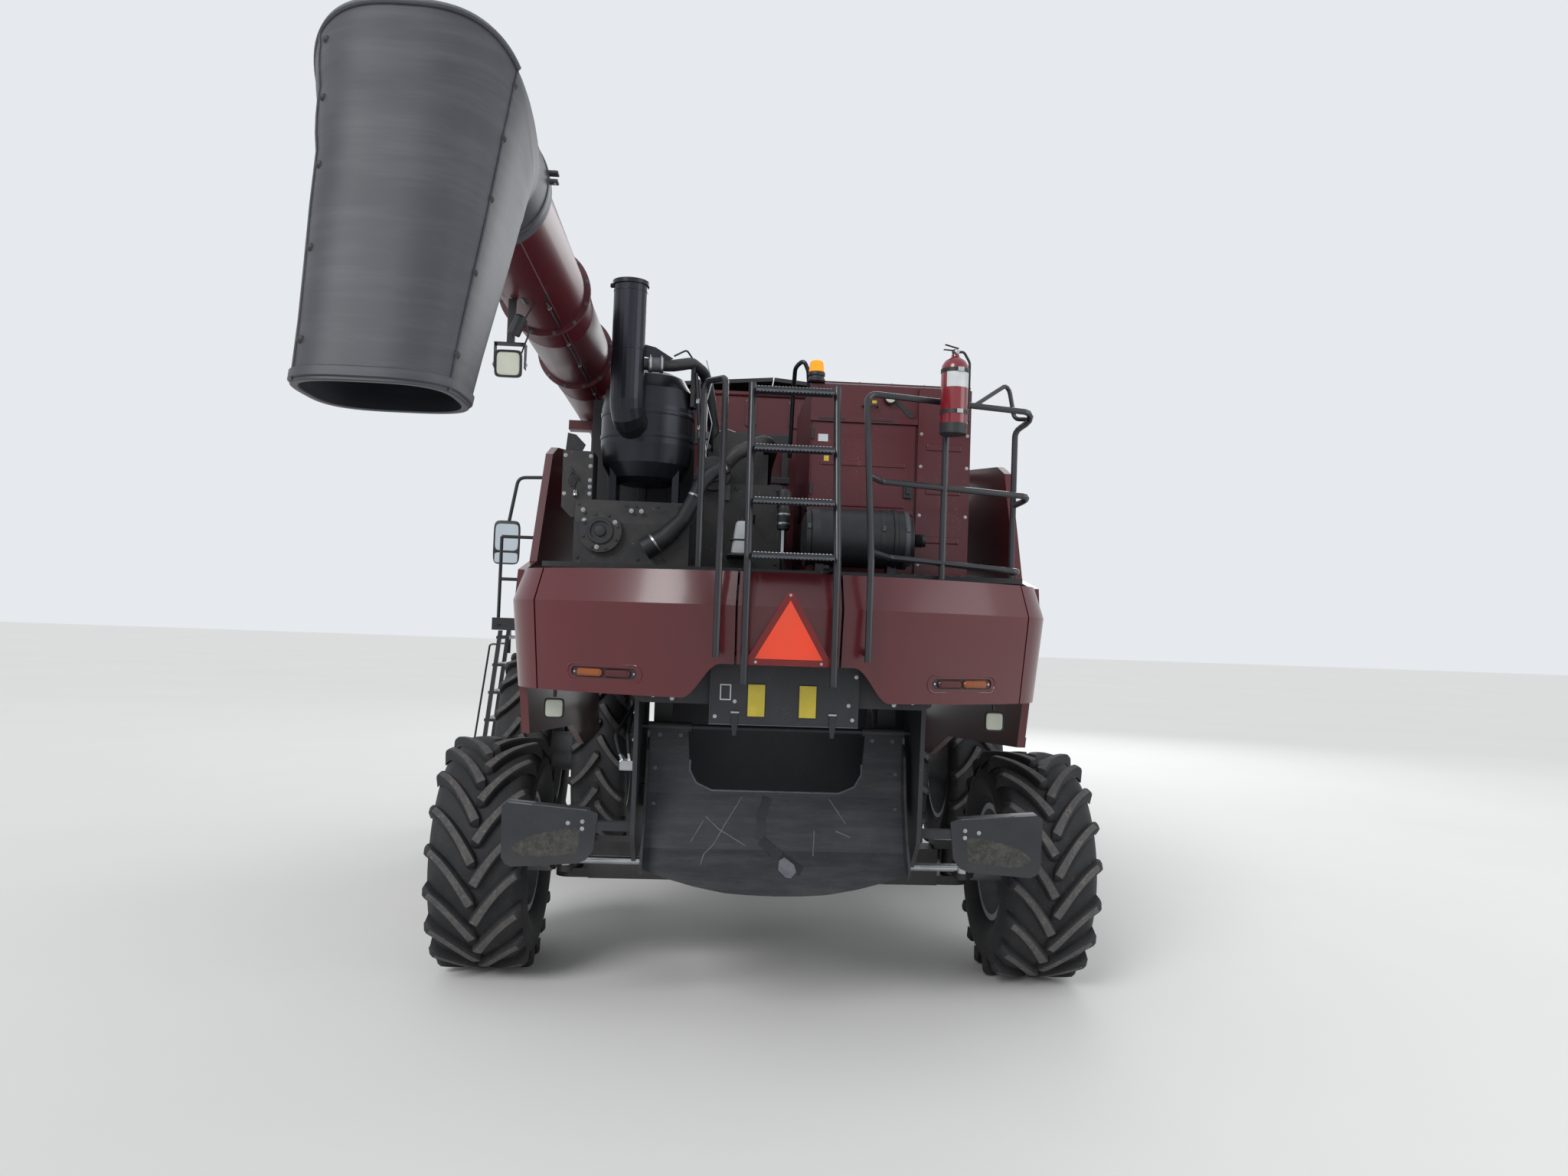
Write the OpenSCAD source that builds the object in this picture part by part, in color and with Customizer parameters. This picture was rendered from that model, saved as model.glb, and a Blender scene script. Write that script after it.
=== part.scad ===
// Combine harvester with dual front wheels, a long unloading tube and a rubber spout.
// Millimetres. +X is the machine's right, +Y its front, +Z up. It stands on z = 0.
// Places along the machine are measured from the rear axle line, y_ra.

/* [Running gear] */
// Distance between the axles
wheelbase = 3800; // [3500:10:4200]
// Outer radius of the front tyres
front_tyre_r = 975; // [900:5:1000]
// Width of one front tyre
front_tyre_w = 520; // [460:10:560]
// Centre of the inner front tyre from the middle of the machine
dual_in_x = 1430; // [1420:10:1460]
// Distance between the two tyres of a pair
dual_gap_x = 720; // [700:10:760]
// Radius of the front rims
front_rim_r = 540; // [500:5:560]
// Outer radius of the rear tyres
rear_tyre_r = 745; // [700:5:780]
// Width of a rear tyre
rear_tyre_w = 600; // [540:10:620]
// Centre of a rear tyre from the middle of the machine
rear_track_x = 1785; // [1780:5:1860]
// Radius of the rear rims
rear_rim_r = 365; // [340:5:400]
// Height of the tread lugs
lug_h = 45; // [30:1:50]
// Width of a lug at its foot
lug_w = 62; // [50:1:70]
// Lugs on each side of a front tyre
front_lugs = 19; // [16:1:22]
// Lugs on each side of a rear tyre
rear_lugs = 18; // [15:1:20]
// Distance of the king pins from the middle
kingpin_x = 1290; // [1270:5:1310]

/* [Unloading tube] */
// Sideways place of the tube
tube_x = 1340; // [1330:5:1380]
// Height of the tube's axis
tube_z = 4000; // [3980:5:4060]
// Outer diameter of the tube
tube_d = 420; // [380:5:420]
// Place of the swing axis ahead of the rear axle
turret_y = 3030; // [3010:5:3060]
// Front lip of the spout's collar behind the rear axle
collar_y = 3050; // [2950:10:3100]
// Rear face of the spout behind the rear axle
boot_back = 4400; // [4300:10:4600]
// Width of the spout at its top
boot_w = 690; // [640:5:720]
// Height of the spout's mouth above the ground
boot_mouth_z = 2930; // [2850:10:3050]
// Width of the spout's mouth
mouth_w = 476; // [440:2:500]
// Length of the spout's mouth along the machine
mouth_len = 470; // [420:10:520]
// Distance by which the spout's back leans forward up to its crest
boot_lean = 370; // [300:10:420]
// Wall of the rubber spout
boot_wall = 22; // [15:1:30]
// Distance of the spout's crest to the left of the tube
crest_shift = 88; // [60:2:110]

/* [Body] */
// Half width of the side panels at their crease
crease_x = 1555; // [1540:5:1580]
// Height of the crease around the machine
crease_z = 2390; // [2350:5:2410]
// Height of the tail panels' top edge
tail_top_z = 2570; // [2550:5:2580]
// Height of the tail panels' bottom edge
tail_low_z = 1900; // [1860:5:1940]
// Top of the engine deck
deck_z = 2610; // [2600:5:2640]
// Thickness of the body panels
panel_t = 45; // [30:1:50]
// Radius of the tail panels in plan
tail_r = 2260; // [2240:10:2300]
// Rear face of the tail panels behind the rear axle
tail_y = 1830; // [1800:5:1860]
// Half width of the separator housing
separator_x = 620; // [600:5:640]
// Seam between two panels
seam = 12; // [8:1:16]

/* [Grain tank] */
// Top edge of the grain tank
tank_top_z = 4120; // [4080:5:4160]
// Half width of the tank's upper part
tank_top_x = 1050; // [1000:5:1060]
// Half width of the tank's lower part
tank_low_x = 1340; // [1300:5:1345]
// Wall of the grain tank
tank_wall = 24; // [16:1:30]

/* [Cab] */
// Half width of the cab
cab_x = 900; // [860:5:920]
// Floor height of the cab
cab_z = 2230; // [2220:5:2260]
// Underside of the cab roof
roof_z = 3700; // [3660:5:3740]
// Rear wall of the cab ahead of the rear axle
cab_y = 3480; // [3460:5:3500]
// Length of the cab at its floor
cab_len = 1700; // [1650:10:1750]
// Wall of the cab
cab_wall = 60; // [50:1:70]

/* [Feeder house] */
// Front face of the feeder house ahead of the rear axle
front_reach = 6400; // [6300:10:6500]
// Half width of the feeder house
feeder_x = 560; // [540:5:570]
// Wall of the feeder house
feeder_wall = 40; // [30:1:50]
// Reach of the mirrors from the middle
mirror_reach = 2950; // [2940:5:3000]

/* [Hidden] */
$fn = 48;

RED = "#8f1420";
BLACK = "#1c1d20";
DARK = "#2c2d31";
STEEL = "#9a9da1";
RUBBER = "#26272a";
BOTTLE_RED = "#8a1018";
SIGN_ORANGE = "#ff5a1e";
PLATE_YELLOW = "#e0c800";
LAMP_RED = "#a01010";
LAMP_AMBER = "#c07000";
BEACON_AMBER = "#e08000";
GLASS = "#405058";
DOOR_GLASS = "#56646c";

// The overall box is centred on the origin, so the rear axle lies behind it.
y_ra = (boot_back - front_reach) / 2;
y_fa = y_ra + wheelbase;
// A joint of two pieces that touch
seat = 0.3;
// Running gap between a bearing and its shaft
run_gap = 0.3;

// Draws children on both sides of the machine.
module both_sides() {
    children();
    mirror([1, 0, 0]) children();
}

// A box given by its lowest and highest corners.
module block(low, high) translate(low) cube(high - low);

// A side outline [[y, z], ...] measured from the rear axle, extruded from x0 to x1.
module side_plate(points, x0, x1)
    translate([x0, y_ra, 0]) rotate([90, 0, 90]) linear_extrude(x1 - x0) polygon(points);

// A cross section [[x, z], ...] extruded along the machine from y0 to y1, from the rear axle.
module section_plate(points, y0, y1)
    translate([0, y_ra + y1, 0]) rotate([90, 0, 0]) linear_extrude(y1 - y0) polygon(points);

// A round bar from one point to another.
module bar(from, to, d, fn = 16) {
    v = to - from;
    l = norm(v);
    translate(from) rotate([0, acos(v[2] / l), atan2(v[1], v[0])]) cylinder(h = l, d = d, $fn = fn);
}

// A bent tube through a list of points, with round elbows of radius bend at the inner points.
function unit(v) = v / norm(v);
function turn_at(p, i) = acos(unit(p[i] - p[i - 1]) * unit(p[i + 1] - p[i]));
function trim_at(p, i, bend) = i == 0 || i == len(p) - 1 ? 0 : bend * tan(turn_at(p, i) / 2);
function bend_points(p, i, bend, steps) =
    let (
        u = unit(p[i] - p[i - 1]),
        v = unit(p[i + 1] - p[i]),
        inward = unit(v - u * (u * v)),
        turn = turn_at(p, i),
        c = p[i] - u * trim_at(p, i, bend) + inward * bend
    ) [for (k = [0 : steps]) c - inward * bend * cos(turn * k / steps) + u * bend * sin(turn * k / steps)];
function rounded_path(p, bend, steps = 4) =
    [for (i = [0 : len(p) - 1]) each i == 0 || i == len(p) - 1 ? [p[i]] : bend_points(p, i, bend, steps)];
function tangents(q) = [for (i = [0 : len(q) - 1]) unit(
    i == 0 ? q[1] - q[0]
    : i == len(q) - 1 ? q[i] - q[i - 1]
    : unit(q[i] - q[i - 1]) + unit(q[i + 1] - q[i])
)];
// Normals carried along the tangents without twist.
function carried(t, n, i = 0) =
    i == len(t) ? [] : let (m = unit(n - t[i] * (n * t[i]))) concat([m], carried(t, m, i + 1));
tube_sides = 10;
module tube_run(points, d, bend = 90, sides = tube_sides) {
    q = rounded_path(points, bend);
    t = tangents(q);
    n = carried(t, abs(t[0][2]) < 0.9 ? [0, 0, 1] : [1, 0, 0]);
    last = len(q) - 1;
    polyhedron(
        [for (i = [0 : last], k = [0 : sides - 1])
            q[i] + (n[i] * cos(360 * k / sides) + cross(t[i], n[i]) * sin(360 * k / sides)) * d / 2],
        concat(
            [[for (k = [0 : sides - 1]) k], [for (k = [sides - 1 : -1 : 0]) last * sides + k]],
            [for (i = [0 : last - 1], k = [0 : sides - 1])
                [i * sides + k, (i + 1) * sides + k, (i + 1) * sides + (k + 1) % sides]],
            [for (i = [0 : last - 1], k = [0 : sides - 1])
                [i * sides + k, (i + 1) * sides + (k + 1) % sides, i * sides + (k + 1) % sides]]
        )
    );
}

// A cylinder along x from x0 to x1.
module x_cyl(x0, x1, r, y = 0, z = 0) translate([x0, y, z]) rotate([0, 90, 0]) cylinder(h = x1 - x0, r = r);

// One tyre on the x axis, centred on the origin: carcass and two rows of curved lugs, which meet at the
// rear of the tread as a V (slant 1) or upside down (slant -1).
// Stations along a lug, from the middle of the tread to the shoulder, in half widths
lug_stations = [-0.04, 0.12, 0.4, 0.7, 1.08];
// Slope of a lug at the middle of the tread, and how much it flattens towards the shoulder
lug_slope = 1.73;
lug_bend = 0.6;
// Extra width of a lug's inner end
lug_head = 0.3;
function lug_run(u) = lug_slope * (u - 0.5) - lug_bend * (u * u - 0.25) + 0.05;
function lug_edge(half, side) = [for (u = lug_stations)
    half * [u, lug_run(u)]
        + side * lug_w / 2 * (1 + lug_head * pow(1 - u, 4)) * unit([2 * lug_bend * u - lug_slope, 1])];
function reversed(list) = [for (k = [len(list) - 1 : -1 : 0]) list[k]];
module tyre(r, w, rim_r, lugs, slant) {
    tread_r = r - lug_h;
    shoulder = 70;
    lug_outline = concat(lug_edge(w / 2, -1), reversed(lug_edge(w / 2, 1)));
    rotate([0, 90, 0]) {
        rotate_extrude()
            polygon([
                [rim_r, -w * 0.38], [rim_r + 32, -w * 0.38], [rim_r + 80, -w * 0.46],
                [(rim_r + tread_r) / 2, -w * 0.5],
                [tread_r - shoulder, -w * 0.47], [tread_r, -w * 0.36],
                [tread_r, w * 0.36], [tread_r - shoulder, w * 0.47],
                [(rim_r + tread_r) / 2, w * 0.5], [rim_r + 80, w * 0.46], [rim_r + 32, w * 0.38],
                [rim_r, w * 0.38]
            ]);
        intersection() {
            union()
                for (side = [-1, 1], i = [0 : lugs - 1])
                    rotate([0, 0, (i + (side + 1) / 4) * 360 / lugs])
                        translate([tread_r - shoulder, 0, 0]) rotate([0, 90, 0])
                            linear_extrude(lug_h + shoulder + 60)
                                polygon([for (q = lug_outline) [-side * q[0], -slant * q[1]]]);
            difference() {
                cylinder(h = w, r = r, center = true);
                cylinder(h = w + 2, r = tread_r - shoulder * 0.9, center = true);
            }
        }
    }
}

// One rim on the x axis: a rolled barrel with two flanges and a disc at disc_x.
module rim(r, w, disc_x, hub_r, bore_r) {
    wall = 14;
    flange = 26;
    seat_w = w * 0.38 * 2 + 2 * seat;
    rotate([0, 90, 0]) {
        rotate_extrude()
            polygon([
                [r - seat - wall, -seat_w / 2 - 12], [r - seat + flange, -seat_w / 2 - 12],
                [r - seat + flange, -seat_w / 2], [r - seat, -seat_w / 2],
                [r - seat, seat_w / 2], [r - seat + flange, seat_w / 2],
                [r - seat + flange, seat_w / 2 + 12], [r - seat - wall, seat_w / 2 + 12]
            ]);
        translate([0, 0, disc_x]) difference() {
            cylinder(h = 20, r = r - seat - wall / 2, center = true);
            cylinder(h = 22, r = bore_r, center = true);
            for (a = [0 : 45 : 359]) rotate([0, 0, a]) translate([(r + hub_r) / 2, 0, 0])
                cylinder(h = 22, r = 38, center = true);
        }
    }
}

// Running gear
front_hub_r = 190;
front_spindle_r = 95;
front_drive_in = 860;
front_drive_out = dual_in_x - front_tyre_w / 2 - 60;
front_z = front_tyre_r;
rear_z = rear_tyre_r;
beam_low = 190;

// Frame rails: inner face, width, low and top edge
rail_x = separator_x + seat;
rail_w = 110;
frame_z = [1180, 1340];
// Engine deck: rear and front edge, half width, thickness
deck_back = 1290;
deck_front = 1050;
deck_x = 1360;
deck_t = 30;
deck_low = deck_z - deck_t;
module main_frame() color(DARK) {
    // side rails
    both_sides() block([rail_x, y_ra - 900, frame_z[0]], [rail_x + rail_w, y_fa + 120, frame_z[1]]);
    // uprights and deck beams
    both_sides() for (y = [-820, 900])
        block([rail_x, y_ra + y, frame_z[1]], [rail_x + rail_w, y_ra + y + rail_w, deck_low]);
    both_sides()
        block([rail_x, y_ra - 1250, deck_low - 100], [rail_x + rail_w, y_ra + deck_front, deck_low]);
    // engine deck plate
    block([-deck_x, y_ra - deck_back, deck_low], [deck_x, y_ra + deck_front, deck_z]);
    // beams and bent rail that carry the tail panels
    both_sides() side_plate([
        [-1240, deck_low - 100], [-1610, tail_rail_z[0] + 20], [-1610, tail_rail_z[1] - 5],
        [-1585, tail_rail_z[1] + 10], [-1585, deck_low - 1], [-1240, deck_low - 1]
    ], rail_x, rail_x + rail_w);
    both_sides() {
        tail_arc(0, corner_a, tail_rail);
        tail_corner(tail_rail, corner_a - 0.5);
    }
}

// Final drive case and the pins of the lift cylinders, measured from the front axle
drive_r = 230;
lift_pin = [250, -220];
lift_pin_r = 25;
module front_axle() color(DARK) {
    translate([0, y_fa, front_z]) {
        block([-front_drive_in, -130, -130], [front_drive_in, 130, 130]);
        both_sides() {
            // final drive case
            x_cyl(front_drive_in - 1, front_drive_out, drive_r);
            block([front_drive_in - 200, -170, -170], [front_drive_in + 120, 170, 205 - seat]);
            x_cyl(front_drive_out - 1, dual_in_x + dual_gap_x + 60, front_spindle_r);
        }
        // lift cylinder brackets
        both_sides() difference() {
            block([feeder_x + 8, 129, -300], [feeder_x + 43, 330, -80]);
            x_cyl(feeder_x, feeder_x + 120, lift_pin_r - 1, lift_pin[0], lift_pin[1]);
        }
        both_sides() x_cyl(feeder_x + 8, feeder_x + 175, lift_pin_r, lift_pin[0], lift_pin[1]);
    }
}

// King pins between the two plates of a yoke
kingpin_r = 38;
yoke_r = 90;
yoke_t = 60;
yoke_z = [-150, 90];
module rear_axle() color(DARK) {
    translate([0, y_ra, rear_z]) {
        block([-kingpin_x + 130, -110, -beam_low + 40], [kingpin_x - 130, 110, 90]);
        // centre pivot stand up to the frame
        stand_top = frame_z[0] - rear_z - seat;
        block([-260, -90, 90], [260, 90, stand_top]);
        block([-separator_x - rail_w, -90, stand_top - 90], [separator_x + rail_w, 90, stand_top]);
        // yokes around the king pins
        both_sides() {
            for (z = yoke_z) {
                translate([kingpin_x, 0, z]) cylinder(h = yoke_t, r = yoke_r);
                block([kingpin_x - 150, -yoke_r, z], [kingpin_x, yoke_r, z + yoke_t]);
            }
            translate([kingpin_x, 0, yoke_z[0]])
                cylinder(h = yoke_z[1] + yoke_t - yoke_z[0], r = kingpin_r);
        }
    }
}

// Steering arms reach behind the king pins to the tie rod.
arm_y = 300;
rear_spindle_r = 75;
tie_pin_r = 20;
module knuckle(side) color(DARK) translate([0, y_ra, rear_z]) scale_side(side) {
    difference() {
        union() {
            translate([kingpin_x, 0, -88]) cylinder(h = 176, r = 85);
            x_cyl(kingpin_x, rear_track_x - 60, rear_spindle_r);
            x_cyl(kingpin_x + 96, kingpin_x + 116, 120);
            block([kingpin_x - 40, -arm_y, -60], [kingpin_x + 40, 0, -20]);
            translate([kingpin_x, -arm_y, -60]) cylinder(h = 40, r = 50);
        }
        translate([kingpin_x, 0, -100]) cylinder(h = 200, r = kingpin_r + run_gap);
        translate([kingpin_x, -arm_y, -70]) cylinder(h = 60, r = tie_pin_r + run_gap);
    }
}
module scale_side(side) {
    if (side < 0) mirror([1, 0, 0]) children();
    else children();
}
module knuckle_left() knuckle(-1);
module knuckle_right() knuckle(1);

module tie_rod() color(STEEL) translate([0, y_ra - arm_y, rear_z]) {
    x_cyl(-kingpin_x + 40, kingpin_x - 40, 26, 0, 10);
    both_sides() {
        difference() {
            translate([kingpin_x, 0, -20 + seat]) cylinder(h = 50, r = 46);
            translate([kingpin_x, 0, -30]) cylinder(h = 80, r = 12);
        }
        translate([kingpin_x, 0, -60]) cylinder(h = 50, r = tie_pin_r);
    }
}

module front_tyres(side) color(RUBBER) for (x = [dual_in_x, dual_in_x + dual_gap_x])
    translate([side * x, y_fa, front_z]) scale_side(side)
        tyre(front_tyre_r, front_tyre_w, front_rim_r, front_lugs, -1);
module front_tyres_left() front_tyres(-1);
module front_tyres_right() front_tyres(1);

module front_rims(side) color(STEEL) translate([0, y_fa, front_z]) scale_side(side) {
    difference() {
        union() {
            for (x = [dual_in_x, dual_in_x + dual_gap_x]) translate([x, 0, 0])
                rim(front_rim_r, front_tyre_w, 0, front_hub_r, front_spindle_r + run_gap);
            x_cyl(front_drive_out + 5, dual_in_x + dual_gap_x + 40, front_hub_r);
        }
        x_cyl(front_drive_out, dual_in_x + dual_gap_x + 61, front_spindle_r + run_gap);
    }
}
module front_rims_left() front_rims(-1);
module front_rims_right() front_rims(1);

module rear_tyre(side) color(RUBBER) translate([side * rear_track_x, y_ra, rear_z]) scale_side(side)
    tyre(rear_tyre_r, rear_tyre_w, rear_rim_r, rear_lugs, 1);
module rear_tyre_left() rear_tyre(-1);
module rear_tyre_right() rear_tyre(1);

module rear_rim(side) color(STEEL) translate([0, y_ra, rear_z]) scale_side(side) {
    difference() {
        union() {
            translate([rear_track_x, 0, 0])
                rim(rear_rim_r, rear_tyre_w, -60, 120, rear_spindle_r + run_gap);
            x_cyl(kingpin_x + 122, rear_track_x - 20, 130);
        }
        x_cyl(kingpin_x + 100, rear_track_x - 59, rear_spindle_r + run_gap);
    }
}
module rear_rim_left() rear_rim(-1);
module rear_rim_right() rear_rim(1);

// Body
module separator_body() color(DARK) {
    side_plate([
        [-350, 1190], [-350, 2150], [-820, 2150], [-820, 2470], [900, 2470], [1060, sep_top],
        [3400, sep_top], [3460, 2100], [4150, 2050], [4150, 1250], [3950, 1190], [2900, 1190], [2500, 950],
        [500, 950], [200, 1190]
    ], -separator_x, separator_x);
    // lugs and pins that carry the feeder house
    both_sides() {
        side_plate([[4140, 1550], [4140, 1770], [4370, 1730], [4400, 1650], [4370, 1570]],
            feeder_x + 6, feeder_x + 56);
        x_cyl(feeder_x - feeder_wall, feeder_x + 56, feeder_pin_r, y_ra + feeder_pivot[0], feeder_pivot[1]);
    }
}

// Plate under the tail, with rounded lower corners
skirt_x = 820;
skirt_y = -1545;
skirt_z = 1860;
skirt_r = 60;
hood_top = 2140;
// Tyre deflectors: outline [[x, z], ...] seen from behind, leaning back at its foot
guard = [
    [1000, 1205], [1050, 1225], [1500, 1262], [1535, 1235], [1528, 950], [1505, 915], [1470, 900],
    [1110, 925], [1060, 945], [1020, 1000]
];
guard_y = -1225;
module residue_hood() color(BLACK) {
    both_sides() side_plate([
        [-420, 1000], [-351, 1350], [-351, hood_top], [-1300, hood_top], [-1380, 1900],
        [-1330, 1100], [-1150, 930], [-700, 930]
    ], separator_x + 165, separator_x + 190);
    block([-separator_x - 190, y_ra - 1380, hood_top - 25], [separator_x + 190, y_ra - 821, hood_top]);
    // hangers on the frame rails
    both_sides() block([rail_x + rail_w + seat, y_ra - 860, 1200], [separator_x + 166, y_ra - 760, 1320]);
    // rod that carries the rubber chute
    x_cyl(-separator_x - 170, separator_x + 170, chute_rod_r, y_ra + chute_pin[0], chute_pin[1]);
    // centre box behind the plates and the plate beside it
    block([-400, y_ra - 1600, 1760], [400, y_ra - 1370, 2125]);
    section_plate([
        [-skirt_x, hood_top], [-skirt_x, skirt_z + skirt_r],
        [-skirt_x + skirt_r * 0.3, skirt_z + skirt_r * 0.3], [-skirt_x + skirt_r, skirt_z],
        [skirt_x - skirt_r, skirt_z], [skirt_x - skirt_r * 0.3, skirt_z + skirt_r * 0.3],
        [skirt_x, skirt_z + skirt_r], [skirt_x, hood_top]
    ], skirt_y, skirt_y + 15);
    both_sides() {
        block([separator_x + 190, y_ra - 1220, 1110], [1200, y_ra - 1170, 1160]);
        section_plate(guard, guard_y, guard_y + 12);
        // folded top edge
        section_plate([guard[1], guard[2], guard[2] + [1, -12], guard[1] + [1, -12]],
            guard_y, guard_y + 90);
    }
}

chute_x = 750;
chute_rod_r = 14;
chute_pin = [-1018, 1688];
// Half width of the opening above the sheet, and its lower edge
chute_gap_x = 520;
chute_gap_z = 1330;
// Rise of the sheet's lower edge from the middle to its sides
chute_bow = 120;
chute_foot = 800;
module residue_chute() color(RUBBER) difference() {
    union() {
        difference() {
            chute_sheet();
            // opening of the hood above the sheet
            section_plate([
                [-chute_gap_x, 1700], [-chute_gap_x + 20, chute_gap_z + 110],
                [-chute_gap_x + 60, chute_gap_z + 40],
                [-chute_gap_x + 150, chute_gap_z], [chute_gap_x - 150, chute_gap_z],
                [chute_gap_x - 60, chute_gap_z + 40],
                [chute_gap_x - 20, chute_gap_z + 110], [chute_gap_x, 1700]
            ], -1100, -950);
            // bowed lower edge
            section_plate(concat([[-chute_x - 1, 700]],
                [for (t = [-1 : 0.2 : 1.01]) [t * (chute_x + 1), chute_foot + chute_bow * t * t]],
                [[chute_x + 1, 700]]), -1500, -1200);
        }
        // side walls of the scoop
        both_sides() side_plate([
            [-1010, 1660], [-1110, 1560], [-1170, 1330], [-1270, 1110], [-1390, 960], [-1350, 900],
            [-1180, 1030], [-1050, 1310]
        ], chute_x - 14, chute_x);
        both_sides() x_cyl(chute_gap_x - 20, chute_x, 26, y_ra + chute_pin[0], chute_pin[1]);
    }
    x_cyl(-chute_x - 1, chute_x + 1, chute_rod_r + run_gap, y_ra + chute_pin[0], chute_pin[1]);
}
module chute_sheet()
    side_plate([
        [-1000, 1680], [-1040, 1300], [-1180, 1000], [-1360, 795], [-1385, 815],
        [-1210, 1020], [-1072, 1310], [-1035, 1680]
    ], -chute_x, chute_x);

// Engine across the deck: block, head, rocker cover and the gear housing at its left end
engine_x = [-560, 0];
engine_y = [-640, 650];
gear_top = deck_z + 400;
block_top = deck_z + 560;
head_top = block_top + 200;
cover_top = head_top + 140;
turbo_at = [-430, block_top + 50];
// Gear housing: left face, rear face, and its round cover [x, z]
gear_x = -1240;
gear_y = -930;
gear_cover = [-1080, deck_z + 205];
gear_cover_r = 125;
// Box on the left end of the gear housing
side_box_x = [-1330, -1150];
side_box_z = [gear_top - 1, 3300];
module engine() color(DARK) {
    block([engine_x[0], y_ra + engine_y[0], deck_z], [engine_x[1], y_ra + engine_y[1], block_top]);
    block([engine_x[0] + 90, y_ra + engine_y[0] + 60, block_top - 1],
          [engine_x[1] - 90, y_ra + engine_y[1] - 60, head_top]);
    section_plate([
        [engine_x[0] + 120, head_top - 1], [engine_x[0] + 120, cover_top - 60],
        [engine_x[0] + 160, cover_top],
        [engine_x[1] - 160, cover_top], [engine_x[1] - 120, cover_top - 60],
        [engine_x[1] - 120, head_top - 1]
    ], engine_y[0] + 100, engine_y[1] - 100);
    // gear housing and its round cover
    side_plate([
        [gear_y, deck_z], [gear_y, deck_z + 260], [gear_y + 70, gear_top], [-420, gear_top],
        [-200, deck_z + 300], [-200, deck_z]
    ], gear_x, engine_x[0] + 1);
    translate([gear_cover[0], y_ra + gear_y + 1, gear_cover[1]]) rotate([90, 0, 0])
        cylinder(h = 40, r = gear_cover_r);
    // box above its left end, and the bracket under the box
    block([side_box_x[0], y_ra - 860, side_box_z[0]], [side_box_x[1], y_ra - 620, side_box_z[1]]);
    section_plate([
        [side_box_x[0], side_box_z[0] + 1], [side_box_x[0], 2960], [side_box_x[0] + 60, 2900],
        [gear_x + 1, 2900], [gear_x + 1, side_box_z[0] + 1]
    ], -860, -640);
    // turbocharger and its inlet
    translate([turbo_at[0], y_ra + engine_y[0] + 1, turbo_at[1]]) rotate([90, 0, 0]) {
        cylinder(h = 90, r = 105);
        translate([0, 0, 89]) cylinder(h = 70, r = 58);
    }
}

// Exhaust: a canister with rounded ends on a cradle, and the stack that leaves its rear in an elbow.
can = [-851, -600];
can_r = 285;
can_z = [3140, 3830];
// Rounding of the canister's ends: across and along its axis
can_round = 130;
can_rise = 230;
stack = [-960, -940];
stack_r = 100;
stack_top = 4310;
elbow_z = 3500;
module exhaust() color(BLACK) {
    translate([can[0], y_ra + can[1], 0]) {
        rotate_extrude() polygon([
            [0, can_z[0]], [can_r - can_round, can_z[0]],
            for (a = [-60, -30, 0]) [can_r - can_round * (1 - cos(a)), can_z[0] + can_rise * (1 + sin(a))],
            for (a = [0, 30, 60]) [can_r - can_round * (1 - cos(a)), can_z[1] - can_rise * (1 - sin(a))],
            [can_r - can_round, can_z[1]], [0, can_z[1]]
        ]);
        // cradle on the gear housing
        for (x = [-190, 190]) block([x - 20, -140, gear_top + seat], [x + 20, 140, can_z[0] + can_round]);
    }
    difference() {
        union() {
            tube_run([
                [stack[0], y_ra + stack[1], stack_top], [stack[0], y_ra + stack[1], elbow_z],
                [can[0] - 20, y_ra + can[1] - 100, elbow_z - 60]
            ], 2 * stack_r, 130, 24);
            translate([stack[0], y_ra + stack[1], stack_top - 24]) cylinder(h = 24, r = stack_r + 9);
        }
        translate([stack[0], y_ra + stack[1], stack_top - 350]) cylinder(h = 351, r = stack_r - 5);
    }
}

cleaner_x = 100;
cleaner_len = 635;
cleaner_r = 170;
cleaner_at = [-1090, 2820];
module air_cleaner() color(BLACK) {
    translate([cleaner_x, y_ra + cleaner_at[0], cleaner_at[1]]) rotate([0, 90, 0])
        rotate_extrude() polygon([
            [0, 0], [90, 0], [140, 18], [162, 50], [cleaner_r, 95], [cleaner_r, 520], [cleaner_r + 9, 524],
            [cleaner_r + 9, 544], [cleaner_r, 548], [cleaner_r, 600], [cleaner_r - 20, 625], [0, cleaner_len]
        ]);
    for (x = [180, 600]) block([x, y_ra - 1150, deck_z + seat], [x + 50, y_ra - 1030, 2700]);
}

// Cooling package: housing with a top cover, a door and a column beside it
box_x = [154, 1140];
box_y = [-800, 500];
box_top = 3800;
door_x = [165, 800];
module cooling_box() color(RED) {
    side_plate([
        [box_y[0], deck_z], [box_y[0], box_top - 12], [box_y[0] + 20, box_top], [box_y[1] - 40, box_top],
        [box_y[1], box_top - 40], [box_y[1], deck_z]
    ], box_x[0], box_x[1]);
    // ledge under the top cover, door and column
    block([box_x[0] - 4, y_ra + box_y[0] - 28, 3556], [door_x[1] + 12, y_ra + box_y[0] + 1, 3590]);
    block([door_x[0], y_ra + box_y[0] - 14, deck_z + 20], [door_x[1], y_ra + box_y[0] + 1, 3548]);
    block([door_x[1] + 14, y_ra + box_y[0] - 30, deck_z + 10],
          [box_x[1], y_ra + box_y[0] + 1, box_top - 20]);
    // frame of the screen on the outer side
    difference() {
        block([box_x[1] - 1, y_ra - 640, deck_z + 60], [box_x[1] + 26, y_ra + 400, 3700]);
        block([box_x[1], y_ra - 590, deck_z + 110], [box_x[1] + 27, y_ra + 350, 3650]);
    }
}

sep_top = 2200;
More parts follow.
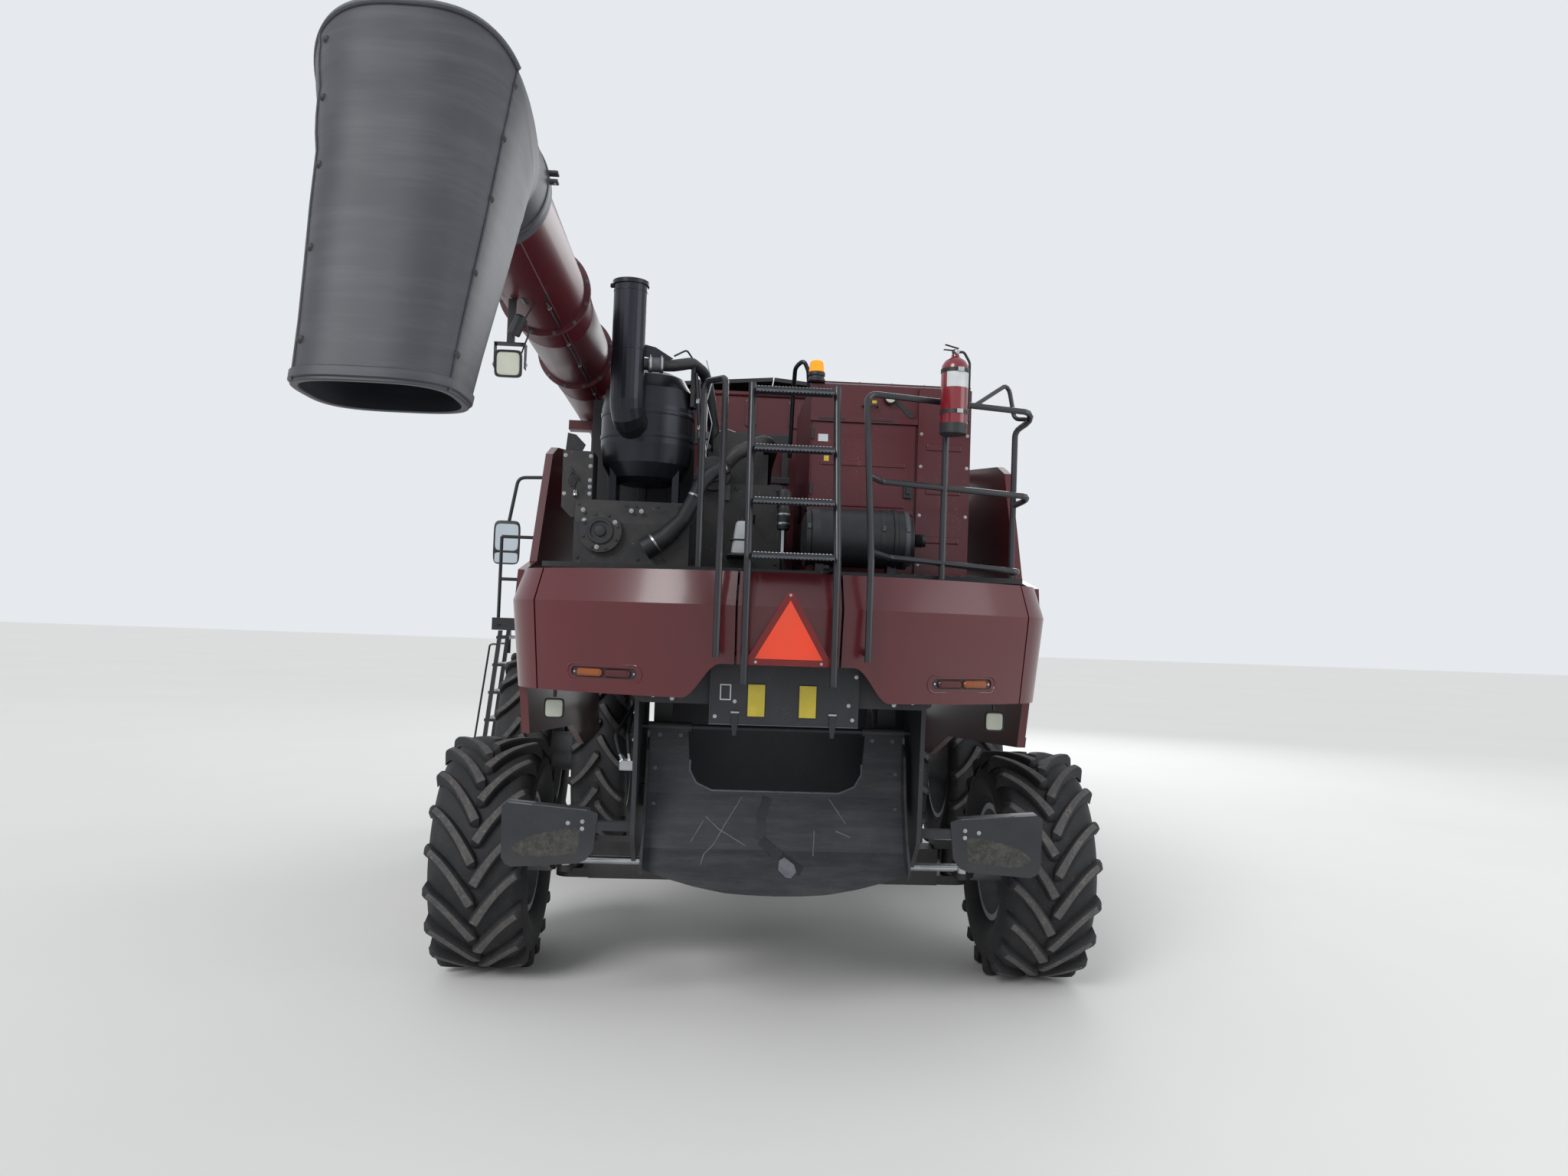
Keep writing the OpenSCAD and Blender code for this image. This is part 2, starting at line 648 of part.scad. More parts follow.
// Flanks of the tank: foot and top of the upright part, foot of the upper part
flank_z = [2750, 3300, 3600];
tank_y0 = 1080;
tank_y1 = 2720;
tank_y2 = 3300;
function tank_section(t) = [
    [-separator_x + t * 0.6, sep_top + seat + t], [-tank_low_x + t, flank_z[0] + t / 2],
    [-tank_low_x + t, flank_z[1] - t / 2], [-tank_top_x + t, flank_z[2] - t / 2],
    [-tank_top_x + t, tank_top_z + (t > 0 ? 1 : 0)], [tank_top_x - t, tank_top_z + (t > 0 ? 1 : 0)],
    [tank_top_x - t, flank_z[2] - t / 2], [tank_low_x - t, flank_z[1] - t / 2],
    [tank_low_x - t, flank_z[0] + t / 2], [separator_x - t * 0.6, sep_top + seat + t]
];
riser_x = 1200;
riser_r = 165;
turret_top = tube_z - tube_d / 2 - 60;
tube_low = tube_z - tube_d / 2;
module grain_tank() color(RED) {
    difference() {
        union() {
            section_plate(tank_section(0), tank_y0, tank_y1);
            block([-tank_top_x + 40, y_ra + tank_y1 - 1, 2600],
                [tank_top_x - 40, y_ra + tank_y2, tank_top_z]);
        }
        section_plate(tank_section(tank_wall), tank_y0 + tank_wall, tank_y1 - tank_wall);
        block([-tank_top_x + 40 + tank_wall, y_ra + tank_y1 - tank_wall - 1, 2600 + tank_wall],
              [tank_top_x - 40 - tank_wall, y_ra + tank_y2 - tank_wall, tank_top_z + 1]);
    }
    // turret of the unloading tube
    tube_run([[-riser_x, y_ra + turret_y, 2600], [-riser_x, y_ra + turret_y, 3250],
              [-tube_x, y_ra + turret_y, 3640], [-tube_x, y_ra + turret_y, 3720]], 2 * riser_r, 400, 24);
    translate([-tube_x, y_ra + turret_y, 3620]) cylinder(h = turret_top - 3620, r = turret_r);
    block([-riser_x, y_ra + turret_y - 120, 2700], [-tank_top_x + 41, y_ra + turret_y + 120, 3100]);
    both_sides() panel_arms();
    // saddle under the stored tube
    block([-tube_x - 28, y_ra + 840, deck_z + seat], [-tube_x + 42, y_ra + 960, tube_low - 40]);
    block([-tube_x - 200, y_ra + 840, tube_low - 70], [-tube_x + 200, y_ra + 960, tube_low - seat]);
}

module tank_cover(side) color(BLACK) scale_side(side)
    section_plate([
        [6, tank_top_z + 90], [tank_top_x - 24, tank_top_z + seat], [tank_top_x, tank_top_z + seat],
        [tank_top_x, tank_top_z + 25], [tank_top_x - 20, tank_top_z + 30], [6, tank_top_z + 120]
    ], tank_y0, tank_y2);
module tank_cover_left() tank_cover(-1);
module tank_cover_right() tank_cover(1);

// Skin section: [outward offset from the crease line, z], outer face then inner face.
skin_low = -50;
skin_top = -60;
function skin(low_z, top_z, top_off) = [
    [skin_low, low_z], [0, crease_z], [top_off, top_z],
    [top_off - panel_t, top_z], [-panel_t, crease_z], [skin_low - panel_t, low_z]
];
function shift_x(points, d) = [for (p = points) [p[0] + d, p[1]]];

// Tail panels: a wide arc in three pieces with two tight corner pieces.
corner_a = 37.6;
corner_r = 450;
centre_half = 270;
corner_c = [(tail_r - corner_r) * sin(corner_a), tail_r - tail_y - (tail_r - corner_r) * cos(corner_a)];
tail_skin = skin(tail_low_z, tail_top_z, skin_top);
module tail_arc(a0, a1, section) translate([0, y_ra + tail_r - tail_y, 0]) rotate([0, 0, -90 + a0])
    rotate_extrude(angle = a1 - a0, $fn = 96) polygon(shift_x(section, tail_r));
module tail_corner(section, a0) translate([corner_c[0], y_ra + corner_c[1], 0]) rotate([0, 0, -90 + a0])
    rotate_extrude(angle = 90 - a0) polygon(shift_x(section, corner_r));
// Section of the rail behind the panels: it lies against their inner face above the crease.
function skin_in(z) = skin_top * (z - crease_z) / (tail_top_z - crease_z) - panel_t - seat;
tail_rail_z = [crease_z + 30, crease_z + 110];
tail_rail = [
    [skin_in(tail_rail_z[0]) - 50, tail_rail_z[0]], [skin_in(tail_rail_z[0]), tail_rail_z[0]],
    [skin_in(tail_rail_z[1]), tail_rail_z[1]], [skin_in(tail_rail_z[1]) - 50, tail_rail_z[1]]
];
// Tail lamps sit in an oval recess on each side.
lamp_z = 2010;
lamp_x = 990;
lamp_len = 345;
lamp_h = 44;
lamp_deep = 16;
lamp_face_r = tail_r + skin_low * (crease_z - lamp_z) / (crease_z - tail_low_z);
module lamp_place()
    translate([0, y_ra + tail_r - tail_y, lamp_z]) rotate([0, 0, asin(lamp_x / tail_r)])
        translate([0, -lamp_face_r + lamp_deep, 0]) children();
// A bar with round ends that lies along x and runs from y = 0 to y = deep.
module stadium(len, h, deep) {
    low = min(0, deep);
    block([-len / 2 + h / 2, low, -h / 2], [len / 2 - h / 2, low + abs(deep), h / 2]);
    for (x = [-1, 1]) translate([x * (len / 2 - h / 2), low, 0]) rotate([-90, 0, 0])
        cylinder(h = abs(deep), d = h);
}
// The side pieces' lower edge sweeps up to the middle piece between these half widths.
sweep_x = [350, 550];
sweep_z = 2085;
module tail_panels() color(RED) {
    gap_a = asin(seam / tail_r);
    centre_a = asin(centre_half / tail_r);
    difference() {
        tail_arc(-centre_a, centre_a, tail_skin);
        block([-centre_half - 20, y_ra - 2000, tail_low_z - 10], [centre_half + 20, y_ra - 1000, sweep_z]);
    }
    both_sides() {
        difference() {
            tail_arc(centre_a + gap_a, corner_a, tail_skin);
            lamp_place() stadium(lamp_len + 60, lamp_h + 14, -40);
            section_plate(concat([[0, tail_low_z - 10], [0, sweep_z]],
                [for (t = [0 : 0.125 : 1]) [sweep_x[0] + (sweep_x[1] - sweep_x[0]) * t,
                                            sweep_z - (sweep_z - tail_low_z + 1) * (1 - cos(180 * t)) / 2]],
                [[sweep_x[1], tail_low_z - 10]]), -2000, -1000);
        }
        tail_corner(tail_skin, corner_a + 1.5);
    }
}

// Side panels hinge at their top edge.
panel_y0 = corner_c[1] + seam;
panel_y1 = 3440;
panel_top = 3540;
panel_front_top = 3130;
arch_r = front_tyre_r + 175;
// Hinges of the side panels: a knuckle on the panel's top edge turns on a pin between two arms of the tank.
panel_hinge = [crease_x - 95, panel_top];
panel_hinge_y = [1250, 2150];
knuckle_half = 30;
arm_gap = 6;
module panel_arms() for (h = panel_hinge_y) {
    for (y = [h - knuckle_half - arm_gap - 20, h + knuckle_half + arm_gap])
        section_plate([
            [tank_low_x - 160, 3460], [tank_low_x - 228, 3530], [panel_hinge[0] - 10, panel_top + 20],
            [panel_hinge[0] + 16, panel_top + 12], [panel_hinge[0] + 16, panel_top - 12],
            [panel_hinge[0] - 10, panel_top - 18]
        ], y, y + 20);
    hinge_cyl(h, knuckle_half + arm_gap + 20, 8);
}
module hinge_cyl(h, half, r)
    translate([panel_hinge[0], y_ra + h + half, panel_hinge[1]]) rotate([90, 0, 0])
        cylinder(h = 2 * half, r = r);
module side_panel(side) color(RED) scale_side(side) difference() {
    union() {
        panel_skin();
        for (h = panel_hinge_y) hinge_cyl(h, knuckle_half, 18);
    }
    for (h = panel_hinge_y) {
        hinge_cyl(h, knuckle_half + 1, 8 + run_gap);
        for (y = [h - knuckle_half - 32, h + knuckle_half])
            block([panel_hinge[0] - 60, y_ra + y, panel_top - 30],
                [panel_hinge[0] + 60, y_ra + y + 32, panel_top + 1]);
    }
}
module panel_skin() intersection() {
    difference() {
        side_plate([
            [panel_y0, 1620], [panel_y0, tail_top_z], [-640, 2640], [-480, 3330], [-300, 3400],
            [900, panel_top],
            [2300, panel_top], [panel_y1, panel_front_top], [panel_y1, 1300], [1500, 1300], [900, 1500]
        ], 1300, 1700);
        translate([1200, y_fa, front_z]) rotate([0, 90, 0]) cylinder(h = 600, r = arch_r, $fn = 96);
    }
    section_plate([
        [crease_x - 110, 1250], [crease_x, crease_z], [crease_x - 20, 2700], [crease_x - 80, 3600],
        [crease_x - 80 - panel_t, 3600], [crease_x - 20 - panel_t, 2700], [crease_x - panel_t, crease_z],
        [crease_x - 110 - panel_t, 1250]
    ], panel_y0, panel_y1);
}
module side_panel_left() side_panel(-1);
module side_panel_right() side_panel(1);

module rear_lamps() {
    // tail lamps, two a side
    both_sides() lamp_place() translate([0, -seat, 0]) for (x = [-1, 1]) translate([x * lamp_len / 4, 0, 0])
        color(x < 0 ? LAMP_RED : LAMP_AMBER) stadium(lamp_len / 2 - 6, lamp_h, -lamp_deep - 8);
    // work lamps under the tail
    color(BLACK) both_sides() block([1250, y_ra - 960, 1705], [1370, y_ra - 880, 1825]);
    color(BLACK) both_sides() block([1300, y_ra - 930, 1825], [1320, y_ra - 900, deck_low - seat]);
    // beacon
    translate([box_x[0] + 26, y_ra + box_y[0] + 10, box_top]) {
        color(BLACK) translate([0, 0, seat]) cylinder(h = 60, r = 55);
        color(BEACON_AMBER) translate([0, 0, 60]) cylinder(h = 75, r1 = 55, r2 = 42);
    }
}

// Slow-vehicle triangle on the tail and two blank plates below it
sign_z = 2120;
sign_w = 352;
sign_h = 305;
plate_x = [-150, 125];
module rear_signs() {
    color(SIGN_ORANGE) translate([0, y_ra - tail_y - seat, sign_z]) rotate([90, 0, 0]) linear_extrude(6)
        polygon([[-sign_w / 2, 0], [sign_w / 2, 0], [0, sign_h]]);
    color(PLATE_YELLOW) for (x = plate_x)
        block([x - 50, y_ra - 1606, 1800], [x + 50, y_ra - 1600, 1980]);
}

rail_d = 36;
rail_top = 3590;
// Handrails beside the ladder: they run down over the tail panels.
hand_x = 405;
hand_y = -1872;
hand_z = [2640, 2120];
rail_from = [hand_x, -1500];
// Loop at the right end of a rail, back to the post
loop_out = [1450, -1270];
rail_a = atan2(loop_out[1] - rail_from[1], loop_out[0] - rail_from[0]);
post_at = [1325, -1170];
inner_post = 870;
mid_bar = 3110;
low_bar = 2690;
// Left handrail: half width of its leg, height and place of its arch
left_x = 375;
arch_z = 3670;
arch_y = -1240;
// Place of the handrail's leg at a height
function hand_at(z) = hand_y + (rail_from[1] - hand_y) * (z - hand_z[0]) / (rail_top - hand_z[0]);
function rail_y(x) = rail_from[1] + (x - rail_from[0]) * tan(rail_a);
module deck_rails() color(BLACK) {
    // right rail: one bent tube from the tail over the top to the outer post
    tube_run([
        [hand_x, y_ra + hand_y, hand_z[1]], [hand_x, y_ra + hand_y, hand_z[0]],
        [rail_from[0], y_ra + rail_from[1], rail_top], [loop_out[0], y_ra + loop_out[1], rail_top - 20],
        [post_at[0], y_ra + post_at[1], rail_top - 110], [post_at[0], y_ra + post_at[1], deck_z + seat]
    ], rail_d, 60);
    // middle and lower bars
    tube_run([
        [hand_x, y_ra + hand_at(mid_bar), mid_bar], [hand_x + 95, y_ra + rail_y(hand_x + 95), mid_bar],
        [loop_out[0] - 40, y_ra + loop_out[1], mid_bar - 25], [post_at[0], y_ra + post_at[1], mid_bar - 70]
    ], rail_d, 40);
    tube_run([
        [hand_x, y_ra + hand_at(low_bar), low_bar], [hand_x + 155, y_ra + rail_y(hand_x + 155), low_bar],
        [loop_out[0] - 120, y_ra + loop_out[1] - 30, low_bar - 40],
        [post_at[0], y_ra + post_at[1], low_bar - 40]
    ], rail_d, 40);
    // inner post and its foot
    bar([inner_post, y_ra + rail_y(inner_post), deck_z - 25],
        [inner_post, y_ra + rail_y(inner_post), rail_top - 8], rail_d);
    block([inner_post - 15, y_ra + rail_y(inner_post), deck_z - 25],
          [inner_post + 15, y_ra - deck_back - seat, deck_z - 5]);
    // gate loop above the corner
    tube_run([
        [1040, y_ra + rail_y(1040), rail_top - 8], [1290, y_ra - 1120, 3770], [1330, y_ra - 1130, 3560],
        [1400, y_ra - 1215, 3545]
    ], 26, 40);
    // left handrail: an arch whose rear leg runs down over the tail
    tube_run([
        [-left_x, y_ra + hand_y, hand_z[1]], [-left_x, y_ra + hand_y, hand_z[0]],
        [-left_x, y_ra + rail_from[1], arch_z - 30], [-left_x - 120, y_ra + arch_y, arch_z],
        [-left_x - 120, y_ra + arch_y, deck_z + seat]
    ], rail_d, 60);
    // feet of the handrails on the tail
    for (x = [hand_x, -left_x])
        block([x - 12, y_ra + hand_y, hand_z[1] + 30],
              [x + 12, y_ra + tail_back(abs(x) - 12) - seat, hand_z[1] + 60]);
}
// Rear face of the tail panels at a place beside the middle, at the handrails' feet
function tail_back(x) =
    let (r = tail_r + skin_low * (crease_z - hand_z[1] - 60) / (crease_z - tail_low_z))
    tail_r - tail_y - sqrt(r * r - x * x);

lean = 300;
ladder_top = 3600;
ladder_half = 230;
rung_z = [2650, 2940, 3230, 3560];
module rear_ladder() color(BLACK) {
    foot_y = -tail_y - 50;
    knee_z = tail_top_z + 60;
    both_sides() {
        tube_run([
            [ladder_half, y_ra + foot_y, 1990], [ladder_half, y_ra + foot_y, knee_z],
            [ladder_half, y_ra + foot_y + lean, ladder_top]
        ], 40);
        block([ladder_half - 15, y_ra + foot_y, deck_z - 25],
            [ladder_half + 15, y_ra - deck_back - seat, deck_z - 5]);
    }
    for (z = rung_z) {
        y = foot_y + lean * (z - knee_z) / (ladder_top - knee_z);
        block([-ladder_half, y_ra + y - 60, z - 12], [ladder_half, y_ra + y + 60, z + 12]);
    }
}

// Fire extinguisher in a clamp on the outer side of the top rail
ext_x = 862;
ext_r = 76;
ext_z = 3380;
module extinguisher() color(BOTTLE_RED) translate([ext_x, y_ra + rail_y(ext_x), 0]) rotate([0, 0, rail_a]) {
    out = rail_d / 2 + seat;
    translate([0, -out - 22 - ext_r, ext_z]) rotate_extrude() polygon([
        [0, 0], [ext_r - 8, 0], [ext_r, 8], [ext_r, 390], [ext_r - 12, 428], [ext_r - 40, 455],
        [22, 462], [22, 500], [0, 500]
    ]);
    block([-25, -out - 30, rail_top - 20], [25, -out, rail_top + 20]);
}

// Cab
cab_y1 = cab_y + cab_len;
// Windscreen's foremost line: height, and how far it stands ahead of the cab's foot
nose_z = 3100;
nose_out = 130;
// Windows: top edge, sills, half width of the rear one
glass_top = 3620;
left_sill = 2900;
right_sill = 2700;
rear_window_x = 620;
rear_window_z = [2950, 3600];
module cab_shell() color(RED) {
    difference() {
        side_plate([
            [cab_y, cab_z], [cab_y, roof_z], [cab_y1 - 20, roof_z], [cab_y1 + nose_out, nose_z],
            [cab_y1, cab_z]
        ], -cab_x, cab_x);
        side_plate([
            [cab_y + cab_wall, cab_z + cab_wall], [cab_y + cab_wall, roof_z + 1],
            [cab_y1 - cab_wall - 20, roof_z + 1],
            [cab_y1 + nose_out - cab_wall, nose_z], [cab_y1 - cab_wall, cab_z + cab_wall]
        ], -cab_x + cab_wall, cab_x - cab_wall);
        // rear window
        block([-rear_window_x, y_ra + cab_y - 1, rear_window_z[0]],
              [rear_window_x, y_ra + cab_y + cab_wall + 1, rear_window_z[1]]);
        // side windows: the left one is the doorway
        block([-cab_x - 1, y_ra + cab_y + 120, left_sill],
              [-cab_x + cab_wall + 1, y_ra + cab_y + 700, glass_top]);
        block([cab_x - cab_wall - 1, y_ra + cab_y + 120, right_sill],
              [cab_x + 1, y_ra + cab_y1 - 120, glass_top]);
        block([-cab_x - 1, y_ra + cab_y + 760, cab_z + cab_wall],
              [-cab_x + cab_wall + 1, y_ra + cab_y1 - 100, glass_top + 20]);
        // windscreen
        block([-cab_x + cab_wall, y_ra + cab_y1 - 400, cab_z + 200],
              [cab_x - cab_wall, y_ra + cab_y1 + 300, glass_top]);
    }
    // hinge lugs for the door
    for (z = door_hinge_z) {
        translate([door_hinge[0], y_ra + door_hinge[1], z - 50]) cylinder(h = 50 - seat, r = hinge_r);
        block([door_hinge[0], y_ra + door_hinge[1] - hinge_r, z - 50],
              [-cab_x + 1, y_ra + door_hinge[1], z - seat]);
    }
}

module cab_glass() color(GLASS) {
    side_plate([
        [cab_y1 - 10, cab_z + 201], [cab_y1 + nose_out - 10, nose_z], [cab_y1 - 32, glass_top - 1],
        [cab_y1 - 48, glass_top - 1], [cab_y1 + nose_out - 27, nose_z], [cab_y1 - 26, cab_z + 201]
    ], -cab_x + cab_wall + seat, cab_x - cab_wall - seat);
    block([cab_x - 35, y_ra + cab_y + 120 + seat, right_sill + seat],
          [cab_x - 20, y_ra + cab_y1 - 120 - seat, glass_top - seat]);
    block([-cab_x + 20, y_ra + cab_y + 120 + seat, left_sill + seat],
          [-cab_x + 35, y_ra + cab_y + 700 - seat, glass_top - seat]);
    block([-rear_window_x + seat, y_ra + cab_y + 20, rear_window_z[0] + seat],
          [rear_window_x - seat, y_ra + cab_y + 40, rear_window_z[1] - seat]);
}

roof_crown = 250;
roof_nose = 130;
roof_brim = 260;
module cab_roof() color(RED)
    side_plate([
        [cab_y - 40, roof_z + seat], [cab_y - 40, roof_z + 170], [cab_y + 200, roof_z + roof_crown],
        [cab_y1, roof_z + roof_crown], [cab_y1 + roof_brim, roof_z + roof_nose],
        [cab_y1 + roof_brim, roof_z + seat]
    ], -cab_x - 20, cab_x + 20);

module cab_interior() color(DARK) {
    z = cab_z + cab_wall + seat;
    block([-250, y_ra + cab_y + 450, z], [250, y_ra + cab_y + 900, z + 450]);
    block([-250, y_ra + cab_y + 330, z], [250, y_ra + cab_y + 449, z + 1150]);
    block([330, y_ra + cab_y + 500, z], [560, y_ra + cab_y + 1200, z + 650]);
    block([-80, y_ra + cab_y + 1230, z], [80, y_ra + cab_y + 1360, z + 20]);
    bar([0, y_ra + cab_y + 1300, z + 12], [0, y_ra + cab_y + 1200, z + 700], 80);
    translate([0, y_ra + cab_y + 1195, z + 700]) rotate([15, 0, 0]) cylinder(h = 30, r = 190);
}

mirror_w = 300;
mirror_z = [2900, 3400];
mirror_arm_d = 40;
module mirrors() color(BLACK) both_sides() {
    post = [cab_x - 100, y_ra + cab_y1 + 200];
    arm_z = roof_z + 290;
    arm_x = mirror_reach - mirror_w / 2;
    arm_y = y_ra + cab_y1 + 100;
    tube_run([
        [post[0], post[1], arm_z], [arm_x - 100, arm_y, arm_z - 90], [arm_x, arm_y, mirror_z[1] - 100]
    ], mirror_arm_d);
    block([mirror_reach - mirror_w, arm_y - 20, mirror_z[0]], [mirror_reach, arm_y + 40, mirror_z[1]]);
    // post on the slope of the roof's brim
    foot_z = roof_z + roof_crown - (roof_crown - roof_nose) * 180 / roof_brim + 2 * seat;
    bar([post[0], post[1], foot_z], [post[0], post[1], arm_z], mirror_arm_d);
}

plat_x = 2740;
plat_y0 = 4330;
plat_y1 = 5240;
// Rails at its rear edge: posts and heights
plat_posts = [-1750, -2680];
plat_bars = [2700, 3150];
module cab_platform() color(BLACK) {
    block([-plat_x, y_ra + plat_y0, cab_z - 70], [-cab_x - 20, y_ra + plat_y1, cab_z - 20]);
    translate([-ladder_hinge[0], y_ra + ladder_hinge[1], cab_z - 70]) cylinder(h = 50, r = 24);
    rail_y0 = y_ra + plat_y0 + 30;
    for (z = plat_bars) tube_run([[plat_posts[0], rail_y0, z], [plat_posts[1], rail_y0, z]], rail_d);
    for (x = plat_posts) bar([x, rail_y0, cab_z - 20], [x, rail_y0, plat_bars[1]], rail_d);
    // floor under the cab on its stands
    block([-cab_x - 21, y_ra + cab_y, cab_z - 60], [cab_x, y_ra + cab_y1 - 60, cab_z - seat]);
    both_sides() for (y = [3560, 3800])
        block([rail_x, y_ra + y, frame_z[1] + seat], [separator_x + rail_w, y_ra + y + 100, cab_z - 59]);
}

// Door on two lift-off hinges at its rear edge.
door_y = cab_y + 766;
hinge_r = 14;
door_hinge = [-cab_x - hinge_r, door_y - 14];
door_hinge_z = [2500, 3400];
module cab_door() color(DOOR_GLASS) {
    block([-cab_x, y_ra + door_y, cab_z + cab_wall + 8],
        [-cab_x + 40, y_ra + cab_y1 - 108, glass_top + 12]);
    for (z = door_hinge_z) {
        translate([door_hinge[0], y_ra + door_hinge[1], z]) cylinder(h = 60, r = hinge_r);
        block([-cab_x - hinge_r - 6, y_ra + door_hinge[1], z],
              [-cab_x - hinge_r + 6, y_ra + door_y + 120, z + 60]);
        block([-cab_x - hinge_r - 6, y_ra + door_y + 40, z], [-cab_x + 1, y_ra + door_y + 120, z + 60]);
    }
}

ladder_y0 = plat_y1 - 520;
ladder_hinge = [2722, plat_y1 + 12];
ladder_lean = 170;
module cab_ladder() color(BLACK) {
    top = cab_z - 78;
    low = 480;
    for (y = [ladder_y0, plat_y1 - 40])
        section_plate([
            [-2700, top], [-2745, top], [-2745 - ladder_lean, low], [-2700 - ladder_lean, low]
        ], y, y + 30);
    for (z = [560 : 300 : top - 60]) {
        x = -2735 - ladder_lean * (top - z) / (top - low);
        block([x - 20, y_ra + ladder_y0 + 1, z], [x + 120, y_ra + plat_y1 - 11, z + 30]);
    }
    // hinge barrel under the platform's corner
    translate([-ladder_hinge[0], y_ra + ladder_hinge[1], top - 260]) cylinder(h = 268 - seat, r = 22);
    block([-ladder_hinge[0] - 10, y_ra + plat_y1 - 20, top - 250],
          [-ladder_hinge[0] + 10, y_ra + ladder_hinge[1], top - 10]);
}

// Unloading tube, which ends inside the spout's collar
tube_in = 150;
turret_r = 225;
band_y = [2600, -400, -1700];
lamp_at = [-tube_x - 60, y_ra - 2250, tube_low];
module unload_tube() color(RED) {
    translate([-tube_x, y_ra, tube_z]) {
        difference() {
            union() {
                translate([0, turret_y, 0]) rotate([90, 0, 0])
                    cylinder(h = turret_y + collar_y + tube_in, d = tube_d, $fn = 64);
                translate([0, turret_y, -tube_d / 2 - 59]) cylinder(h = tube_d / 2 + 59, r = turret_r);
                translate([0, turret_y, 0]) sphere(d = tube_d + 40);
                for (y = band_y) translate([0, y, 0]) rotate([90, 0, 0]) cylinder(h = 24, d = tube_d + 60);
            }
            translate([0, turret_y - 400, 0]) rotate([90, 0, 0])
                cylinder(h = turret_y + collar_y, d = tube_d - 24, $fn = 64);
        }
    }
    // lamp under the tube
    translate(lamp_at) {
        block([-65, -50, -370], [65, 50, -245]);
        block([-15, -15, -246], [15, 15, 14]);
    }
}

// A sleeve between outer and inner rings of points, open at both ends.
module sleeve(outer, inner) {
    n = len(outer[0]);
    last = len(outer) - 1;
    m = len(outer) * n;
    ks = [for (k = [0 : n - 1]) [k, (k + 1) % n]];
    polyhedron(
        concat([for (ring = outer) each ring], [for (ring = inner) each ring]),
        concat(
            [for (i = [0 : last - 1], k = ks) each [
                [i * n + k[0], (i + 1) * n + k[0], (i + 1) * n + k[1]],
                [i * n + k[0], (i + 1) * n + k[1], i * n + k[1]],
                [m + i * n + k[0], m + (i + 1) * n + k[1], m + (i + 1) * n + k[0]],
                [m + i * n + k[0], m + i * n + k[1], m + (i + 1) * n + k[1]]
            ]],
            [for (k = ks) each [
                [k[0], k[1], m + k[1]], [k[0], m + k[1], m + k[0]],
                [m + last * n + k[0], last * n + k[1], last * n + k[0]],
                [m + last * n + k[0], m + last * n + k[1], last * n + k[1]]
            ]]
        )
    );
}

// Rubber spout: sections that fan about boot_q, from the round collar over the crest to the flat back.
boot_sides = 32;
collar_in = (tube_d / 2 + seat) / cos(180 / boot_sides);
collar_r = collar_in + boot_wall;
boot_drop = 300;
boot_q = [-collar_y - 250, tube_z - boot_drop];
crest = [-boot_back + boot_lean, tube_z + collar_r - 20];
mouth_back = [-boot_back, boot_mouth_z];
crest_a = atan2(boot_q[0] - crest[0], crest[1] - boot_q[1]);
throat = boot_drop - collar_r;
function top_reach(a) = (crest[1] - boot_q[1]) / cos(a);
function back_reach(a) =
    let (d = [-sin(a), cos(a)], b = mouth_back - crest) cross(crest - boot_q, b) / cross(d, b);
// [origin [y, z], angle, inner end, outer end, half width, roundness, sideways shift]
boot_sections = [
    [[-collar_y, tube_z], 0, -collar_r, collar_r, collar_r, 2, 0],
    [boot_q, 0, throat, boot_drop + collar_r, collar_r, 2, 0],
    [boot_q, 18, throat, top_reach(18), collar_r + 28, 2.1, -crest_shift * 0.3],
    [boot_q, 36, throat, top_reach(36), boot_w / 2 - 36, 2.4, -crest_shift * 0.65],
    [boot_q, crest_a, throat, top_reach(crest_a), boot_w / 2, 2.8, -crest_shift],
    [boot_q, crest_a + 4, throat, back_reach(crest_a + 4), boot_w / 2 - 3, 2.9, -crest_shift],
    [boot_q, 72, throat, back_reach(72), boot_w / 2 - 24, 3, -crest_shift * 0.9],
    [boot_q, 90, throat, back_reach(90), boot_w / 2 - 50, 3.2, -crest_shift * 0.8],
    [[-boot_back + mouth_len, boot_mouth_z], 90, 0, mouth_len, mouth_w / 2, 3.2, -crest_shift * 0.68]
];
function boot_ring(s, wall) = [for (k = [0 : boot_sides - 1]) let (
    c = cos(360 * k / boot_sides),
    d = sin(360 * k / boot_sides),
    x = (s[4] - wall) * sign(c) * pow(abs(c), 2 / s[5]),
    r = (s[2] + s[3]) / 2 + ((s[3] - s[2]) / 2 - wall) * sign(d) * pow(abs(d), 2 / s[5])
) [-tube_x + s[6] + x, y_ra + s[0][0] - r * sin(s[1]), s[0][1] + r * cos(s[1])]];
module spout_boot() color(RUBBER)
    sleeve([for (s = boot_sections) boot_ring(s, 0)], [for (s = boot_sections) boot_ring(s, boot_wall)]);

lock_pin_r = 20;
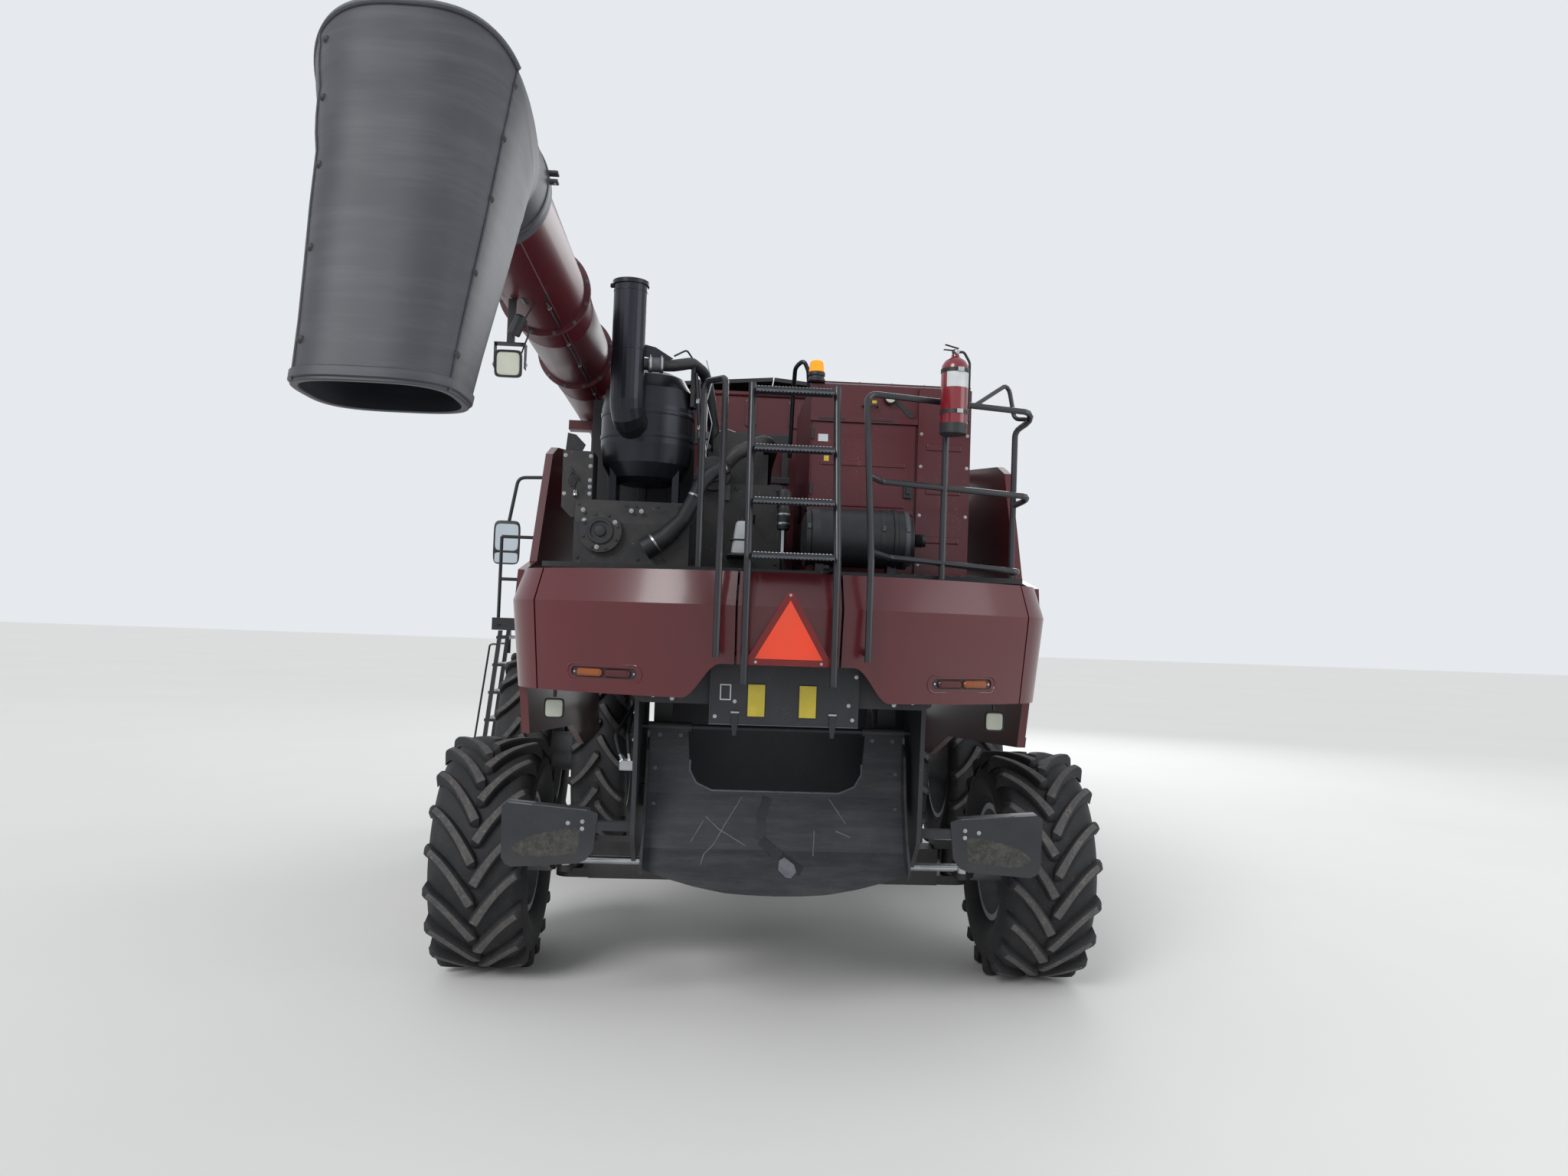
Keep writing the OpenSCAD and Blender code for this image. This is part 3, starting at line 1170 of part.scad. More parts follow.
// Feeder house: rest outline from its hinge down to the front face.
feeder_pivot = [4330, 1650];
feeder_pin_r = 45;
module feeder_house() color(RED) {
    difference() {
        union() {
            side_plate([
                [4200, 1500], [4200, 1780], [4450, 1900], [6250, 1330], [front_reach, 1330],
                [front_reach, 480], [6250, 480], [4600, 1180], [4330, 1400]
            ], -feeder_x, feeder_x);
            side_plate([
                [front_reach - 60, 1400], [front_reach, 1400], [front_reach, 430], [front_reach - 60, 430]
            ], -feeder_x - 90, feeder_x + 90);
        }
        side_plate([
            [4450, 1480], [4450, 1800], [6240, 1290], [front_reach + 1, 1290],
            [front_reach + 1, 560], [6260, 560], [4640, 1280]
        ], -feeder_x + feeder_wall, feeder_x - feeder_wall);
        x_cyl(-feeder_x - 1, feeder_x + 1, feeder_pin_r + run_gap, y_ra + feeder_pivot[0], feeder_pivot[1]);
    }
    // pins for the lift cylinders and the header's lower locks
    both_sides() {
        x_cyl(feeder_x - 1, feeder_x + 155, cyl_pin_r, y_ra + cyl_high[0], cyl_high[1]);
        x_cyl(feeder_x + 89, feeder_x + 150, lock_pin_r, y_ra + front_reach - 30, 520);
    }
}

// Lift cylinders: from the axle bracket to the feeder's side pins.
cyl_low = [wheelbase + lift_pin[0], front_tyre_r + lift_pin[1]];
cyl_high = [5500, 900];
cyl_pin_r = 22;
barrel_r = 60;
rod_r = 30;
// Slack of the rod's eye on its pin
eye_slack = 10;
cyl_len = norm(cyl_high - cyl_low);
cyl_a = atan2(cyl_high[1] - cyl_low[1], cyl_high[0] - cyl_low[0]);
cyl_x = feeder_x + 110;
module along_cyl() translate([0, y_ra + cyl_low[0], cyl_low[1]]) rotate([cyl_a, 0, 0]) children();
module lift_barrels() color(RED) along_cyl() both_sides() {
    difference() {
        union() {
            translate([cyl_x, 0, 0]) rotate([-90, 0, 0]) cylinder(h = cyl_len * 0.58, r = barrel_r);
            x_cyl(cyl_x - 33, cyl_x + 33, barrel_r + 2);
        }
        x_cyl(cyl_x - 70, cyl_x + 70, lift_pin_r + run_gap);
        translate([cyl_x, 90, 0]) rotate([-90, 0, 0]) cylinder(h = cyl_len, r = rod_r + run_gap);
    }
}
module lift_rods() color(STEEL) along_cyl() both_sides() {
    difference() {
        union() {
            translate([cyl_x, cyl_len * 0.3, 0]) rotate([-90, 0, 0])
                cylinder(h = cyl_len * 0.7 - 30, r = rod_r);
            x_cyl(cyl_x - 36, cyl_x + 36, 50, cyl_len, 0);
        }
        x_cyl(cyl_x - 40, cyl_x + 40, cyl_pin_r + eye_slack, cyl_len, 0);
    }
}

main_frame();
front_axle();
rear_axle();
separator_body();
residue_hood();
engine();
exhaust();
air_cleaner();
cooling_box();
grain_tank();
tail_panels();
rear_lamps();
rear_signs();
deck_rails();
rear_ladder();
extinguisher();
cab_shell();
cab_glass();
cab_roof();
cab_interior();
mirrors();
cab_platform();
front_tyres_left();
front_tyres_right();
front_rims_left();
front_rims_right();
rear_tyre_left();
rear_tyre_right();
rear_rim_left();
rear_rim_right();
knuckle_left();
knuckle_right();
tie_rod();
unload_tube();
spout_boot();
feeder_house();
lift_barrels();
lift_rods();
cab_door();
cab_ladder();
side_panel_left();
side_panel_right();
tank_cover_left();
tank_cover_right();
residue_chute();
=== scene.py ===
"""Looks of the combine harvester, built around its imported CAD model.

Metres, +X the machine's right, +Y its front, +Z up. Places along the machine are given from the
rear axle, as in the CAD source, and spot() turns them into the frame's own Y.
"""

import logging
import math
from dataclasses import dataclass
from enum import Enum
from typing import Callable, Iterable, Optional, Sequence, Union

import bpy
from mathutils import Matrix, Vector


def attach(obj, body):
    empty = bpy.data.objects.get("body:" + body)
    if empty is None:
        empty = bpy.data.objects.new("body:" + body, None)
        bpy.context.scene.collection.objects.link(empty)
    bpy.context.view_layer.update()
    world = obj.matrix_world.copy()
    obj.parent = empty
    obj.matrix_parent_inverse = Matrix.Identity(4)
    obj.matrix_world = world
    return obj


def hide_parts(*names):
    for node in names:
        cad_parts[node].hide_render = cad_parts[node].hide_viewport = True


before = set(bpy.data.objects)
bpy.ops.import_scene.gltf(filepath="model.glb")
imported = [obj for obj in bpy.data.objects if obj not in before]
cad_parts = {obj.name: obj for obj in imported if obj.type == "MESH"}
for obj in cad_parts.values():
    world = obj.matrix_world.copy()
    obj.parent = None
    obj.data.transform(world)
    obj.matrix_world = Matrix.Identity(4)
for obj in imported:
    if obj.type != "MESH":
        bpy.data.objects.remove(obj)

LOG = logging.getLogger("combine")
Point = Sequence[float]
Piece = bpy.types.Object
Socket = bpy.types.NodeSocket
Tree = bpy.types.NodeTree
Feed = Union[Socket, float, Sequence[float]]
REAR_AXLE_Y = -1.0
FRONT_AXLE_Y = 2.8
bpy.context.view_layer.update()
ORIGIN = (0, 0, 0)
RIGHT, LEFT = (1, 0, 0), (-1, 0, 0)
FORE, AFT = (0, 1, 0), (0, -1, 0)
UP, DOWN = (0, 0, 1), (0, 0, -1)
# Distance under which doubled points are merged, in metres
MERGE = 1e-5
# Turn under which a path needs no bend, in radians
STRAIGHT = 0.02


def srgb(hex_colour: str) -> tuple[float, float, float, float]:
    """Turns an sRGB hex colour into the linear RGBA that shaders read.

    Args:
        hex_colour: A colour such as "#6e1820".

    Returns:
        Linear red, green, blue and an alpha of 1.
    """
    values = [int(hex_colour[i:i + 2], 16) / 255 for i in (1, 3, 5)]
    linear = [v / 12.92 if v <= 0.04045 else ((v + 0.055) / 1.055) ** 2.4 for v in values]
    return (*linear, 1.0)


def per_mm(size: float) -> float:
    """Texture scale at which one cell of a pattern is size millimetres wide."""
    return 1000.0 / size


def add_node(tree: Tree, kind: str, inputs: Optional[dict] = None, **settings: object) -> bpy.types.Node:
    """Adds a shader node.

    Args:
        tree: The material's node tree.
        kind: Blender's name of the node type.
        inputs: Input name or index to a value, or to the output socket that feeds it.
        **settings: Attributes of the node.

    Returns:
        The new node.
    """
    node = tree.nodes.new(kind)
    for key, value in settings.items():
        setattr(node, key, value)
    for key, value in (inputs or {}).items():
        if isinstance(value, Socket):
            tree.links.new(value, node.inputs[key])
        else:
            node.inputs[key].default_value = value
    return node


def mix_colour(tree: Tree, share: Feed, first: Feed, second: Feed) -> Socket:
    """Blends two colours.

    Args:
        tree: The material's node tree.
        share: A socket or number, 0 for the first colour and 1 for the second.
        first: A socket or linear colour.
        second: A socket or linear colour.

    Returns:
        The blended colour's socket.
    """
    node = add_node(tree, "ShaderNodeMix", {0: share, 6: first, 7: second}, data_type="RGBA")
    return node.outputs[2]


@dataclass(frozen=True)
class Finish:
    """A real surface finish: its own colour with patches, fine grain, and the field dust that lies on it.

    Attributes:
        name: The material's name.
        base: sRGB colour of the clean surface.
        patch: sRGB colour of its worn or faded patches.
        rough: Roughness where clean.
        metallic: 1 for bare metal.
        coat: Clear coat weight.
        patch_mm: Width of the patches.
        grain_mm: Width of the fine relief.
        relief_mm: Height of the fine relief.
        dust: sRGB colour of the dust.
        dusty: Share of the surface that dust covers.
        low_dust_m: Height under which dust gets thick, or 0.
        streak: How many times longer than wide the patches are, along Z.
    """

    name: str
    base: str
    patch: str
    rough: float = 0.4
    metallic: float = 0.0
    coat: float = 0.0
    patch_mm: float = 300.0
    grain_mm: float = 3.0
    relief_mm: float = 0.05
    dust: str = "#8a7c69"
    dusty: float = 0.25
    low_dust_m: float = 0.0
    streak: float = 1.0

    def build(self) -> bpy.types.Material:
        """Makes the material, or returns it where it has been made before.

        Returns:
            The material.
        """
        found = bpy.data.materials.get(self.name)
        if found:
            return found
        material = bpy.data.materials.new(self.name)
        material.use_nodes = True
        tree = material.node_tree
        shader = tree.nodes["Principled BSDF"]
        shader.inputs["Metallic"].default_value = self.metallic
        shader.inputs["Coat Weight"].default_value = self.coat
        shader.inputs["Coat Roughness"].default_value = 0.12
        where = add_node(tree, "ShaderNodeTexCoord").outputs["Object"]
        colour, mask = self.paint(tree, where)
        tree.links.new(colour, shader.inputs["Base Color"])
        rough = add_node(tree, "ShaderNodeMapRange", {"Value": mask, 3: self.rough, 4: 0.85})
        tree.links.new(rough.outputs[0], shader.inputs["Roughness"])
        tree.links.new(self.relief(tree, where), shader.inputs["Normal"])
        self.dress(tree, shader, where)
        return material

    def paint(self, tree: Tree, where: Socket) -> tuple:
        """Colour and dust mask.

        Args:
            tree: The material's node tree.
            where: Object coordinates.

        Returns:
            The colour's socket and the dust mask's socket.
        """
        stretched = add_node(tree, "ShaderNodeMapping", {"Vector": where, "Scale": (1, 1, 1 / self.streak)})
        patches = add_node(tree, "ShaderNodeTexNoise", {
            "Vector": stretched.outputs[0], "Scale": per_mm(self.patch_mm), "Detail": 5.0, "Roughness": 0.6})
        patchy = add_node(tree, "ShaderNodeMapRange", {"Value": patches.outputs[0], 1: 0.35, 2: 0.7})
        colour = mix_colour(tree, patchy.outputs[0], srgb(self.base), srgb(self.patch))
        cloud = add_node(tree, "ShaderNodeTexNoise", {
            "Vector": stretched.outputs[0], "Scale": per_mm(self.patch_mm * 0.6), "Detail": 8.0, "Roughness": 0.72})
        specks = add_node(tree, "ShaderNodeTexNoise", {
            "Vector": where, "Scale": per_mm(self.grain_mm * 3), "Detail": 3.0, "Roughness": 0.7})
        both = add_node(tree, "ShaderNodeMath", {0: cloud.outputs[0], 1: specks.outputs[0]}, operation="MULTIPLY")
        edge = 0.42 - 0.3 * self.dusty
        mask = add_node(tree, "ShaderNodeMapRange", {
            "Value": both.outputs[0], 1: edge, 2: edge + 0.16, 4: min(0.9, 0.35 + self.dusty)}).outputs[0]
        if self.low_dust_m:
            height = add_node(tree, "ShaderNodeSeparateXYZ", {0: where}).outputs[2]
            low = add_node(tree, "ShaderNodeMapRange", {
                "Value": height, 1: self.low_dust_m, 2: 0.0, 3: 0.0, 4: 0.75}).outputs[0]
            thick = add_node(tree, "ShaderNodeMath", {0: low, 1: cloud.outputs[0]}, operation="MULTIPLY")
            mask = add_node(tree, "ShaderNodeMath", {0: mask, 1: thick.outputs[0]}, operation="MAXIMUM").outputs[0]
        return mix_colour(tree, mask, colour, srgb(self.dust)), mask

    def relief(self, tree: Tree, where: Socket) -> Socket:
        """Normal socket of the fine grain.

        Args:
            tree: The material's node tree.
            where: Object coordinates.

        Returns:
            The normal's socket.
        """
        grain = add_node(tree, "ShaderNodeTexNoise", {
            "Vector": where, "Scale": per_mm(self.grain_mm), "Detail": 3.0, "Roughness": 0.6})
        bump = add_node(tree, "ShaderNodeBump", {
            "Height": grain.outputs[0], "Strength": 0.6, "Distance": self.relief_mm / 1000})
        return bump.outputs[0]

    def dress(self, tree: Tree, shader: bpy.types.Node, where: Socket) -> None:
        """Adds what a special finish has besides; a plain one has nothing."""


@dataclass(frozen=True)
class SheetRubber(Finish):
    """Moulded or woven-backed rubber sheet with faint horizontal flow lines.

    Attributes:
        flow_mm: Spacing of the flow lines.
    """

    flow_mm: float = 55.0

    def paint(self, tree: Tree, where: Socket) -> tuple:
        """Colour with long flat smears, and the dust mask.

        Args:
            tree: The material's node tree.
            where: Object coordinates.

        Returns:
            The colour's socket and the dust mask's socket.
        """
        colour, mask = super().paint(tree, where)
        flat = add_node(tree, "ShaderNodeMapping", {"Vector": where, "Scale": (0.12, 0.12, 1.0)})
        smears = add_node(tree, "ShaderNodeTexNoise", {
            "Vector": flat.outputs[0], "Scale": per_mm(self.flow_mm), "Detail": 6.0, "Roughness": 0.7})
        share = add_node(tree, "ShaderNodeMapRange", {"Value": smears.outputs[0], 1: 0.45, 2: 0.75, 4: 0.35})
        return mix_colour(tree, share.outputs[0], colour, srgb(self.dust)), mask


@dataclass(frozen=True)
class Lens(Finish):
    """A ribbed lamp lens over a bright reflector.

    Attributes:
        rib_mm: Spacing of the lens's ribs.
        glow: Strength of the light that the reflector throws back.
    """

    rib_mm: float = 9.0
    glow: float = 0.08

    def relief(self, tree: Tree, where: Socket) -> Socket:
        """Normal socket of the upright ribs.

        Args:
            tree: The material's node tree.
            where: Object coordinates.

        Returns:
            The normal's socket.
        """
        ribs = add_node(tree, "ShaderNodeTexWave", {
            "Vector": where, "Scale": per_mm(self.rib_mm) / 20, "Distortion": 0.0}, bands_direction="X")
        bump = add_node(tree, "ShaderNodeBump", {"Height": ribs.outputs[1], "Strength": 0.5, "Distance": 0.002})
        return bump.outputs[0]

    def dress(self, tree: Tree, shader: bpy.types.Node, where: Socket) -> None:
        """Gives the lens its inner light.

        Args:
            tree: The material's node tree; not used.
            shader: The material's main shader.
            where: Object coordinates; not used.
        """
        shader.inputs["Emission Color"].default_value = srgb(self.base)
        shader.inputs["Emission Strength"].default_value = self.glow
        shader.inputs["IOR"].default_value = 1.49


@dataclass(frozen=True)
class Glazing(Finish):
    """Tinted safety glass, which lets the cab's inside show."""

    def dress(self, tree: Tree, shader: bpy.types.Node, where: Socket) -> None:
        """Makes most of the pane see-through."""
        shader.inputs["IOR"].default_value = 1.52
        shader.inputs["Alpha"].default_value = 0.08


# Two-coat enamel on moulded and sheet panels: deep wine red, glossy, greyed by dust low down
PANEL_RED = Finish("red_gelcoat_panel", "#580c15", "#4c101a", 0.3, coat=0.3, patch_mm=900, grain_mm=2.5,
                   relief_mm=0.03, dust="#7d6c60", dusty=0.16, low_dust_m=1.9, streak=4)
# Enamel sprayed on sheet steel: the same red, flatter and dustier, with faint orange peel
SHEET_RED = Finish("red_enamel_sheet", "#4f0f18", "#43141e", 0.4, coat=0.15, patch_mm=500, grain_mm=4,
                   relief_mm=0.05, dusty=0.26, streak=3)
# Black chassis enamel: satin, dulled by dust
FRAME_BLACK = Finish("black_chassis_enamel", "#1b1c20", "#242529", 0.45, patch_mm=220, dust="#6b665f", dusty=0.28,
                     low_dust_m=1.1)
# Black enamel on bent tube: smooth, with a soft shine and little dust
RAIL_BLACK = Finish("black_tube_enamel", "#1a1b20", "#22232a", 0.34, coat=0.2, patch_mm=120, dusty=0.14)
# Black moulded plastic with a fine leather-like mould grain
MOULDED_BLACK = Finish("black_moulded_plastic", "#191a1e", "#212227", 0.5, patch_mm=250, grain_mm=1.5,
                       relief_mm=0.08, dusty=0.22)
# Sheet-steel housings under the body: dark and dusty; also the dark sheets and posts that paint the engine bay's
# shade
HOUSING_DARK_AND_SHADE = Finish("dark_housing_enamel_and_shade", "#1f2026", "#292a2e", 0.52, patch_mm=260, dust="#68635d", dusty=0.28,
                      low_dust_m=1.1)
# Sand-cast iron, painted dark, with oily patches
CAST_IRON = Finish("dark_cast_iron", "#25262a", "#34322f", 0.55, patch_mm=90, grain_mm=5, relief_mm=0.35, dusty=0.3)
# Heat-proof black on the exhaust drum and stack: half gloss, blued by heat
EXHAUST_DARK = Finish("heatproof_black_steel", "#23252c", "#2d3038", 0.3, metallic=0.55, patch_mm=400,
                      dusty=0.06, streak=6)
# Tyre tread and wall: matt carbon rubber, greyed by soil
TYRE_RUBBER = Finish("tyre_rubber", "#1d1e21", "#28282a", 0.72, patch_mm=160, grain_mm=3, relief_mm=0.25,
                     dust="#6f675c", dusty=0.34)
# Lug faces rubbed by the ground: lighter and drier than the carcass
LUG_RUBBER = Finish("scuffed_lug_rubber", "#47474a", "#585653", 0.8, patch_mm=60, grain_mm=5, relief_mm=0.4,
                    dust="#7c7468", dusty=0.5)
# Spout rubber: smooth, dark grey, with long flat smears of dust
SPOUT_RUBBER = SheetRubber("spout_rubber_sheet", "#3a3c43", "#44454c", 0.5, patch_mm=350, grain_mm=6,
                           relief_mm=0.12, dust="#66646a", dusty=0.08)
# Worn edge of the spout's crest: rubber rubbed pale
WORN_EDGE = Finish("worn_rubber_edge", "#6f7179", "#5c5e66", 0.55, patch_mm=80, grain_mm=5, relief_mm=0.1, dusty=0.1)
# Chute rubber: belting worn by straw, with pale scuffs
CHUTE_RUBBER = SheetRubber("worn_chute_rubber", "#1f2127", "#2b2d33", 0.6, patch_mm=200, grain_mm=7,
                           relief_mm=0.4, dust="#5d5a58", dusty=0.22)
# Silver wheel enamel: fine metal flake under dust
RIM_SILVER = Finish("silver_wheel_enamel", "#8f9194", "#7f8184", 0.42, metallic=0.35, patch_mm=200, dusty=0.4)
# Turned and ground steel, wet with oil
BARE_STEEL = Finish("ground_steel", "#b5b7ba", "#9c9ea2", 0.24, metallic=1.0, patch_mm=120, dusty=0.05)
# Old galvanised strip: dull grey under dust
WORN_STEEL = Finish("dull_galvanised_strip", "#5f6268", "#4c4e53", 0.5, metallic=0.6, patch_mm=60, grain_mm=4,
                    dusty=0.2)
# Zinc-plated bolts and clips: pale grey, satin
ZINC = Finish("zinc_plate", "#b9bbbd", "#a3a6a9", 0.36, metallic=1.0, patch_mm=30, grain_mm=2, dusty=0.12)
# Grey cab trim: moulded plastic and cloth
TRIM_GREY = Finish("grey_cab_trim", "#3a3b3e", "#46474a", 0.62, patch_mm=150, grain_mm=2, relief_mm=0.15, dusty=0.1)
# Fluorescent film on an aluminium plate, a little faded
SIGN_ORANGE = Finish("fluorescent_orange_film", "#ff4a2a", "#f2502f", 0.42, patch_mm=200, dust="#b06a55", dusty=0.05)
# Retroreflective border film: dark red with a bead texture
SIGN_RED = Finish("red_reflective_film", "#7d1418", "#6b1216", 0.3, patch_mm=90, grain_mm=1.5, relief_mm=0.1,
                  dusty=0.1)
# Blank label films
LABEL_YELLOW = Finish("yellow_label_film", "#c8b53a", "#b9a838", 0.4, patch_mm=60, dusty=0.2)
LABEL_WHITE = Finish("white_label_film", "#cfd2d4", "#bfc3c6", 0.4, patch_mm=60, dusty=0.16)
# Extinguisher enamel: brighter red, glossy
BOTTLE_RED = Finish("glossy_red_bottle_enamel", "#7c1520", "#6d1722", 0.22, coat=0.6, patch_mm=150, dusty=0.08)
# Lamp lenses: moulded acrylic
LENS_AMBER = Lens("amber_acrylic_lens", "#8f4a1e", "#7a3f1a", 0.18, dusty=0.15, glow=0.03)
LENS_RED = Lens("red_acrylic_lens", "#4f1519", "#431317", 0.18, dusty=0.12, glow=0.01)
LENS_CLEAR = Lens("clear_lamp_lens", "#c3c7b8", "#adb2a6", 0.16, dusty=0.12, rib_mm=14, glow=0.1)
BEACON_AMBER = Lens("beacon_amber_lens", "#ffa21e", "#f08c10", 0.14, dusty=0.03, rib_mm=7, glow=0.45)
# Tinted cab glass
CAB_GLASS = Glazing("tinted_safety_glass", "#1c2426", "#20282a", 0.06, relief_mm=0.0, dusty=0.0)
# Mirror glass: silvered
MIRROR_GLASS = Finish("silvered_mirror_glass", "#c9d0d6", "#c0c8ce", 0.04, metallic=1.0, dusty=0.02)
# Dried field dust splashed on black sheet steel: matt, brown-grey and blotchy
SPLASH = Finish("dried_dust_splash", "#484744", "#2e2e2d", 0.9, patch_mm=35, grain_mm=6, relief_mm=0.3,
                dust="#5c5953", dusty=0.5)
# Rubber rubbed grey along creases and edges: a shade paler than the sheet
SCUFFED = Finish("rubbed_rubber_crease", "#63656d", "#4a4c53", 0.7, patch_mm=50, grain_mm=4, relief_mm=0.2, dusty=0.2)
# Pale studio floor
FLOOR_PALE = Finish("pale_floor", "#eeeeec", "#ebebe9", 0.8, patch_mm=4000, dusty=0.0, relief_mm=0.0)


def spot(x: float, y: float, z: float) -> Vector:
    """A point given by its distance ahead of the rear axle, in the frame's own coordinates."""
    return Vector((x, y + REAR_AXLE_Y, z))


def spots_of(points: Iterable[Point]) -> list[Vector]:
    """The same for many points."""
    return [spot(*p) for p in points]


def angles(count: int, offset: float = 0.0) -> list[float]:
    """Evenly spaced angles of a full turn, the first one offset by that share of a step."""
    return [2 * math.pi * (k + offset) / count for k in range(count)]


def signed(value: float, exponent: float) -> float:
    """A power that keeps its sign, as the rounded squares of rings need it."""
    return math.copysign(abs(value) ** exponent, value)


class Shop:
    """Modelling steps that every class uses. A finished piece sits at the origin with its place in its mesh."""

    @staticmethod
    def clear() -> None:
        """Leaves edit mode and deselects everything."""
        if bpy.context.mode != "OBJECT":
            bpy.ops.object.mode_set(mode="OBJECT")
        for obj in bpy.context.selected_objects:
            obj.select_set(False)

    @staticmethod
    def pick(*objects: Piece) -> None:
        """Selects these objects only and makes the first one active.

        Args:
            *objects: The objects, the active one first.
        """
        Shop.clear()
        for obj in objects:
            obj.select_set(True)
        bpy.context.view_layer.objects.active = objects[0]

    @staticmethod
    def link(name: str, data: bpy.types.ID) -> Piece:
        """Puts a new mesh or curve into the scene, with nothing else selected.

        Args:
            name: Its name.
            data: The mesh or curve.

        Returns:
            The mesh object.
        """
        Shop.clear()
        obj = bpy.data.objects.new(name, data)
        bpy.context.scene.collection.objects.link(obj)
        return obj

    @staticmethod
    def meshed(name: str, points: Sequence[Point], edges: Sequence[tuple], faces: Sequence[Sequence[int]]) -> Piece:
        """A mesh object of these points, edges and faces.

        Args:
            name: Its name.
            points: The points.
            edges: Pairs of their numbers.
            faces: Rings of their numbers.

        Returns:
            The mesh object.
        """
        mesh = bpy.data.meshes.new(name)
        mesh.from_pydata(points, edges, faces)
        return Shop.link(name, mesh)

    @staticmethod
    def settle(obj: Piece) -> Piece:
        """Puts the object's place, turn and size into its mesh.

        Args:
            obj: The object.

        Returns:
            The mesh object.
        """
        obj.data.transform(obj.matrix_basis)
        obj.matrix_basis = Matrix.Identity(4)
        return obj

    @staticmethod
    def edit(obj: Piece, *steps: Callable[[], object]) -> Piece:
        """Runs edit-mode operators on all of a mesh.

        Args:
            obj: The mesh object.
            *steps: Functions that call one operator each.

        Returns:
            The same object.
        """
        Shop.pick(obj)
        bpy.ops.object.mode_set(mode="EDIT")
        bpy.ops.mesh.select_all(action="SELECT")
        for step in steps:
            step()
        bpy.ops.object.mode_set(mode="OBJECT")
        return obj

    @staticmethod
    def outwards() -> None:
        """Turns the faces of the mesh in edit mode outwards."""
        bpy.ops.mesh.select_all(action="SELECT")
        bpy.ops.mesh.normals_make_consistent(inside=False)

    @staticmethod
    def merge() -> None:
        """Merges the doubled points of the mesh in edit mode."""
        bpy.ops.mesh.select_all(action="SELECT")
        bpy.ops.mesh.remove_doubles(threshold=MERGE)

    @staticmethod
    def apply(obj: Piece, kind: str, **settings: object) -> Piece:
        """Adds one modifier and applies it.

        Args:
            obj: The mesh object.
            kind: Blender's name of the modifier type.
            **settings: Attributes of the modifier.

        Returns:
            The same object.
        """
        Shop.pick(obj)
        modifier = obj.modifiers.new(kind.title(), kind)
        for key, value in settings.items():
            setattr(modifier, key, value)
        bpy.ops.object.modifier_apply(modifier=modifier.name)
        return obj

    @staticmethod
    def coat(obj: Piece, finish: Optional[Finish]) -> Piece:
        """Gives a piece its finish, where there is one.

        Args:
            obj: The object.
            finish: Its finish.

        Returns:
            The mesh object.
        """
        if finish:
            obj.data.materials.clear()
            obj.data.materials.append(finish.build())
        return obj

    @staticmethod
    def block(finish: Optional[Finish], low: Point, high: Point, edge: float = 0.004, rounds: int = 2) -> Piece:
        """A box with rounded edges.

        Args:
            finish: Its finish, or None where it gets one later.
            low: Lowest corner.
            high: Highest corner.
            edge: Width of the rounded edges, in metres.
            rounds: Steps across an edge.

        Returns:
            The mesh object.
        """
        Shop.clear()
        low, high = Vector(low), Vector(high)
        bpy.ops.mesh.primitive_cube_add(size=1, location=(low + high) / 2)
        obj = bpy.context.object
        obj.scale = high - low
        Shop.settle(obj)
        if edge > 0:
            Shop.edit(obj, lambda: bpy.ops.mesh.bevel(offset=edge, segments=rounds, affect="EDGES"))
        return Shop.coat(obj, finish)

    @staticmethod
    def turned(finish: Optional[Finish], profile: Sequence[Point], origin: Point, axis: Point,
               steps: int = 32) -> Piece:
        """A turned piece.

        Args:
            finish: Its finish, or None where it gets one later.
            profile: Pairs of distance along the axis and radius, closed at both ends on the axis or as a ring.
            origin: Start of the axis.
            axis: Its direction.
            steps: Facets around it.

        Returns:
            The mesh object, smooth by angle.
        """
        axis, origin = Vector(axis).normalized(), Vector(origin)
        side = axis.orthogonal().normalized()
        points = [origin + axis * a + side * max(r, 0.0) for a, r in profile]
        obj = Shop.meshed("turned", points, [(i, i + 1) for i in range(len(points) - 1)], [])
        Shop.edit(obj, lambda: bpy.ops.mesh.spin(steps=steps, angle=2 * math.pi, center=origin, axis=axis),
                  Shop.merge, Shop.outwards)
        return Shop.coat(Shop.smooth(obj), finish)

    @staticmethod
    def rounded(points: Sequence[Point], bend: float, steps: int = 5) -> list[Vector]:
        """The points of a path with its inner corners rounded.

        Args:
            points: Corner points.
            bend: Radius of the bends.
            steps: Points added in each bend.

        Returns:
            The path's points.
        """
        corners = [Vector(p) for p in points]
        path = [corners[0]]
        for before, corner, after in zip(corners, corners[1:], corners[2:]):
            u = (corner - before).normalized()
            v = (after - corner).normalized()
            turn = u.angle(v, 0.0)
            if turn < STRAIGHT:
                path.append(corner)
                continue
            trim = min(bend * math.tan(turn / 2), (corner - before).length * 0.48, (after - corner).length * 0.48)
            start, end = corner - u * trim, corner + v * trim
            for t in (k / steps for k in range(steps + 1)):
                path.append(start.lerp(corner, t).lerp(corner.lerp(end, t), t))
        path.append(corners[-1])
        return path

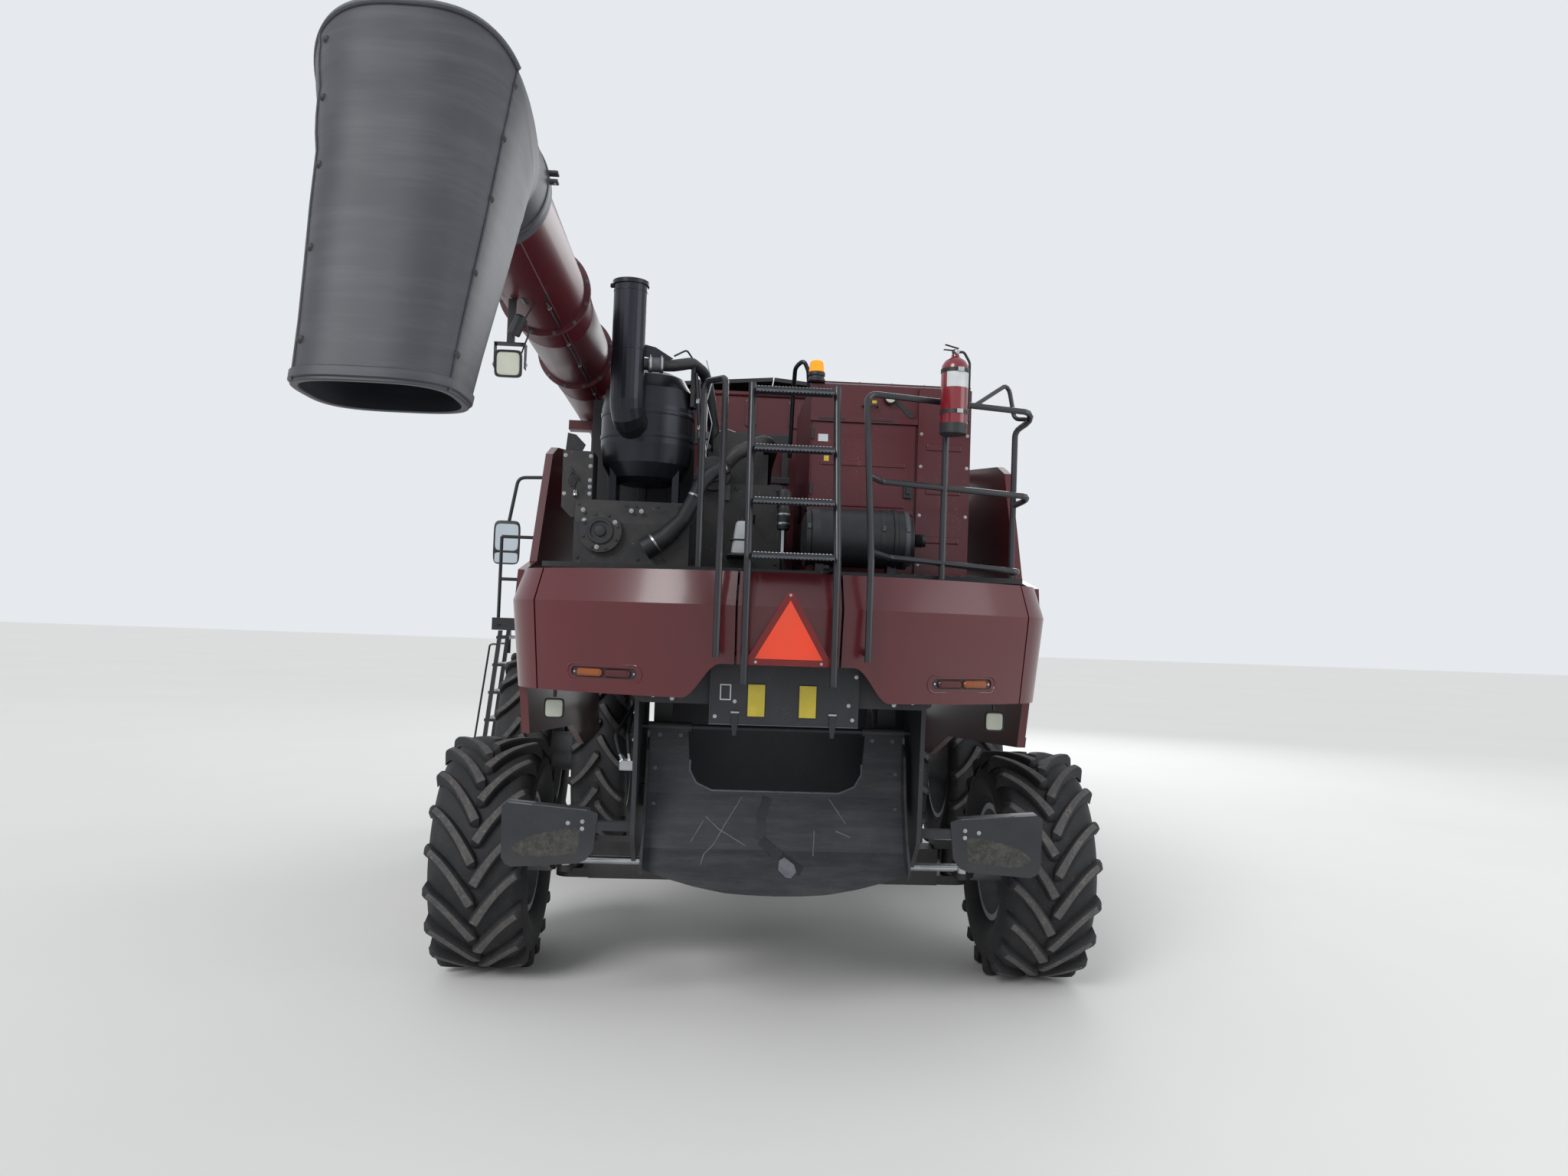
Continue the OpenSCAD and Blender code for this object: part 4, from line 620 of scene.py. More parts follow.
    @staticmethod
    def tube(finish: Optional[Finish], points: Sequence[Point], radius: float, bend: float = 0.08,
             sides: int = 3) -> Piece:
        """A round bar or hose along a path with rounded corners.

        Args:
            finish: Its finish, or None where it gets one later.
            points: Corner points of its middle line.
            radius: Its radius.
            bend: Radius of the bends.
            sides: Bevel resolution: 3 gives 16 facets.

        Returns:
            The mesh object, with closed ends.
        """
        curve = bpy.data.curves.new("tube", "CURVE")
        curve.dimensions = "3D"
        curve.bevel_depth = radius
        curve.bevel_resolution = sides
        curve.use_fill_caps = True
        path = Shop.rounded(points, bend)
        spline = curve.splines.new("POLY")
        spline.points.add(len(path) - 1)
        for point, co in zip(spline.points, path):
            point.co = (*co, 1.0)
        Shop.pick(Shop.link("tube", curve))
        bpy.ops.object.convert(target="MESH")
        return Shop.coat(Shop.smooth(bpy.context.object), finish)

    @staticmethod
    def plate(finish: Optional[Finish], outline: Sequence[Point], push: Point, edge: float = 0.002) -> Piece:
        """A flat plate with rounded edges.

        Args:
            finish: Its finish, or None where it gets one later.
            outline: Corner points of one face.
            push: Vector from that face to the other.
            edge: Width of the rounded edges.

        Returns:
            The mesh object.
        """
        obj = Shop.meshed("plate", [Vector(p) for p in outline], [], [list(range(len(outline)))])
        Shop.edit(obj, lambda: bpy.ops.mesh.extrude_region_move(TRANSFORM_OT_translate={"value": Vector(push)}),
                  Shop.outwards)
        if edge > 0:
            Shop.apply(obj, "BEVEL", width=edge, segments=2, limit_method="ANGLE", angle_limit=0.6)
        return Shop.coat(obj, finish)

    @staticmethod
    def lofted(finish: Optional[Finish], rings: Sequence[Sequence[Point]], caps: bool = True) -> Piece:
        """A skin bridged between rings of equally many points.

        Args:
            finish: Its finish, or None where it gets one later.
            rings: Closed rings of points, in order.
            caps: Whether both ends are closed.

        Returns:
            The mesh object, smooth by angle.
        """
        count = len(rings[0])
        points = [Vector(p) for ring in rings for p in ring]
        faces = [(r * count + k, r * count + (k + 1) % count, (r + 1) * count + (k + 1) % count, (r + 1) * count + k)
                 for r in range(len(rings) - 1) for k in range(count)]
        if caps:
            faces += [tuple(range(count)), tuple(range(len(points) - count, len(points)))]
        obj = Shop.meshed("lofted", points, [], faces)
        return Shop.coat(Shop.smooth(Shop.edit(obj, Shop.outwards)), finish)

    @staticmethod
    def outline(points: Sequence[Point], radius: float, finish: Finish) -> Piece:
        """A seal around an opening, given by its corners.

        Args:
            points: Corners, given from the rear axle.
            radius: Radius of the seal.
            finish: Its finish.

        Returns:
            The mesh object.
        """
        loop = list(points) + [points[0]]
        bars = [Shop.tube(None, [spot(*a), spot(*b)], radius, 0, 2) for a, b in zip(loop, loop[1:])]
        return Shop.coat(Shop.join(bars), finish)

    @staticmethod
    def softened(outline: Sequence[Point], bend: float) -> list[tuple[float, float]]:
        """An outline with rounded corners.

        Args:
            outline: Corner points.
            bend: Radius of the corners.

        Returns:
            Pairs of coordinates.
        """
        points = [Vector((p[0], p[1], 0)) for p in outline]
        count = len(points)
        made = []
        for i, corner in enumerate(points):
            u = (points[i - 1] - corner).normalized()
            v = (points[(i + 1) % count] - corner).normalized()
            start, end = corner + u * bend, corner + v * bend
            for k in range(6):
                t = k / 5
                p = start.lerp(corner, t).lerp(corner.lerp(end, t), t)
                made.append((p.x, p.y))
        return made

    @staticmethod
    def smooth(obj: Piece, degrees: float = 32) -> Piece:
        """Shades a mesh smooth up to that angle between faces.

        Args:
            obj: The object.
            degrees: The greatest angle that is shaded smooth.

        Returns:
            The mesh object.
        """
        Shop.pick(obj)
        bpy.ops.object.shade_smooth_by_angle(angle=math.radians(degrees))
        return obj

    @staticmethod
    def copy(obj: Piece, move: Matrix) -> Piece:
        """A copy with its own mesh, moved by a matrix; its faces stay outwards where that mirrors it.

        Args:
            obj: The object.
            move: The matrix.

        Returns:
            The mesh object.
        """
        twin = obj.copy()
        twin.data = obj.data.copy()
        twin.data.transform(move)
        if move.determinant() < 0:
            twin.data.flip_normals()
        bpy.context.scene.collection.objects.link(twin)
        return twin

    @staticmethod
    def copies(obj: Piece, moves: Iterable[Matrix]) -> Piece:
        """Copies of a modelled piece, which is used up, joined into one object: one for each matrix.

        Args:
            obj: The object.
            moves: One matrix for each copy.

        Returns:
            The mesh object.
        """
        made = [Shop.copy(obj, move) for move in moves]
        bpy.data.objects.remove(obj)
        return Shop.join(made)

    @staticmethod
    def join(parts: Sequence[Piece]) -> Piece:
        """Joins objects into one.

        Args:
            parts: The objects, the active one first.

        Returns:
            The mesh object.
        """
        Shop.pick(*parts)
        if len(parts) > 1:
            bpy.ops.object.join()
        return bpy.context.object

    @staticmethod
    def mirrored(obj: Piece) -> Piece:
        """A copy of a piece for the machine's other side."""
        return Shop.copy(obj, Matrix.Scale(-1, 4, RIGHT))

    @staticmethod
    def deliver(name: str, body: str, parts: Sequence[Piece], replaces: Sequence[str] = (),
                slot: Optional[str] = None) -> Piece:
        """Joins a piece's parts, names it and lets it ride on its body.

        Args:
            name: The piece's name.
            body: The CAD body that carries it.
            parts: Its parts, with their finishes.
            replaces: CAD nodes that it stands for.
            slot: The record's material slot, if it has one; not used.

        Returns:
            The finished piece.
        """
        obj = Shop.join(list(parts))
        obj.name = name
        obj.data.name = name
        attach(obj, body)
        if replaces:
            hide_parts(*replaces)
        LOG.info("%s: %d faces on %s", name, len(obj.data.polygons), body)
        return obj


def bolt_heads(places: Sequence[Point], axis: Point, size: float = 0.012, finish: Finish = ZINC) -> Piece:
    """Hexagon bolt heads on washers.

    Args:
        places: Their centres on the surface.
        axis: The direction they stand out in.
        size: Radius of a head.
        finish: Their finish.

    Returns:
        One joined object.
    """
    turn = Vector(UP).rotation_difference(Vector(axis).normalized()).to_matrix().to_4x4()
    rim, crown = size * 1.5, size * 0.9
    washer = Shop.turned(None, [(-0.002, 0), (-0.002, rim), (0.002, rim), (0.002, 0)], ORIGIN, UP, 16)
    head = Shop.turned(None, [(0.001, 0), (0.001, size), (size * 0.75, size), (crown, size * 0.8), (crown, 0)],
                       ORIGIN, UP, 6)
    bolt = Shop.coat(Shop.join([head, washer]), finish)
    return Shop.copies(bolt, [Matrix.Translation(Vector(p)) @ turn for p in places])


class Parts(list):
    """The parts of one piece, coated as they are laid in; each method takes what its namesake above takes."""

    def block(self, *args: object) -> None:
        """Adds a box with rounded edges."""
        self.append(Shop.block(*args))

    def turned(self, *args: object) -> None:
        """Adds a turned piece."""
        self.append(Shop.turned(*args))

    def tube(self, *args: object) -> None:
        """Adds a bar or hose."""
        self.append(Shop.tube(*args))

    def plate(self, *args: object) -> None:
        """Adds a flat plate."""
        self.append(Shop.plate(*args))

    def lofted(self, *args: object, **settings: object) -> None:
        """Adds a bridged skin."""
        self.append(Shop.lofted(*args, **settings))

    def bolts(self, *args: object) -> None:
        """Adds a set of bolt heads."""
        self.append(bolt_heads(*args))


class Dressing:
    """Finishes of the CAD nodes that stay."""

    FINISHES: dict[str, Finish] = {
        "main_frame": FRAME_BLACK, "front_axle": FRAME_BLACK, "rear_axle": FRAME_BLACK,
        "separator_body": HOUSING_DARK_AND_SHADE, "residue_hood": HOUSING_DARK_AND_SHADE, "engine": CAST_IRON, "exhaust": EXHAUST_DARK,
        "air_cleaner": MOULDED_BLACK, "cooling_box": SHEET_RED, "grain_tank": SHEET_RED, "tail_panels": PANEL_RED,
        "rear_lamps": LENS_AMBER, "rear_signs": SIGN_ORANGE, "deck_rails": RAIL_BLACK, "rear_ladder": RAIL_BLACK,
        "extinguisher": BOTTLE_RED, "cab_shell": SHEET_RED, "cab_glass": CAB_GLASS, "cab_roof": PANEL_RED,
        "cab_interior": TRIM_GREY, "mirrors": MOULDED_BLACK, "cab_platform": FRAME_BLACK,
        "front_tyres_left": TYRE_RUBBER, "front_tyres_right": TYRE_RUBBER, "front_rims_left": RIM_SILVER,
        "front_rims_right": RIM_SILVER, "rear_tyre_left": TYRE_RUBBER, "rear_tyre_right": TYRE_RUBBER,
        "rear_rim_left": RIM_SILVER, "rear_rim_right": RIM_SILVER, "knuckle_left": FRAME_BLACK,
        "knuckle_right": FRAME_BLACK, "tie_rod": BARE_STEEL, "unload_tube": SHEET_RED, "spout_boot": SPOUT_RUBBER,
        "feeder_house": SHEET_RED, "lift_barrels": SHEET_RED, "lift_rods": BARE_STEEL, "cab_door": CAB_GLASS,
        "cab_ladder": RAIL_BLACK, "side_panel_left": PANEL_RED, "side_panel_right": PANEL_RED,
        "tank_cover_left": MOULDED_BLACK, "tank_cover_right": MOULDED_BLACK, "residue_chute": CHUTE_RUBBER
    }

    def build(self) -> None:
        """Puts each finish into its node's material slots."""
        for name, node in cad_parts.items():
            material = self.FINISHES[name].build()
            for slot in node.material_slots:
                slot.material = material
            if not node.material_slots:
                node.data.materials.append(material)
        LOG.info("dressed %d CAD nodes", len(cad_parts))


class Slant(Enum):
    """Which way a tyre's lugs lean at the rear of the tread: joined at the top, or joined at the bottom."""

    ROOF = -1
    VEE = 1


@dataclass
class Tyre:
    """A tractor-lug tyre on the x axis: a moulded carcass and two rows of curved lugs.

    Attributes:
        radius: Outer radius over the lugs.
        width: Overall width.
        rim_radius: Radius of the bead seat.
        lugs: Lugs on each side.
        slant: Which way the lugs lean.
        lug_height: Height of a lug over the tread.
        lug_width: Width of a lug's face.
        slope: Slope of a lug at the middle of the tread.
        flatten: How much the slope falls towards the shoulder.
        steps: Facets around the carcass.
    """

    radius: float
    width: float
    rim_radius: float
    lugs: int
    slant: Slant
    lug_height: float = 0.045
    lug_width: float = 0.052
    slope: float = 1.73
    flatten: float = 0.6
    steps: int = 96

    # Shares of the width that the crown and the shoulder take up, and how far each of them drops in metres
    CROWN = 0.36
    CROWN_DROP = 0.006
    SHOULDER = 0.12
    SHOULDER_DROP = 0.064

    @property
    def tread(self) -> float:
        """Radius of the tread between the lugs."""
        return self.radius - self.lug_height

    def surface(self, x: float) -> float:
        """Radius of the carcass at a distance from its middle, down to the widest place.

        Args:
            x: Distance from the middle.

        Returns:
            The distance in metres.
        """
        share = abs(x) / self.width
        crown = self.tread - self.CROWN_DROP * (share / self.CROWN) ** 2
        if share <= self.CROWN:
            return crown
        return crown - self.SHOULDER_DROP * min(1.0, (share - self.CROWN) / self.SHOULDER) ** 1.7

    def carcass(self) -> Piece:
        """The moulded carcass with its bead, sidewall rings and crowned tread.

        Returns:
            The mesh object.
        """
        rim, tread, w = self.rim_radius, self.tread, self.width
        mid = (rim + tread) / 2
        side = [(0.375, rim + 0.001), (0.385, rim + 0.012), (0.385, rim + 0.03), (0.4, rim + 0.036),
                (0.425, rim + 0.05), (0.44, rim + 0.062), (0.436, rim + 0.07), (0.455, rim + 0.085),
                (0.48, mid - 0.05), (0.493, mid - 0.02), (0.499, mid), (0.499, mid + 0.03), (0.494, mid + 0.034),
                (0.494, mid + 0.05), (0.488, tread - 0.1)]
        side += [(s, self.surface(s * w)) for s in (0.48, 0.46, 0.43, 0.4, self.CROWN, 0.24, 0.12)]
        profile = [(s * w, r) for s, r in side] + [(0.0, self.surface(0.0))]
        profile += [(-s * w, r) for s, r in reversed(side)]
        profile.append(profile[0])
        return Shop.turned(TYRE_RUBBER, profile, ORIGIN, RIGHT, self.steps)

    def lug(self, side: int) -> Piece:
        """One lug: a bar that curves over the shoulder, with a rounded inner end and rounded edges.

        Args:
            side: -1 or 1 along x.

        Returns:
            The lug at the top of the tyre.
        """
        half = self.width / 2
        stations = 18
        rings = []
        for i in range(stations):
            t = i / (stations - 1)
            share = -0.035 + 1.033 * t
            x = half * share
            run = half * (self.slope * (share - 0.5) - self.flatten * (share * share - 0.25) + 0.05)
            along = Vector((1.0, self.slope - 2 * self.flatten * share, 0)).normalized()
            across = Vector((-along.y, along.x, 0))
            inner = min(1.0, t / 0.08)
            swell = math.sqrt(max(0.0, 1 - (1 - inner) ** 2))
            fall = max(0.0, (share - 0.84) / 0.16)
            base = self.surface(x) - 0.008
            top = self.radius - 0.004 * share ** 2 - 0.05 * fall ** 2.2
            top = base + (top - base) * (0.25 + 0.75 * swell)
            face = self.lug_width / 2 * (0.45 + 0.55 * swell) * (1 + 0.34 * max(0.0, 1 - share) ** 4)
            foot = face + 0.012
            section = [(-foot, base), (-face - 0.004, top - 0.016), (-face + 0.001, top - 0.005),
                       (-face + 0.008, top), (0.0, top + 0.001), (face - 0.008, top), (face - 0.001, top - 0.005),
                       (face + 0.004, top - 0.016), (foot, base)]
            ring = []
            for offset, radius in section:
                px = x + across.x * offset
                angle = (run + across.y * offset) / self.tread * self.slant.value
                px = max(min(px, half), -0.06 * half)
                ring.append((side * px, radius * math.sin(angle), radius * math.cos(angle)))
            rings.append(ring)
        obj = Shop.lofted(None, rings)
        obj.data.materials.append(TYRE_RUBBER.build())
        obj.data.materials.append(LUG_RUBBER.build())
        for face in obj.data.polygons:
            centre = Vector((0, face.center.y, face.center.z)).normalized()
            if face.normal.dot(centre) > 0.86:
                face.material_index = 1
        return obj

    def build(self) -> Piece:
        """The whole tyre on the x axis, centred on the origin.

        Returns:
            The mesh object.
        """
        parts = [self.carcass()]
        for side in (-1, 1):
            pitch = 2 * math.pi / self.lugs
            turns = [Matrix.Rotation(math.pi + pitch * (i + (side + 1) / 4), 4, "X") for i in range(self.lugs)]
            parts.append(Shop.copies(self.lug(side), turns))
        return Shop.join(parts)


class Wheels:
    """All tyres, and what the CAD rims carry: nuts, hub covers, valves."""

    FRONT = dict(radius=0.975, width=0.52, rim_radius=0.54, lugs=19, slant=Slant.ROOF)
    REAR = dict(radius=0.745, width=0.6, rim_radius=0.365, lugs=18, slant=Slant.VEE)
    DUALS = (1.43, 2.15)
    REAR_X = 1.785

    def build(self) -> None:
        """Makes the four tyre pieces and the trim of the rims."""
        front, rear = Tyre(**self.FRONT).build(), Tyre(**self.REAR).build()
        for name, side in (("left", -1), ("right", 1)):
            pair = [self.copy_at(front, side, (side * x, FRONT_AXLE_Y, self.FRONT["radius"])) for x in self.DUALS]
            Shop.deliver(f"front_tyres_{name}.moulded", f"front_wheels_{name}", pair,
                         replaces=[f"front_tyres_{name}"], slot="tyre")
            tyre = self.copy_at(rear, side, (side * self.REAR_X, REAR_AXLE_Y, self.REAR["radius"]))
            Shop.deliver(f"rear_tyre_{name}.moulded", f"rear_wheel_{name}", [tyre], replaces=[f"rear_tyre_{name}"],
                         slot="tyre")
            self.front_trim(name, side)
            self.rear_trim(name, side)
        for obj in (front, rear):
            bpy.data.objects.remove(obj)

    @staticmethod
    def copy_at(tyre: Piece, side: int, at: Point) -> Piece:
        """A copy of a tyre for one side, moved to its wheel."""
        return Shop.copy(tyre, Matrix.Translation(at) @ Matrix.Scale(side, 4, RIGHT))

    @staticmethod
    def circle(x: float, y: float, z: float, radius: float, count: int) -> list[Point]:
        """Evenly spaced points around a wheel's axis."""
        return [(x, y + radius * math.cos(a), z + radius * math.sin(a)) for a in angles(count)]

    def front_trim(self, name: str, side: int) -> None:
        """Nuts on both discs, the outer hub's cover and the valves of a front pair.

        Args:
            name: Name of the side.
            side: -1 for the left, 1 for the right.
        """
        z = self.FRONT["radius"]
        parts = Parts()
        for x in self.DUALS:
            parts.bolts(self.circle(side * (x + 0.0102), FRONT_AXLE_Y, z, 0.245, 12), (side, 0, 0), 0.017)
            parts.append(self.valve(side, x + 0.16, (FRONT_AXLE_Y, z), 0.51))
        end = self.DUALS[1] + 0.04
        cover = [(0.0, 0), (0.0, 0.186), (0.012, 0.186), (0.018, 0.178), (0.018, 0.13), (0.034, 0.122),
                 (0.052, 0.11), (0.058, 0.098), (0.058, 0)]
        parts.turned(RIM_SILVER, cover, (side * (end + 0.0205), FRONT_AXLE_Y, z), (side, 0, 0), 48)
        parts.bolts(self.circle(side * (end + 0.0385), FRONT_AXLE_Y, z, 0.155, 10), (side, 0, 0), 0.011)
        Shop.deliver(f"front_wheel_trim_{name}", f"front_wheels_{name}", parts)

    def rear_trim(self, name: str, side: int) -> None:
        """Nuts, a hub cap and the valve of a rear wheel.

        Args:
            name: Name of the side.
            side: -1 for the left, 1 for the right.
        """
        z = self.REAR["radius"]
        disc = self.REAR_X - 0.05
        parts = Parts()
        parts.bolts(self.circle(side * disc, REAR_AXLE_Y, z, 0.165, 10), (side, 0, 0), 0.014)
        cap = [(0.0, 0), (0.0, 0.118), (0.012, 0.118), (0.03, 0.1), (0.07, 0.094), (0.084, 0.08), (0.088, 0.03),
               (0.088, 0)]
        parts.turned(RIM_SILVER, cap, (side * disc, REAR_AXLE_Y, z), (side, 0, 0), 40)
        parts.append(self.valve(side, self.REAR_X + 0.19, (REAR_AXLE_Y, z), 0.335))
        Shop.deliver(f"rear_wheel_trim_{name}", f"rear_wheel_{name}", parts)

    @staticmethod
    def valve(side: int, x: float, centre: Point, radius: float) -> Piece:
        """A tyre valve that stands inwards from the rim's barrel.

        Args:
            side: -1 for the left, 1 for the right.
            x: Place of its foot across the machine.
            centre: The wheel's centre as (y, z).
            radius: Radius of the rim's barrel.

        Returns:
            The mesh object.
        """
        at = (side * x, centre[0], centre[1] + radius + 0.012)
        stem = [(0.0, 0), (0.0, 0.011), (0.01, 0.011), (0.012, 0.006), (0.045, 0.006), (0.045, 0.008),
                (0.06, 0.008), (0.06, 0)]
        return Shop.turned(ZINC, stem, at, (side * 0.35, 0, -1), 12)


@dataclass
class Spout:
    """The rubber spout on the tube's end: the hood itself, its seams with rivets, and the collar's clamp.

    Attributes:
        tube_x: Distance of the tube's axis to the left of the middle.
        tube_z: Its height.
        tube_d: Outer diameter of the tube.
        collar_y: Front lip of the collar behind the rear axle.
        back: Rear face behind the rear axle.
        width: Width of the hood at its crest.
        mouth_z: Height of the mouth.
        mouth_width: Width of the mouth.
        mouth_length: Its length along the machine.
        lean: Distance by which the back leans forward up to its crest.
        aside: Distance of the crest to the left of the tube.
        wall: Thickness of the rubber.
        sides: Points around a ring.
    """

    tube_x: float = 1.34
    tube_z: float = 4.0
    tube_d: float = 0.42
    collar_y: float = 3.05
    back: float = 4.4
    width: float = 0.69
    mouth_z: float = 2.93
    mouth_width: float = 0.476
    mouth_length: float = 0.47
    lean: float = 0.37
    aside: float = 0.088
    wall: float = 0.022
    sides: int = 96

    def __post_init__(self) -> None:
        """Works out the sections that the hood is lofted through."""
        drop = 0.3
        self.collar_r = (self.tube_d / 2 + 0.0003) / math.cos(math.pi / 32) + self.wall
        r = self.collar_r
        self.pivot = (-self.collar_y - 0.25, self.tube_z - drop)
        crest = (-self.back + self.lean, self.tube_z + r - 0.02)
        crest_a = math.degrees(math.atan2(self.pivot[0] - crest[0], crest[1] - self.pivot[1]))
        throat = drop - r

        def top(a: float) -> float:
            return (crest[1] - self.pivot[1]) / math.cos(math.radians(a))

        def rear(a: float) -> float:
            dy, dz = -math.sin(math.radians(a)), math.cos(math.radians(a))
            by, bz = -self.back - crest[0], self.mouth_z - crest[1]
            cy, cz = crest[0] - self.pivot[0], crest[1] - self.pivot[1]
            return (cy * bz - cz * by) / (dy * bz - dz * by)
        self.sections = [
            ((-self.collar_y, self.tube_z), 0, -r, r, r, 2, 0), (self.pivot, 0, throat, drop + r, r, 2, 0),
            (self.pivot, 18, throat, top(18), r + 0.028, 2.1, -0.3 * self.aside), (self.pivot, 36, throat, top(36),
            self.width / 2 - 0.036, 2.4, -0.65 * self.aside), (self.pivot, crest_a, throat, top(crest_a),
            self.width / 2, 2.8, -self.aside), (self.pivot, crest_a + 4, throat, rear(crest_a + 4),
            self.width / 2 - 0.003, 2.9, -self.aside), (self.pivot, 72, throat, rear(72), self.width / 2 - 0.024, 3,
            -0.9 * self.aside), (self.pivot, 90, throat, rear(90), self.width / 2 - 0.05, 3.2, -0.8 * self.aside),
            ((-self.back + self.mouth_length, self.mouth_z), 90, 0, self.mouth_length, self.mouth_width / 2, 3.2,
             -0.68 * self.aside)
        ]

    def between(self, i: int, t: float) -> tuple:
        """A section between two of the list.

        Args:
            i: Number of the first one.
            t: Share of the way to the next.

        Returns:
            A section in the same form.
        """
        a, b = self.sections[i], self.sections[i + 1]
        before, after = self.sections[max(i - 1, 0)], self.sections[min(i + 2, len(self.sections) - 1)]
        mixed = [x + (y - x) * t for x, y in zip(a[1:], b[1:])]
        for k in (4, 5, 6):
            if i > 0:
                mixed[k - 1] = self.eased(before[k], a[k], b[k], after[k], t)
        origin = tuple((x + (y - x) * t for x, y in zip(a[0], b[0])))
        return (origin, *mixed)

    @staticmethod
    def eased(p: float, a: float, b: float, q: float, t: float) -> float:
        """A smooth value between a and b, with its neighbours p and q."""
        return a + t / 2 * (b - p + t * (2 * p - 5 * a + 4 * b - q + t * (3 * (a - b) + q - p)))

    def point(self, section: tuple, angle: float, inset: float = 0.0) -> Vector:
        """A point on a section's ring.

        Args:
            section: Origin, angle, inner end, outer end, half width, roundness and sideways shift.
            angle: Place around the ring, in degrees: 0 is the machine's right, 90 the hood's back or top.
            inset: Distance inwards.

        Returns:
            The point in the frame.
        """
        origin, turn, inner, outer, half, roundness, shift = section
        c, d = math.cos(math.radians(angle)), math.sin(math.radians(angle))
        x = (half - inset) * signed(c, 2 / roundness)
        r = (inner + outer) / 2 + ((outer - inner) / 2 - inset) * signed(d, 2 / roundness)
        turn = math.radians(turn)
        return spot(-self.tube_x + shift + x, origin[0] - r * math.sin(turn), origin[1] + r * math.cos(turn))

    def rings(self, inset: float) -> list[list[Vector]]:
        """All rings of one skin, from the collar to the mouth.

        Args:
            inset: Distance inwards from the outer skin.

        Returns:
            One ring of points for each station.
        """
        stations = [self.between(i, t / 4) for i in range(len(self.sections) - 1) for t in range(4)]
        stations.append(self.sections[-1])
        return [[self.point(s, 360 * k / self.sides, inset) for k in range(self.sides)] for s in stations]

    def hood(self) -> Piece:
        """The rubber hood with its wall, open at both ends.

        Returns:
            The mesh object.
        """
        outer, inner = self.rings(0.0), self.rings(self.wall)
        ends = [[a + (b - a) * t for a, b in zip(outer[-1], inner[-1])] for t in (0.15, 0.5, 0.85)]
        for ring in ends:
            for p in ring:
                p.z -= 0.003
        skin = Shop.lofted(None, outer + ends + inner[::-1] + [outer[0]], caps=False)
        Shop.edit(skin, lambda: bpy.ops.mesh.remove_doubles(threshold=1e-5),
                  lambda: bpy.ops.mesh.normals_make_consistent(inside=False))
        Shop.smooth(skin, 50)
        return Shop.coat(skin, SPOUT_RUBBER)

    def seam(self, angle: float) -> list[Vector]:
        """Points of a seam from the crest down to the mouth, just outside the hood.

        Args:
            angle: Place around the ring, in degrees.

        Returns:
            The points in the frame.
        """
        stations = [self.between(i, t / 4) for i in range(4, len(self.sections) - 1) for t in range(4)]
        stations.append(self.sections[-1])
        return [self.point(s, angle, -0.001) for s in stations]

    def trim(self) -> list[Piece]:
        """Seam beads with rivets, the crest's bead with its worn rim, and the hem at the mouth.

        Returns:
            The parts, with their finishes.
        """
        parts = Parts()
        for seam, row in ((24, 24), (140, 131)):
            parts.tube(SPOUT_RUBBER, self.seam(seam), 0.005, 0.0, 2)
            path = self.seam(row)
            lengths = [0.0]
            for a, b in zip(path, path[1:]):
                lengths.append(lengths[-1] + (b - a).length)
            places = []
            for share in (0.06, 0.24, 0.43, 0.66, 0.9):
                want = share * lengths[-1]
                i = max((k for k in range(len(lengths) - 1) if lengths[k] <= want))
                t = (want - lengths[i]) / (lengths[i + 1] - lengths[i])
                places.append(path[i].lerp(path[i + 1], t))
            head = [(-0.002, 0), (-0.002, 0.013), (0.002, 0.0125), (0.006, 0.009), (0.008, 0.004), (0.008, 0)]
            rivet = Shop.turned(CAST_IRON, head, ORIGIN, (math.copysign(0.4, 90 - seam), -0.9, 0.1), 12)
            parts.append(Shop.copies(rivet, [Matrix.Translation(p) for p in places]))
        crest = [self.point(self.sections[4], a, -0.003) for a in range(24, 177, 4)]
        parts.tube(SPOUT_RUBBER, crest, 0.011, 0.0, 3)
        rim = [p + Vector((0, -0.006, 0.004)) for p in crest[2:-2]]
        parts.tube(WORN_EDGE, rim, 0.0065, 0.0, 2)
        hem = [[self.point(self.between(7, t), 360 * k / 72, inset) for k in range(72)]
               for t, inset in ((0.945, -0.001), (0.95, -0.007), (0.985, -0.007), (0.99, -0.001))]
        parts.lofted(SPOUT_RUBBER, hem, caps=False)
        return parts

    def clamp(self) -> list[Piece]:
        """The steel band around the collar with its bolted ears.

        Returns:
            The parts, with their finishes.
        """
        at = spot(-self.tube_x, -self.collar_y - 0.09, self.tube_z)
        r = self.collar_r
        band = [(-0.025, r - 0.001), (-0.025, r + 0.004), (-0.015, r + 0.006), (0.015, r + 0.006),
                (0.025, r + 0.004), (0.025, r - 0.001), (-0.025, r - 0.001)]
        parts = Parts()
        parts.turned(WORN_STEEL, band, at, FORE, 64)
        for angle in (8, 172):
            out = Vector((math.cos(math.radians(angle)), 0, math.sin(math.radians(angle))))
            foot = at + out * (r + 0.002)
            for z in (-0.02, 0.014):
                parts.block(WORN_STEEL, foot + Vector((-0.01, -0.022, z)), foot + out * 0.035
                            + Vector((0.004, 0.022, z + 0.007)))
            parts.bolts([foot + out * 0.022 + Vector((0, 0, 0.022))], UP, 0.008)
            parts.bolts([foot + out * 0.022 + Vector((0, 0, -0.021))], DOWN, 0.008)
        return parts

    def build(self) -> None:
        """Makes the hood and its trim."""
        Shop.deliver("spout_boot.hood", "unloader", [self.hood()], replaces=["spout_boot"], slot="spout_rubber")
        Shop.deliver("spout_seams", "unloader", self.trim(), slot="spout_rubber")
        Shop.deliver("spout_clamp", "unloader", self.clamp())


